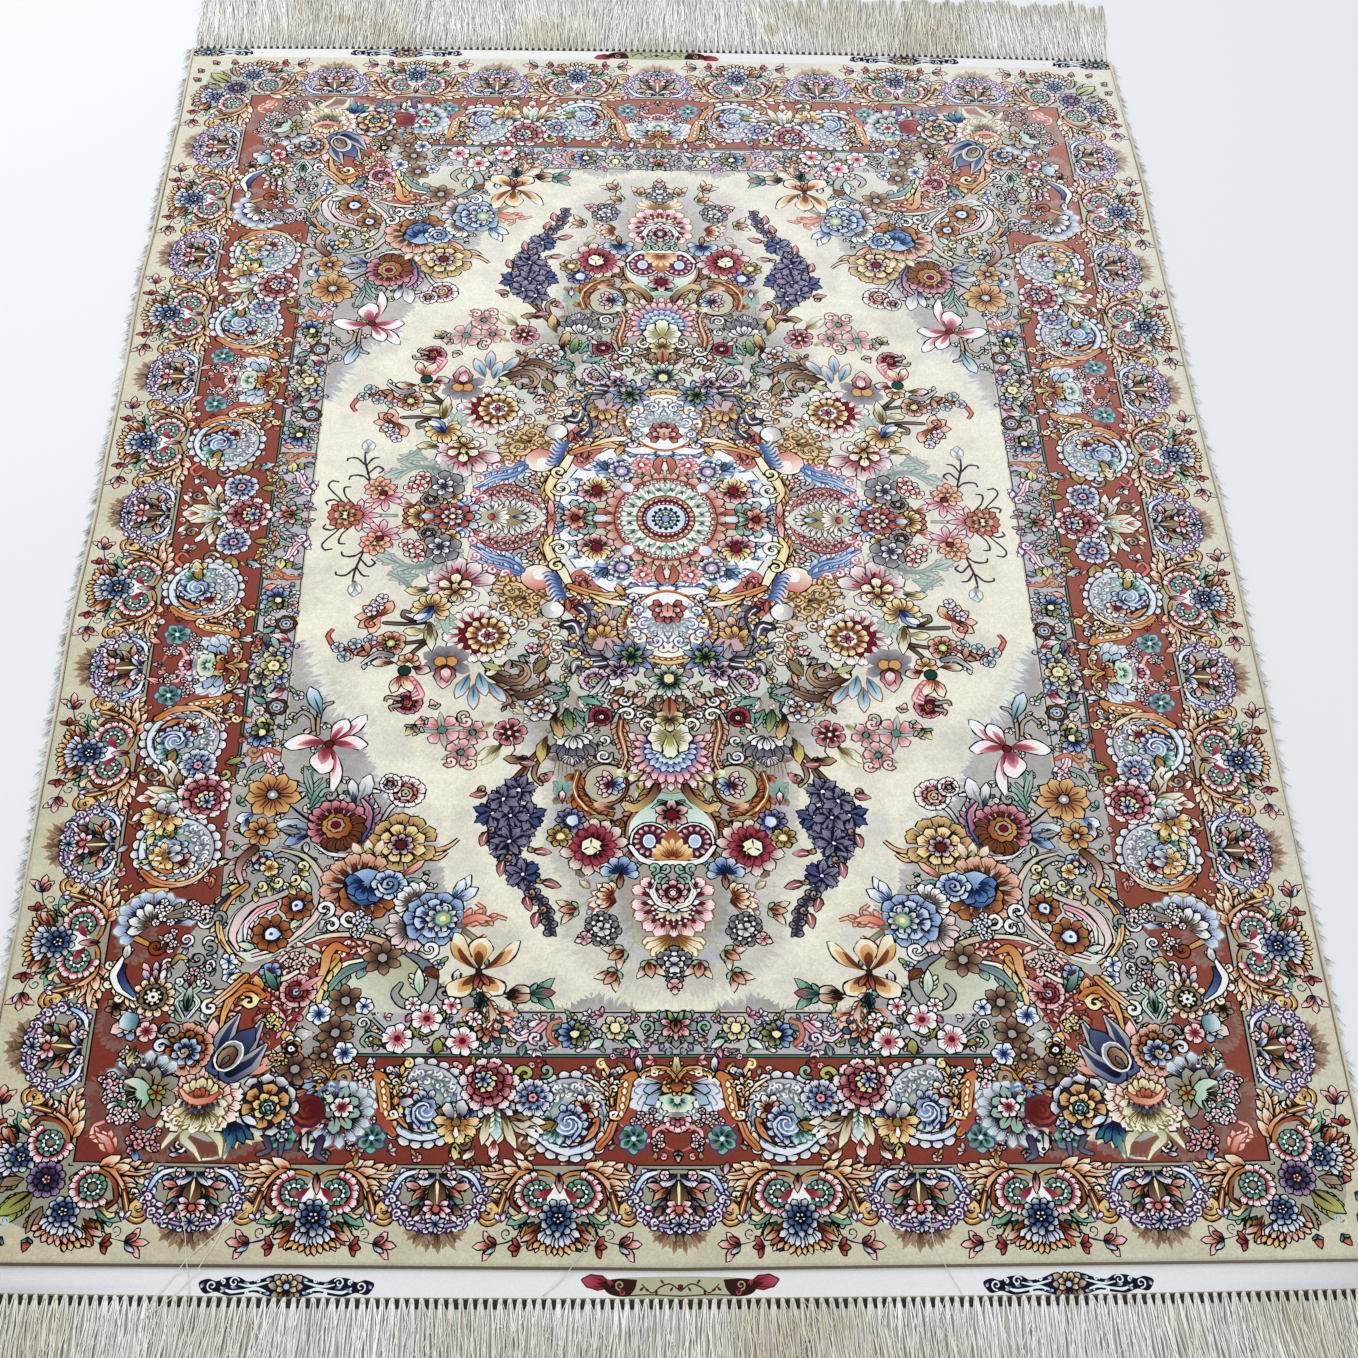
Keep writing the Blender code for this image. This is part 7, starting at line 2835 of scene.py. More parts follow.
# %% Draw and build the end strips
def tablet(x, ground, edge_tone, light, cup, cup_low, half=60):
    """A low scrolled tablet on the strip, with a rosette in its middle."""
    for side in (-1, 1):
        area([(x, 686.6), (x + side * 10, 685.8), (x + side * 18, 688.6), (x + side * 27, 690.2),
              (x + side * 33, 687.2), (x + side * 42, 687.6), (x + side * 48, 690.2),
              (x + side * 54, 688.6), (x + side * half, 691), (x + side * (half - 1), 695.4),
              (x + side * (half - 5), 699), (x + side * 48, 697.6), (x + side * 40, 700.2),
              (x + side * 30, 699.4), (x + side * 22, 697.6), (x + side * 12, 700.3), (x, 700)], ground)
        ribbon([(x + side * 14, 696.8), (x + side * 21, 695), (x + side * 29, 696.4),
                (x + side * 38, 697.4), (x + side * 45, 694.4)], (1.0, 2.2, 1.4, 2.0, 0.8), light,
               edge=None)
        ribbon([(x + side * 12, 690.4), (x + side * 19, 692.4), (x + side * 26, 693.4),
                (x + side * 33, 692)], (0.8, 1.5, 1.5, 0.7), light, edge=None)
        for px, py, size, turn, way in (
                (36, 690.8, 3.6, 200, 1), (51, 693.4, 3.8, 100, -1), (20, 689.6, 2.0, 20, -1),
                (44, 690.2, 1.8, 90, 1), (26.5, 698, 1.6, 240, 1)):
            curl(x + side * px, py, size, turn=turn if side > 0 else 180 - turn, way=way * side,
                 turns=1.15, width=1.1, tone=light, tip=light, edge=None)
        for px, py, a, length in (
                (40, 694, 35, 6), (30, 690.8, 160, 5), (16, 698.4, 190, 5), (33, 695, -20, 5),
                (56.5, 691.2, 60, 4), (9, 688.2, 15, 5)):
            petal(x + side * px, py, a if side > 0 else 180 - a, length, 2.2, edge_tone, light,
                  edge=None)
        dots(x + side * 22, 696.3, 5.2, 2.6, 6, 0.6, light, turn=20, span=200)
    whorl(x, 694, 8, 1, 12, 5.6, cup_low, "sand", edge=ground, turn=90, span=260)
    whorl(x, 692.5, 6, 0.5, 7.4, 3.8, "brown", cup, edge=ground, turn=-90, span=240)
    disc(x, 693.5, 2.0, "sky", edge=ground)


def middle_tablet():
    """The longer tablet in the middle: a plain ground with a leafy stem, and round ends."""
    for side in (-1, 1):
        petal(side * 44, 693.5, 90 - side * 108, 24, 11, "crimson", "rose", edge="wine",
              bend=0.1 * side)
    area([(-52, 690), (-40, 686.8), (0, 685.8), (40, 686.8), (52, 690), (49, 697), (36, 700),
          (0, 700.3), (-36, 700), (-49, 697)], "khaki")
    for side in (-1, 1):
        area([(side * 30, 688), (side * 44, 687.2), (side * 54, 690), (side * 50, 697.5),
              (side * 38, 699.6), (side * 32, 695)], "umber")
        curl(side * 42, 691.8, 3.4, turn=90 * side, way=-side, turns=1.2, width=1.1, tone="tan",
             tip="tan", edge=None)
        curl(side * 40, 696.6, 2.4, turn=-90 * side, way=side, turns=1.1, width=0.9, tone="wine",
             tip="rose", edge=None)
        petal(side * 46, 694, 90 - side * 150, 8, 3, "wine", "rose", edge=None)
        stem([(0, 696), (side * 7, 691), (side * 14, 693), (side * 20, 697), (side * 27, 691)], 1.1,
             "umber")
        for px, py, a in ((5, 692.5, 60), (11, 691.5, -50), (16, 695, 70), (21, 696.5, -30),
                          (25, 692.5, 50)):
            petal(side * px, py, a if side > 0 else 180 - a, 4.6, 1.8, "umber", "wine", edge=None)
    ribbon([(-40, 699), (-20, 698.2), (0, 699.3), (20, 698.2), (40, 699)], (0.9, 0.9), "umber",
           edge=None)
    disc(0, 693, 2.2, "wine", lobes=5)


def strip_drawing(far):
    """The shapes of one end strip."""
    shapes.clear()
    put([(-3, 680), (502, 680), (502, 703), (-3, 703)], "linen")
    middle_tablet()
    tablet(272, "tablet", "navy", "ice", "straw", "wine")
    if far:
        tablet(484, "tablet", "steel", "ice", "sky", "teal", 48)
    return list(shapes)


STRIP_MIDDLE = 691.2
strips = []
for end, end_name in ((-1, "near"), (1, "far")):
    flat_s, faces_s, tones_s = mosaic(
        (0, QUARTER_Y, QUARTER_X, QUARTER_END), strip_drawing(end > 0),
        [((0, STRIP_MIDDLE), (QUARTER_X, STRIP_MIDDLE))], 0.08, 0.1)
    spots = flat_s / 1000
    layout = np.vstack([np.column_stack((side * spots[:, 0], end * spots[:, 1])) for side in (-1, 1)])
    layout = np.column_stack((layout, np.full(len(layout), STRIP_TOP)))
    strips.append(cloth_mesh(
        f"end_strip_{end_name}", layout, np.vstack((faces_s, faces_s + len(spots))),
        np.concatenate((tones_s, tones_s)), STRIP_TOP - 0.0006,
        lambda x, y: abs(x) > HALF_WIDTH - 1e-5 or abs(y) > HALF_CLOTH - 1e-5))

# %% [markdown]
# ## Threads: one strand, many times
#
# Fringe, loose ends and the hairs of the selvedge are all cotton thread. One short
# three-sided rod is modelled, divided along its length, and laid along every path.
# A thousand copies stay light because each has only a few dozen faces.

# %% A strand laid along paths
def rod(rings, sides):
    """A closed straight rod: the ring and the place in it of each corner, and its faces."""
    bm = bmesh.new()
    bmesh.ops.create_cone(bm, cap_ends=True, segments=sides, radius1=1.0, radius2=1.0, depth=1.0)
    long_edges = [edge for edge in bm.edges if abs(edge.verts[0].co.z - edge.verts[1].co.z) > 0.5]
    bmesh.ops.subdivide_edges(bm, edges=long_edges, cuts=rings - 2)
    bmesh.ops.recalc_face_normals(bm, faces=bm.faces)
    corners = np.array([vert.co[:] for vert in bm.verts])
    faces = [[vert.index for vert in face.verts] for face in bm.faces]
    bm.free()
    return np.round((corners[:, 2] + 0.5) * (rings - 1)).astype(int), corners[:, :2], faces


def threads(name, paths, widths, sides=3, cell_columns=26, flat=1.0):
    """One object of strands.

    paths is (count, rings, 3) in metres, widths (count, rings) their radii, and flat says
    how high a strand is for its width.
    """
    count, rings = widths.shape
    ring, corner, faces = rod(rings, sides)
    slope = np.gradient(paths, axis=1)
    slope /= np.linalg.norm(slope, axis=2)[:, :, None]
    across = np.cross(slope, (0.0, 0.0, 1.0))
    across /= np.maximum(np.linalg.norm(across, axis=2), 1e-9)[:, :, None]
    up = np.cross(across, slope)
    round_it = corner[:, 0, None] * across[:, ring] + corner[:, 1, None] * flat * up[:, ring]
    at = paths[:, ring] + widths[:, ring, None] * round_it
    verts = at.reshape(-1, 3)
    size = len(ring)
    mesh = bpy.data.meshes.new(name)
    copies = [[n + k * size for n in face] for k in range(count) for face in faces]
    mesh.from_pydata(verts.tolist(), [], copies)
    lot = mesh.attributes.new("Thread", "FLOAT", "POINT")
    shades = np.random.default_rng(count).random(count)
    lot.data.foreach_set("value", np.repeat(shades, size).astype(np.float32))
    cell_rows = ceil(count / cell_columns)
    spots = []
    for k in range(count):
        u0, v0 = (k % cell_columns) / cell_columns, (k // cell_columns) / cell_rows
        for face in faces:
            angles = [np.arctan2(corner[n][1], corner[n][0]) for n in face]
            wrap = max(angles) - min(angles) > pi + 0.01 and len(face) == 4
            for n, angle in zip(face, angles):
                if wrap and angle < 0:
                    angle = angle + 2 * pi
                turn = (angle + pi) / (2 * pi + 2 * pi / sides)
                along = ring[n] / (rings - 1)
                if len(face) != 4:
                    turn, along = 0.95 + 0.02 * corner[n][0], 0.5 + 0.02 * corner[n][1]
                spots += [u0 + (0.04 + 0.9 * turn) / cell_columns,
                          v0 + (0.04 + 0.92 * along) / cell_rows]
    mesh.uv_layers.new(name="OFBake").data.foreach_set("uv", np.array(spots, np.float32))
    item = bpy.data.objects.new(name, mesh)
    bpy.context.scene.collection.objects.link(item)
    print(name, count, "strands,", len(mesh.polygons), "faces")
    return item


# %% [markdown]
# ## The knotted fringe
#
# Each end of the rug runs out in its own warps, tied in small knots right at the woven
# strip. Below a knot the threads fan out, cover the gap to the next one and lie on the
# floor, a little wavy and not quite in order. So each knot gets a head, a flat body of
# threads close to the floor, and a handful of single strands over it.

# %% Where each lock lies
KNOTS = 148
PITCH = PILE_WIDTH / KNOTS
PER_KNOT = 6                          # single strands of one knot
STRAYS = 90                           # strands of an end that lie across the others
FRINGE = 0.110
# height in metres, wavelength in knots and phase
SWAY = ((0.0075, 41.0, 0.3), (0.0022, 17.0, 1.1))
RAGGED = ((0.0040, 5.3, 0.0), (0.0030, 13.7, 2.0))


def rolling(table, index):
    """Sum of a few sines along the row of knots."""
    return sum(height * np.sin(2 * pi * index / knots + phase) for height, knots, phase in table)


def fringe(end, end_name, seed):
    """Bodies, threads, knots and the painted shadow under the knots of one end."""
    rng = np.random.default_rng(seed)
    index = np.arange(KNOTS)
    root = -HALF_WIDTH + PITCH * (index + 0.5)
    sway = rolling(SWAY, index + 19 * (end > 0)) + 0.006 * root / HALF_WIDTH
    sway = sway + rng.normal(0, 0.0016, KNOTS)
    length = FRINGE - 0.003 + rolling(RAGGED, index + 7 * (end > 0))
    start = HALF_CLOTH + GAP

    def lay(owner, spread, rings, wave, low, high, shorter):
        """Paths that leave the knots named in owner and wander towards the fringe's end."""
        count = len(owner)
        t = np.linspace(0, 1, rings)[None] ** 0.85
        fan = np.minimum(t / 0.13, 1) ** 0.8
        x = root[owner][:, None] + spread[:, None] * PITCH * (0.34 + 0.66 * fan)
        x = x + sway[owner][:, None] * t ** 1.5
        for turns, share in ((1.3, 1.0), (2.6, 0.6), (4.3, 0.35)):
            phase = rng.uniform(0, 2 * pi, (count, 1))
            pace = rng.uniform(0.8, 1.2, (count, 1))
            x += wave * share * np.minimum(t / 0.2, 1) * np.sin(2 * pi * turns * t * pace + phase)
        reach = (length[owner] * (1 - shorter * rng.random(count) ** 2))[:, None]
        y = end * (start + 0.0012 + reach * t)
        lift = rng.uniform(low, high, (count, 1))
        lift = lift * (1 + 0.25 * np.sin(2 * pi * 2.1 * t + rng.uniform(0, 6, (count, 1))))
        z = lift + (0.0021 - lift) * np.clip(1 - t / 0.1, 0, 1) ** 1.3
        spots = placed(np.column_stack((x.ravel(), y.ravel())))
        return np.column_stack((spots, z.ravel())).reshape(count, rings, 3)

    body = lay(np.repeat(index, 2), np.tile((-0.24, 0.24), KNOTS), rings=5, wave=0.0004,
               low=0.0006, high=0.0008, shorter=0.06)
    body_width = np.full((2 * KNOTS, 5), 0.0019) * np.array((0.5, 0.95, 1.0, 0.85, 0.35))
    body[:, :, 2] = 0.0008
    owner = np.repeat(index, PER_KNOT)
    spread = np.tile(np.linspace(-0.5, 0.5, PER_KNOT), KNOTS)
    spread = spread + rng.uniform(-0.12, 0.12, KNOTS * PER_KNOT)
    single = lay(owner, spread, rings=8, wave=0.0012, low=0.0010, high=0.0024, shorter=0.16)
    width = rng.uniform(0.00042, 0.00072, (len(owner), 1)) * np.array((1.05,) + (1.0,) * 5 + (0.8, 0.4))
    stray_owner = rng.integers(0, KNOTS, STRAYS)
    stray = lay(stray_owner, rng.uniform(-0.6, 0.6, STRAYS), rings=8, wave=0.0050,
                low=0.0024, high=0.0032, shorter=0.35)
    stray_width = rng.uniform(0.00028, 0.00040, (STRAYS, 1)) * np.array((1.0,) * 6 + (0.8, 0.4))
    under = threads(f"fringe_body_{end_name}", body, body_width, sides=4, flat=0.35)
    over = threads(f"fringe_threads_{end_name}", np.concatenate((single, stray)),
                   np.concatenate((width, stray_width)))

    heads = bmesh.new()
    for i in index.tolist():
        made = bmesh.ops.create_uvsphere(heads, u_segments=7, v_segments=4, radius=1.0)["verts"]
        turn = Matrix.Rotation(rng.uniform(-0.25, 0.25), 3, "Z")
        bmesh.ops.scale(heads, vec=(0.0017, 0.0024, 0.0012), verts=made)
        bmesh.ops.rotate(heads, cent=(0, 0, 0), matrix=turn, verts=made)
        spot = placed(np.array(((root[i] + rng.uniform(-0.0003, 0.0003), end * (start + 0.0019)),)))[0]
        bmesh.ops.translate(heads, vec=(spot[0], spot[1], 0.0023 + rng.uniform(-0.0001, 0.0002)),
                            verts=made)
    for face in heads.faces:
        face.smooth = True
    knots = link(f"fringe_knots_{end_name}", heads)

    # A thin dark strip at floor level under the knots: painted shadow in the gaps between them.
    shade = bmesh.new()
    bmesh.ops.create_grid(shade, x_segments=KNOTS, y_segments=1, size=1.0)
    bmesh.ops.scale(shade, vec=(HALF_WIDTH - 0.0006, 0.0032, 1.0), verts=shade.verts)
    bmesh.ops.translate(shade, vec=(0, end * (start + 0.0035), 0.0007), verts=shade.verts)
    spots = placed(np.array([vert.co[:2] for vert in shade.verts]))
    for vert, spot in zip(shade.verts, spots.tolist()):
        vert.co.x, vert.co.y = spot
    rim = bmesh.ops.extrude_face_region(shade, geom=list(shade.faces), use_keep_orig=True)
    for part in rim["geom"]:
        if isinstance(part, bmesh.types.BMVert):
            part.co.z = 0.0002
    bmesh.ops.recalc_face_normals(shade, faces=shade.faces)
    painted_shadow_strip = link(f"fringe_painted_shadow_{end_name}", shade)
    print("fringe", end_name, "tips reach", float(np.abs(single[:, -1, 1]).max()))
    return [under, over, knots, painted_shadow_strip]


fringes = {"near": fringe(-1, "near", 11), "far": fringe(1, "far", 23)}

# %% [markdown]
# ## The overcast sides
#
# Both long sides are closed with a cord of cotton, wrapped round and round with thread.
# A round bar follows the edge, and hundreds of short oblique hairs, the clipped ends of
# the wefts, stand out from it. They show most on the left side.

# %% Cords and hairs
CORD_RADIUS = 0.0018
CORD_RINGS = 180


def side_path(side, y, out):
    """Points beside the woven edge, out metres away from it."""
    spots = placed(np.column_stack((np.full(len(y), side * HALF_WIDTH), y)))
    spots[:, 0] += side * out
    return spots


def selvedge(side, side_name, hairs, seed):
    """The cord of one side and its hairs."""
    rng = np.random.default_rng(seed)
    y = np.linspace(-HALF_CLOTH, HALF_CLOTH, CORD_RINGS)
    wobble = 0.00012 * np.sin(y * 410) + 0.00010 * np.sin(y * 153 + 1)
    height = np.full(CORD_RINGS, CORD_RADIUS) + 0.00008
    path = np.column_stack((side_path(side, y, GAP + CORD_RADIUS), height))
    cord = threads(f"selvedge_cord_{side_name}", path[None], (CORD_RADIUS + wobble * 0.6)[None],
                   sides=9, cell_columns=1)
    root_y = np.sort(rng.uniform(-HALF_CLOTH, HALF_CLOTH, hairs))
    lean = np.where(rng.random(hairs) < 0.85, 1, -1) * rng.uniform(0.3, 1.3, hairs)
    size = rng.uniform(0.005, 0.0115, hairs)
    t = np.linspace(0, 1, 4)[None]
    slant = np.sqrt(1 + lean[:, None] ** 2)
    out = CORD_RADIUS * 1.2 + size[:, None] * t / slant
    along = -size[:, None] * t * lean[:, None] / slant
    along = along + 0.001 * t ** 2 * rng.uniform(-1, 1, (hairs, 1))
    base = side_path(side, root_y, 0.0)
    hair = np.stack((base[:, 0, None] + side * out, base[:, 1, None] + along,
                     0.0031 - 0.0026 * t ** 0.8 + np.zeros_like(out)), axis=2)
    width = rng.uniform(0.00018, 0.00034, (hairs, 1)) * np.array((1.0, 0.9, 0.7, 0.25))
    return [cord, threads(f"selvedge_hairs_{side_name}", hair, width)]


sides = {"left": selvedge(-1, "left", 860, 5), "right": selvedge(1, "right", 300, 6)}

# %% [markdown]
# A few long cream threads have come loose and lie across the near border.

# %% Loose threads
rng = np.random.default_rng(3)
loose = []
for x0, y0, x1, y1, bow in (
        (-372, -722, -318, -652, 9), (-366, -712, -300, -640, -7), (-352, -640, -338, -712, 4),
        (196, -700, 176, -640, -5), (-60, -655, -96, -700, 5)):
    t = np.linspace(0, 1, 12)
    x = x0 + (x1 - x0) * t + bow * np.sin(pi * t) + 0.8 * np.sin(9 * t)
    y = y0 + (y1 - y0) * t + 0.8 * np.sin(7 * t + 1)
    edge = np.clip((QUARTER_Y - np.abs(y)) / 8 + 0.5, 0, 1)
    z = 0.0033 + 0.0045 * edge
    loose.append(np.column_stack((placed(np.column_stack((x, y)) / 1000), z)))
loose = threads("loose_threads", np.array(loose), np.full((len(loose), 12), 0.00038), cell_columns=2)

# %% [markdown]
# ## Wool, cotton and thread
#
# Wool pile is matt with a soft sheen at a grazing angle. Seen close it is a field of
# knots, each a tuft of a slightly different shade, and whole rows drift in colour
# because the dye changed from lot to lot. One node group makes these knots, and it is
# used by the pile, the back and the end strips, each with its own values.

# %% Node groups
def new_group(name, inputs, outputs):
    """An empty node group with its inputs and outputs."""
    group = bpy.data.node_groups.new(name, "ShaderNodeTree")
    for title, kind, value in inputs:
        socket = group.interface.new_socket(name=title, in_out="INPUT", socket_type=kind)
        if value is not None:
            socket.default_value = value
    for title, kind in outputs:
        group.interface.new_socket(name=title, in_out="OUTPUT", socket_type=kind)
    return group, group.nodes.new("NodeGroupInput"), group.nodes.new("NodeGroupOutput")


def node(tree, kind, links=None, **values):
    """A node with its properties and socket values set, and its inputs linked."""
    made = tree.nodes.new(kind)
    for key, value in values.items():
        if key in made.bl_rna.properties:
            setattr(made, key, value)
        else:
            made.inputs[key.replace("_", " ")].default_value = value
    for key, source in (links or {}).items():
        tree.links.new(source, made.inputs[key])
    return made


def maths(tree, operation, a, b=None):
    """A maths node; each operand is a number or a socket."""
    made = tree.nodes.new("ShaderNodeMath")
    made.operation = operation
    for socket, value in zip(made.inputs, (a, b)):
        if value is None:
            continue
        if isinstance(value, (int, float)):
            socket.default_value = value
        else:
            tree.links.new(value, socket)
    return made.outputs[0]


def linear(tone):
    """A palette tone as the linear colour that a shader wants."""
    value = np.array(PALETTE.get(tone, tone), float) / 255
    return (*np.where(value <= 0.04045, value / 12.92, ((value + 0.055) / 1.055) ** 2.4).tolist(), 1.0)


def knotted_group():
    """Knots in rows: a tone round 1 for the colour, with painted shade between the tufts, and a height
    for the bump.
    """
    group, given, result = new_group(
        "knotted_rows",
        (("Vector", "NodeSocketVector", None), ("Knots per metre", "NodeSocketFloat", 700.0),
         ("Tone spread", "NodeSocketFloat", 0.12), ("Row drift", "NodeSocketFloat", 0.06)),
        (("Tone", "NodeSocketFloat"), ("Height", "NodeSocketFloat")))
    place, count = given.outputs["Vector"], given.outputs["Knots per metre"]
    cells = node(group, "ShaderNodeTexVoronoi", {"Vector": place, "Scale": count}, Randomness=0.45)
    tuft = maths(group, "SUBTRACT", 1.0, maths(group, "MULTIPLY", cells.outputs["Distance"], 1.1))
    fine = maths(group, "MULTIPLY", count, 2.6)
    fibres = node(group, "ShaderNodeTexNoise", {"Vector": place, "Scale": fine}, Detail=2.0)
    height = maths(group, "ADD", tuft, maths(group, "MULTIPLY", fibres.outputs["Fac"], 0.5))
    lot = node(group, "ShaderNodeSeparateColor", {"Color": cells.outputs["Color"]})
    shade = maths(group, "SUBTRACT", lot.outputs["Red"], 0.5)
    spread = maths(group, "MULTIPLY", shade, given.outputs["Tone spread"])
    rows = node(group, "ShaderNodeMapping", {"Vector": place}, Scale=(5.0, 90.0, 1.0))
    drift = node(group, "ShaderNodeTexNoise", {"Vector": rows.outputs["Vector"]}, Scale=1.0, Detail=3.0)
    wide = node(group, "ShaderNodeTexNoise", {"Vector": place}, Scale=7.0, Detail=2.0)
    by_row = maths(group, "SUBTRACT", drift.outputs["Fac"], 0.5)
    by_place = maths(group, "SUBTRACT", wide.outputs["Fac"], 0.5)
    both = maths(group, "ADD", by_row, by_place)
    drifted = maths(group, "MULTIPLY", both, given.outputs["Row drift"])
    tone = maths(group, "ADD", 1.0, maths(group, "ADD", spread, drifted))
    # Darker where the height is low: painted shade between the tufts, and partly random fibre tone from
    # the noise in the height.
    painted_tuft_shade = maths(group, "ADD", 0.90, maths(group, "MULTIPLY", height, 0.09))
    tone_with_painted_shade = maths(group, "MULTIPLY", tone, painted_tuft_shade)
    group.links.new(tone_with_painted_shade, result.inputs["Tone"])
    group.links.new(height, result.inputs["Height"])
    return group


def thread_group():
    """Twist of a thread along its length, with a painted highlight on its ridges, its own shade, and
    stained patches.
    """
    group, given, result = new_group(
        "cotton_thread",
        (("Vector", "NodeSocketVector", None), ("Lot", "NodeSocketFloat", 0.5),
         ("Twists per metre", "NodeSocketFloat", 900.0)),
        (("Tone", "NodeSocketFloat"), ("Height", "NodeSocketFloat"), ("Stain", "NodeSocketFloat")))
    place = given.outputs["Vector"]
    skew = node(group, "ShaderNodeMapping", {"Vector": place}, Rotation=(0.0, 0.0, 0.6))
    pace = maths(group, "MULTIPLY", given.outputs["Twists per metre"], 0.16)
    twist = node(group, "ShaderNodeTexWave", {"Vector": skew.outputs["Vector"], "Scale": pace},
                 Distortion=1.5, Detail=1.0)
    soil = node(group, "ShaderNodeTexNoise", {"Vector": place}, Scale=26.0, Detail=3.0)
    tone = maths(group, "ADD", 0.90, maths(group, "MULTIPLY", given.outputs["Lot"], 0.2))
    soiled = maths(group, "MULTIPLY", maths(group, "SUBTRACT", soil.outputs["Fac"], 0.5), 0.22)
    tone = maths(group, "ADD", tone, soiled)
    # Lighter on the ridges of the twist: painted highlight.
    tone = maths(group, "ADD", tone, maths(group, "MULTIPLY", twist.outputs["Fac"], 0.08))
    stained = None
    for scale, low, high, share in ((5.5, 0.46, 0.62, 0.45), (19.0, 0.64, 0.74, 0.6)):
        stain = node(group, "ShaderNodeTexNoise", {"Vector": place}, Scale=scale, Detail=2.0)
        mask = node(group, "ShaderNodeMapRange", {"Value": stain.outputs["Fac"]}, From_Min=low,
                    From_Max=high)
        amount = maths(group, "MULTIPLY", mask.outputs["Result"], share)
        stained = amount if stained is None else maths(group, "MAXIMUM", stained, amount)
    group.links.new(tone, result.inputs["Tone"])
    group.links.new(twist.outputs["Fac"], result.inputs["Height"])
    group.links.new(stained, result.inputs["Stain"])
    return group


def washed_group():
    """Soft ground: a pattern colour that clouds over to cream and to a grey where it is soft."""
    group, given, result = new_group(
        "washed_ground",
        (("Vector", "NodeSocketVector", None), ("Pattern", "NodeSocketColor", (0.5, 0.5, 0.5, 1.0)),
         ("Softness", "NodeSocketFloat", 0.0), ("Cream", "NodeSocketColor", linear((243, 238, 217))),
         ("Shade", "NodeSocketColor", linear((192, 190, 174)))), (("Colour", "NodeSocketColor"),))
    place, softness = given.outputs["Vector"], given.outputs["Softness"]
    colour = given.outputs["Pattern"]
    streaks = node(group, "ShaderNodeMapping", {"Vector": place}, Scale=(1.0, 2.4, 1.0))
    for tone, scale, low, high, share, spot in (
            ("Cream", 24.0, 0.42, 0.60, 0.75, place), ("Shade", 15.0, 0.52, 0.70, 0.6, place),
            ("Cream", 75.0, 0.56, 0.66, 0.5, streaks.outputs["Vector"])):
        cloud = node(group, "ShaderNodeTexNoise", {"Vector": spot}, Scale=scale, Detail=4.0,
                     Roughness=0.6)
        mask = node(group, "ShaderNodeMapRange", {"Value": cloud.outputs["Fac"]}, From_Min=low,
                    From_Max=high)
        amount = maths(group, "MULTIPLY", maths(group, "MULTIPLY", mask.outputs["Result"], share),
                       softness)
        mixed = node(group, "ShaderNodeMix", {"Factor": amount}, data_type="RGBA")
        group.links.new(colour, mixed.inputs[6])
        group.links.new(given.outputs[tone], mixed.inputs[7])
        colour = mixed.outputs[2]
    group.links.new(colour, result.inputs["Colour"])
    return group


KNOTTED = knotted_group()
THREAD = thread_group()
WASHED = washed_group()


def finish(name, roughness, sheen, bump, distance):
    """A new matt material, with its tree, shader, coordinates and bump node."""
    material = bpy.data.materials.new(name)
    material.use_nodes = True
    tree = material.node_tree
    shader = tree.nodes["Principled BSDF"]
    shader.inputs["Roughness"].default_value = roughness
    shader.inputs["Specular IOR Level"].default_value = 0.1
    shader.inputs["Sheen Weight"].default_value = sheen
    shader.inputs["Sheen Roughness"].default_value = 0.5
    coordinates = tree.nodes.new("ShaderNodeTexCoord")
    raised = tree.nodes.new("ShaderNodeBump")
    raised.inputs["Strength"].default_value = bump
    raised.inputs["Distance"].default_value = distance
    tree.links.new(raised.outputs["Normal"], shader.inputs["Normal"])
    return material, tree, shader, coordinates.outputs["Object"], raised


def scaled(tree, colour, tone):
    """A colour socket times a tone round 1."""
    product = tree.nodes.new("ShaderNodeVectorMath")
    product.operation = "SCALE"
    tree.links.new(colour, product.inputs[0])
    tree.links.new(tone, product.inputs["Scale"])
    return product.outputs["Vector"]


def knotted(name, knots, spread, drift, roughness, sheen, bump, distance):
    """Pile, strip and canvas: the drawn pattern, broken up into knots."""
    material, tree, shader, place, raised = finish(name, roughness, sheen, bump, distance)
    rows = tree.nodes.new("ShaderNodeGroup")
    rows.node_tree = KNOTTED
    tree.links.new(place, rows.inputs["Vector"])
    rows.inputs["Knots per metre"].default_value = knots
    rows.inputs["Tone spread"].default_value = spread
    rows.inputs["Row drift"].default_value = drift
    pattern = node(tree, "ShaderNodeAttribute", attribute_name="Pattern")
    ground = tree.nodes.new("ShaderNodeGroup")
    ground.node_tree = WASHED
    tree.links.new(place, ground.inputs["Vector"])
    tree.links.new(pattern.outputs["Color"], ground.inputs["Pattern"])
    tree.links.new(pattern.outputs["Alpha"], ground.inputs["Softness"])
    tree.links.new(scaled(tree, ground.outputs["Colour"], rows.outputs["Tone"]),
                   shader.inputs["Base Color"])
    tree.links.new(rows.outputs["Height"], raised.inputs["Height"])
    return material


def thread(name, tone, stain):
    """Cotton thread of a tone, with stained patches."""
    material, tree, shader, place, raised = finish(name, roughness=0.8, sheen=0.15, bump=0.4,
                                                   distance=0.0002)
    twist = tree.nodes.new("ShaderNodeGroup")
    twist.node_tree = THREAD
    tree.links.new(place, twist.inputs["Vector"])
    lot = node(tree, "ShaderNodeAttribute", attribute_name="Thread")
    tree.links.new(lot.outputs["Fac"], twist.inputs["Lot"])
    mixed = node(tree, "ShaderNodeMix", {"Factor": twist.outputs["Stain"]}, data_type="RGBA")
    mixed.inputs[6].default_value = linear(tone)
    mixed.inputs[7].default_value = linear(stain)
    tree.links.new(scaled(tree, mixed.outputs[2], twist.outputs["Tone"]), shader.inputs["Base Color"])
    tree.links.new(twist.outputs["Height"], raised.inputs["Height"])
    return material


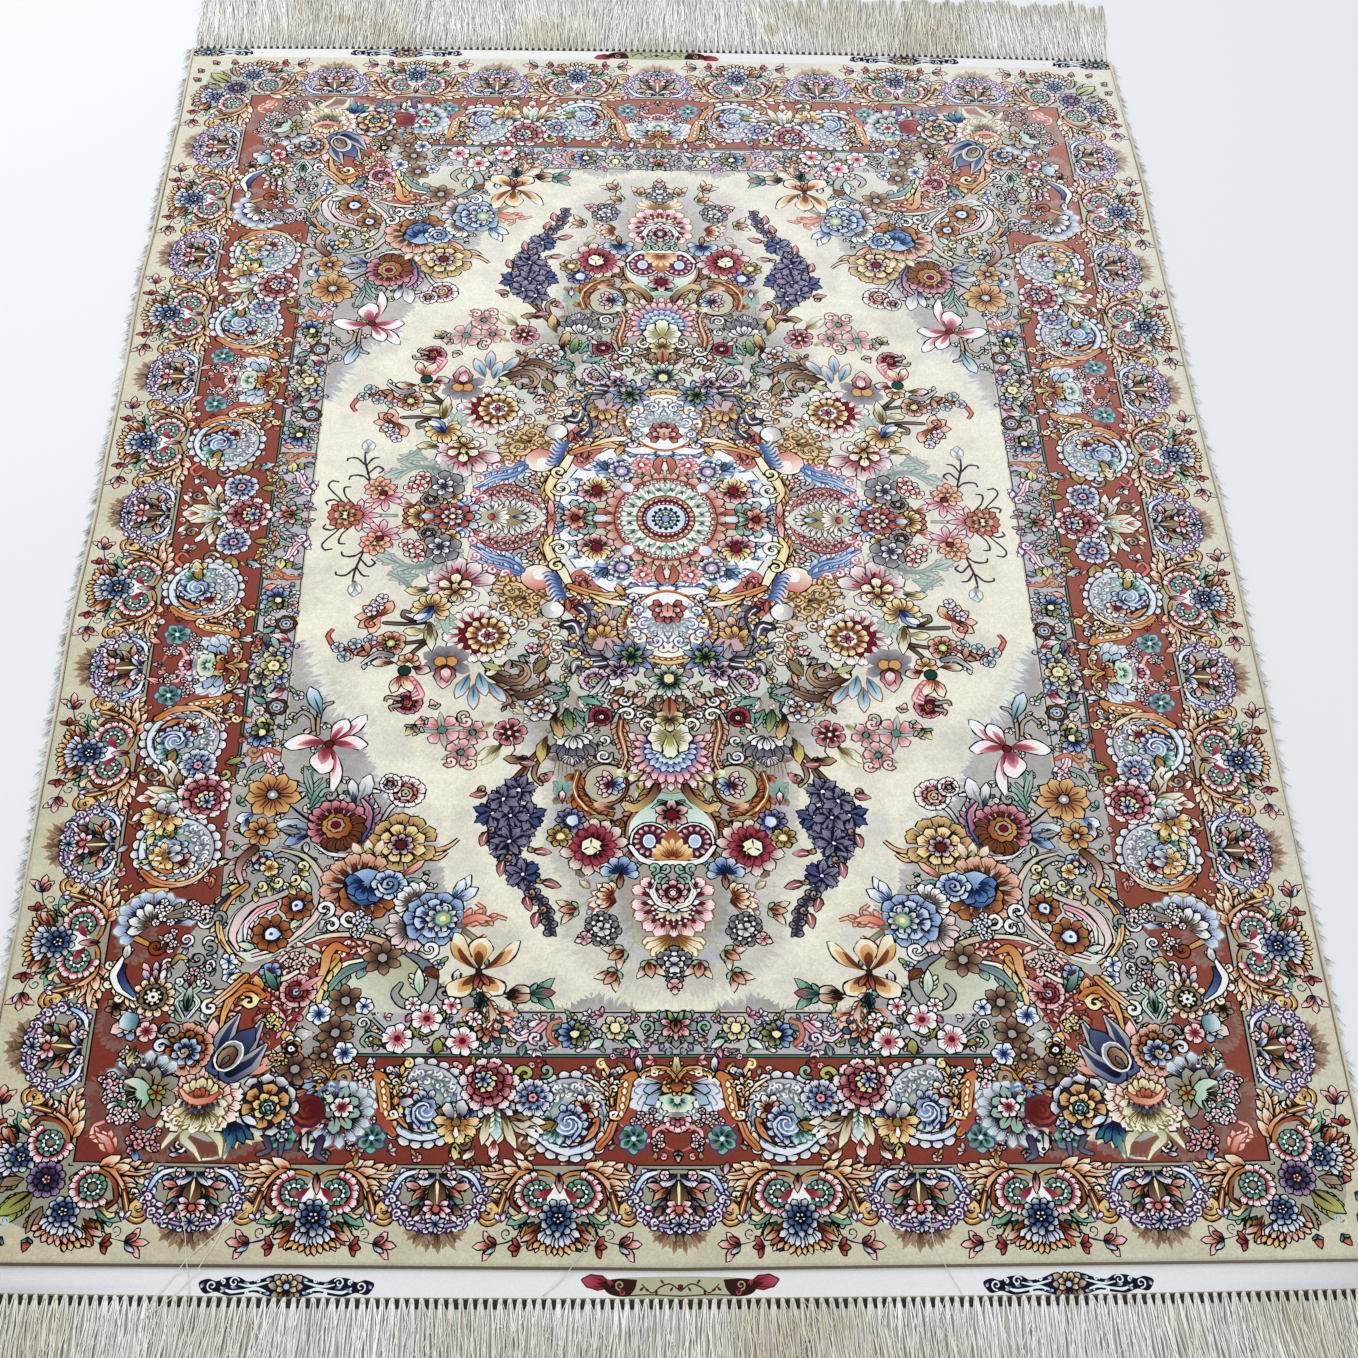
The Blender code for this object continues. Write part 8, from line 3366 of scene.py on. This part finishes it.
PILE_KNOTS = 720.0                    # knots per metre
wool = knotted("wool_pile", knots=PILE_KNOTS, spread=0.16, drift=0.10, roughness=0.92,
               sheen=0.05, bump=0.35, distance=0.0006)
strip_weave = knotted("cotton_strip", knots=900.0, spread=0.05, drift=0.05, roughness=0.9,
                      sheen=0.05, bump=0.25, distance=0.0003)
fringe_cotton = thread("fringe_cotton", (253, 253, 251), (218, 204, 158))
body_cotton = thread("fringe_body_cotton", (196, 193, 184), (166, 150, 112))
knot_cotton = thread("knot_cotton", (238, 236, 226), (214, 198, 166))
cord_cotton = thread("selvedge_cotton", (214, 208, 186), (190, 178, 146))
# The hairs are cotton, but their tone is a darker grey than the cord's: painted shade for the shadows
# that they cast.
hair_cotton_painted_shade = thread("hair_cotton_painted_shade", (150, 148, 138), (120, 116, 100))
painted_root_shadow = thread("painted_root_shadow", (58, 52, 48), (50, 42, 38))

# %% [markdown]
# ## The back
#
# From below a hand-knotted rug shows its pattern again, blurred into rows of knots and
# held by cotton wefts. A full second mosaic would double the mesh for a face that lies
# on the floor, so the back's material works out from its own coordinates which band a
# point is in, and fills each band with knots of its colour.

# %% Back of the knots
PILE_DRIFT = 0.008                    # mean drift of the pile towards the far end
BANDS = ((0.0, "ivory"), (0.0665, "ink"), (0.0705, "terra"), (0.15, "ink"), (0.1535, "mist"),
         (0.187, "milk"))
MOTIFS = ((0.0, "mist"), (0.3, "rust"), (0.45, "steel"), (0.62, "rose"), (0.78, "straw"), (0.9, "sea"))


def stepped(tree, value, stops):
    """Plain tones, each from its stop to the next one."""
    steps = node(tree, "ShaderNodeValToRGB", {"Fac": value})
    ramp = steps.color_ramp
    ramp.interpolation = "CONSTANT"
    for _ in stops[2:]:
        ramp.elements.new(0.5)
    for element, (spot, tone) in zip(ramp.elements, stops):
        element.position = spot
        element.color = linear(tone)
    return steps.outputs["Color"]


def back_finish():
    """The underside: rows of knots, toned by the band that they lie in."""
    material, tree, shader, place, raised = finish("knotted_back", roughness=0.95, sheen=0.0, bump=0.5,
                                                   distance=0.0004)
    rows = tree.nodes.new("ShaderNodeGroup")
    rows.node_tree = KNOTTED
    tree.links.new(place, rows.inputs["Vector"])
    rows.inputs["Knots per metre"].default_value = PILE_KNOTS
    rows.inputs["Tone spread"].default_value = 0.3
    rows.inputs["Row drift"].default_value = 0.2
    axes = node(tree, "ShaderNodeSeparateXYZ", {"Vector": place})
    in_x = maths(tree, "ABSOLUTE", axes.outputs["X"])
    middle = float(SHIFT[1]) + PILE_DRIFT
    in_y = maths(tree, "ABSOLUTE", maths(tree, "SUBTRACT", axes.outputs["Y"], middle))
    from_side = maths(tree, "SUBTRACT", HALF_WIDTH, in_x)
    from_end = maths(tree, "SUBTRACT", HALF_PILE, in_y)
    depth = maths(tree, "MINIMUM", from_side, from_end)
    blotch = node(tree, "ShaderNodeTexVoronoi", {"Vector": place}, Scale=46.0, Randomness=1.0)
    lots = node(tree, "ShaderNodeSeparateColor", {"Color": blotch.outputs["Color"]})
    motif = stepped(tree, lots.outputs["Green"], MOTIFS)
    band = stepped(tree, depth, BANDS)
    cover = node(tree, "ShaderNodeMapRange", {"Value": blotch.outputs["Distance"]}, From_Min=0.32,
                 From_Max=0.25)
    covered = maths(tree, "MULTIPLY", cover.outputs["Result"], 0.75)
    mixed = node(tree, "ShaderNodeMix", {"Factor": covered}, data_type="RGBA")
    tree.links.new(band, mixed.inputs[6])
    tree.links.new(motif, mixed.inputs[7])
    past_pile = maths(tree, "LESS_THAN", depth, 0.0)
    outside = node(tree, "ShaderNodeMix", {"Factor": past_pile}, data_type="RGBA")
    tree.links.new(mixed.outputs[2], outside.inputs[6])
    outside.inputs[7].default_value = linear("ivory")
    tree.links.new(scaled(tree, outside.outputs[2], rows.outputs["Tone"]), shader.inputs["Base Color"])
    tree.links.new(rows.outputs["Height"], raised.inputs["Height"])
    return material


knotted_back = back_finish()

# %% [markdown]
# ## The floor
#
# A plain pale floor lies just under the rug. It is the stage, and no part of the rug.

# %% Floor
FLOOR_HALF, FLOOR_LEVEL = 6.0, -0.0002
bm = bmesh.new()
bmesh.ops.create_grid(bm, x_segments=1, y_segments=1, size=FLOOR_HALF)
floor = link("studio_floor", bm)
for vert in floor.data.vertices:
    vert.co.z = FLOOR_LEVEL
material, tree, shader, place, raised = finish("pale_floor", roughness=0.6, sheen=0.0, bump=0.05,
                                               distance=0.001)
shader.inputs["Base Color"].default_value = (0.83, 0.84, 0.86, 1.0)
grain = node(tree, "ShaderNodeTexNoise", {"Vector": place}, Scale=3.0, Detail=4.0)
tree.links.new(grain.outputs["Fac"], raised.inputs["Height"])
floor.data.materials.append(material)

# %% [markdown]
# ## Finishes, slots and CAD nodes
#
# Each piece gets its material, its slot and the body that it rides on, and the CAD node that it stands
# for is hidden. The foundation is the one sheet of cloth, and all the other pieces lie with it.

# %% Give every piece its finish and its body, and hide its CAD node
def dress(item, material):
    """Give a piece its finish and its body."""
    item.data.materials.append(material)
    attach(item, "root")


for item in pile:
    dress(item, wool)
    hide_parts("rug_cloth")
dress(foundation, knotted_back)
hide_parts("rug_cloth")
for item in strips:
    dress(item, strip_weave)
    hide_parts("rug_cloth")
for end_name, (under, over, knots, painted_shadow_strip) in fringes.items():
    for item, material in ((under, body_cotton), (over, fringe_cotton), (knots, knot_cotton),
                           (painted_shadow_strip, painted_root_shadow)):
        dress(item, material)
        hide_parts(f"fringe_{end_name}")
for side_name, (cord, hairs) in sides.items():
    dress(cord, cord_cotton)
    dress(hairs, hair_cotton_painted_shade)
    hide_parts(f"selvedge_{side_name}")
    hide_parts(f"selvedge_{side_name}")
dress(loose, knot_cotton)
parts = pile + strips + [loose] + [item for group in fringes.values() for item in group]
parts += [item for group in sides.values() for item in group]
for item in parts:
    item.data.shade_smooth()

# %% [markdown]
# ## Stage, light and camera
#
# The camera stands over the near end and looks down on the rug, in flat daylight. A large
# soft light from the upper left gives the threads their thin shadows, a second one from the
# right fills them, and a bright sky does the rest.

# %% Lights
def soft_light(name, energy, size, spot):
    """A square light, aimed at the middle of the rug."""
    lamp = bpy.data.lights.new(name, "AREA")
    lamp.energy, lamp.size = energy, size
    item = bpy.data.objects.new(name, lamp)
    item.location = spot
    item.rotation_euler = (-Vector(spot)).to_track_quat("-Z", "Y").to_euler()
    bpy.context.scene.collection.objects.link(item)


soft_light("key_light", energy=60, size=2.2, spot=(-1.6, 1.8, 2.6))
soft_light("fill_light", energy=24, size=3.0, spot=(2.4, -1.4, 2.4))
world = bpy.data.worlds.new("daylight")
world.use_nodes = True
world.node_tree.nodes["Background"].inputs["Color"].default_value = (0.93, 0.96, 1.0, 1.0)
world.node_tree.nodes["Background"].inputs["Strength"].default_value = 0.62
bpy.context.scene.world = world
bpy.context.scene.view_settings.view_transform = "Standard"

# %% Camera
camera = bpy.data.cameras.new("camera")
camera.sensor_width = 36.0
camera.lens = 57.0
viewpoint = bpy.data.objects.new("camera", camera)
HEADING, TILT, ROLL = -0.0655, 0.6623, 0.0598      # radians
turned = Matrix.Rotation(HEADING, 4, "Z") @ Matrix.Rotation(TILT, 4, "X")
turned = turned @ Matrix.Rotation(ROLL, 4, "Z")
spot = Vector((-0.0646 + SHIFT[0], -1.2816 + SHIFT[1], 1.4394))
viewpoint.matrix_world = Matrix.Translation(spot) @ turned
bpy.context.scene.collection.objects.link(viewpoint)
bpy.context.scene.camera = viewpoint
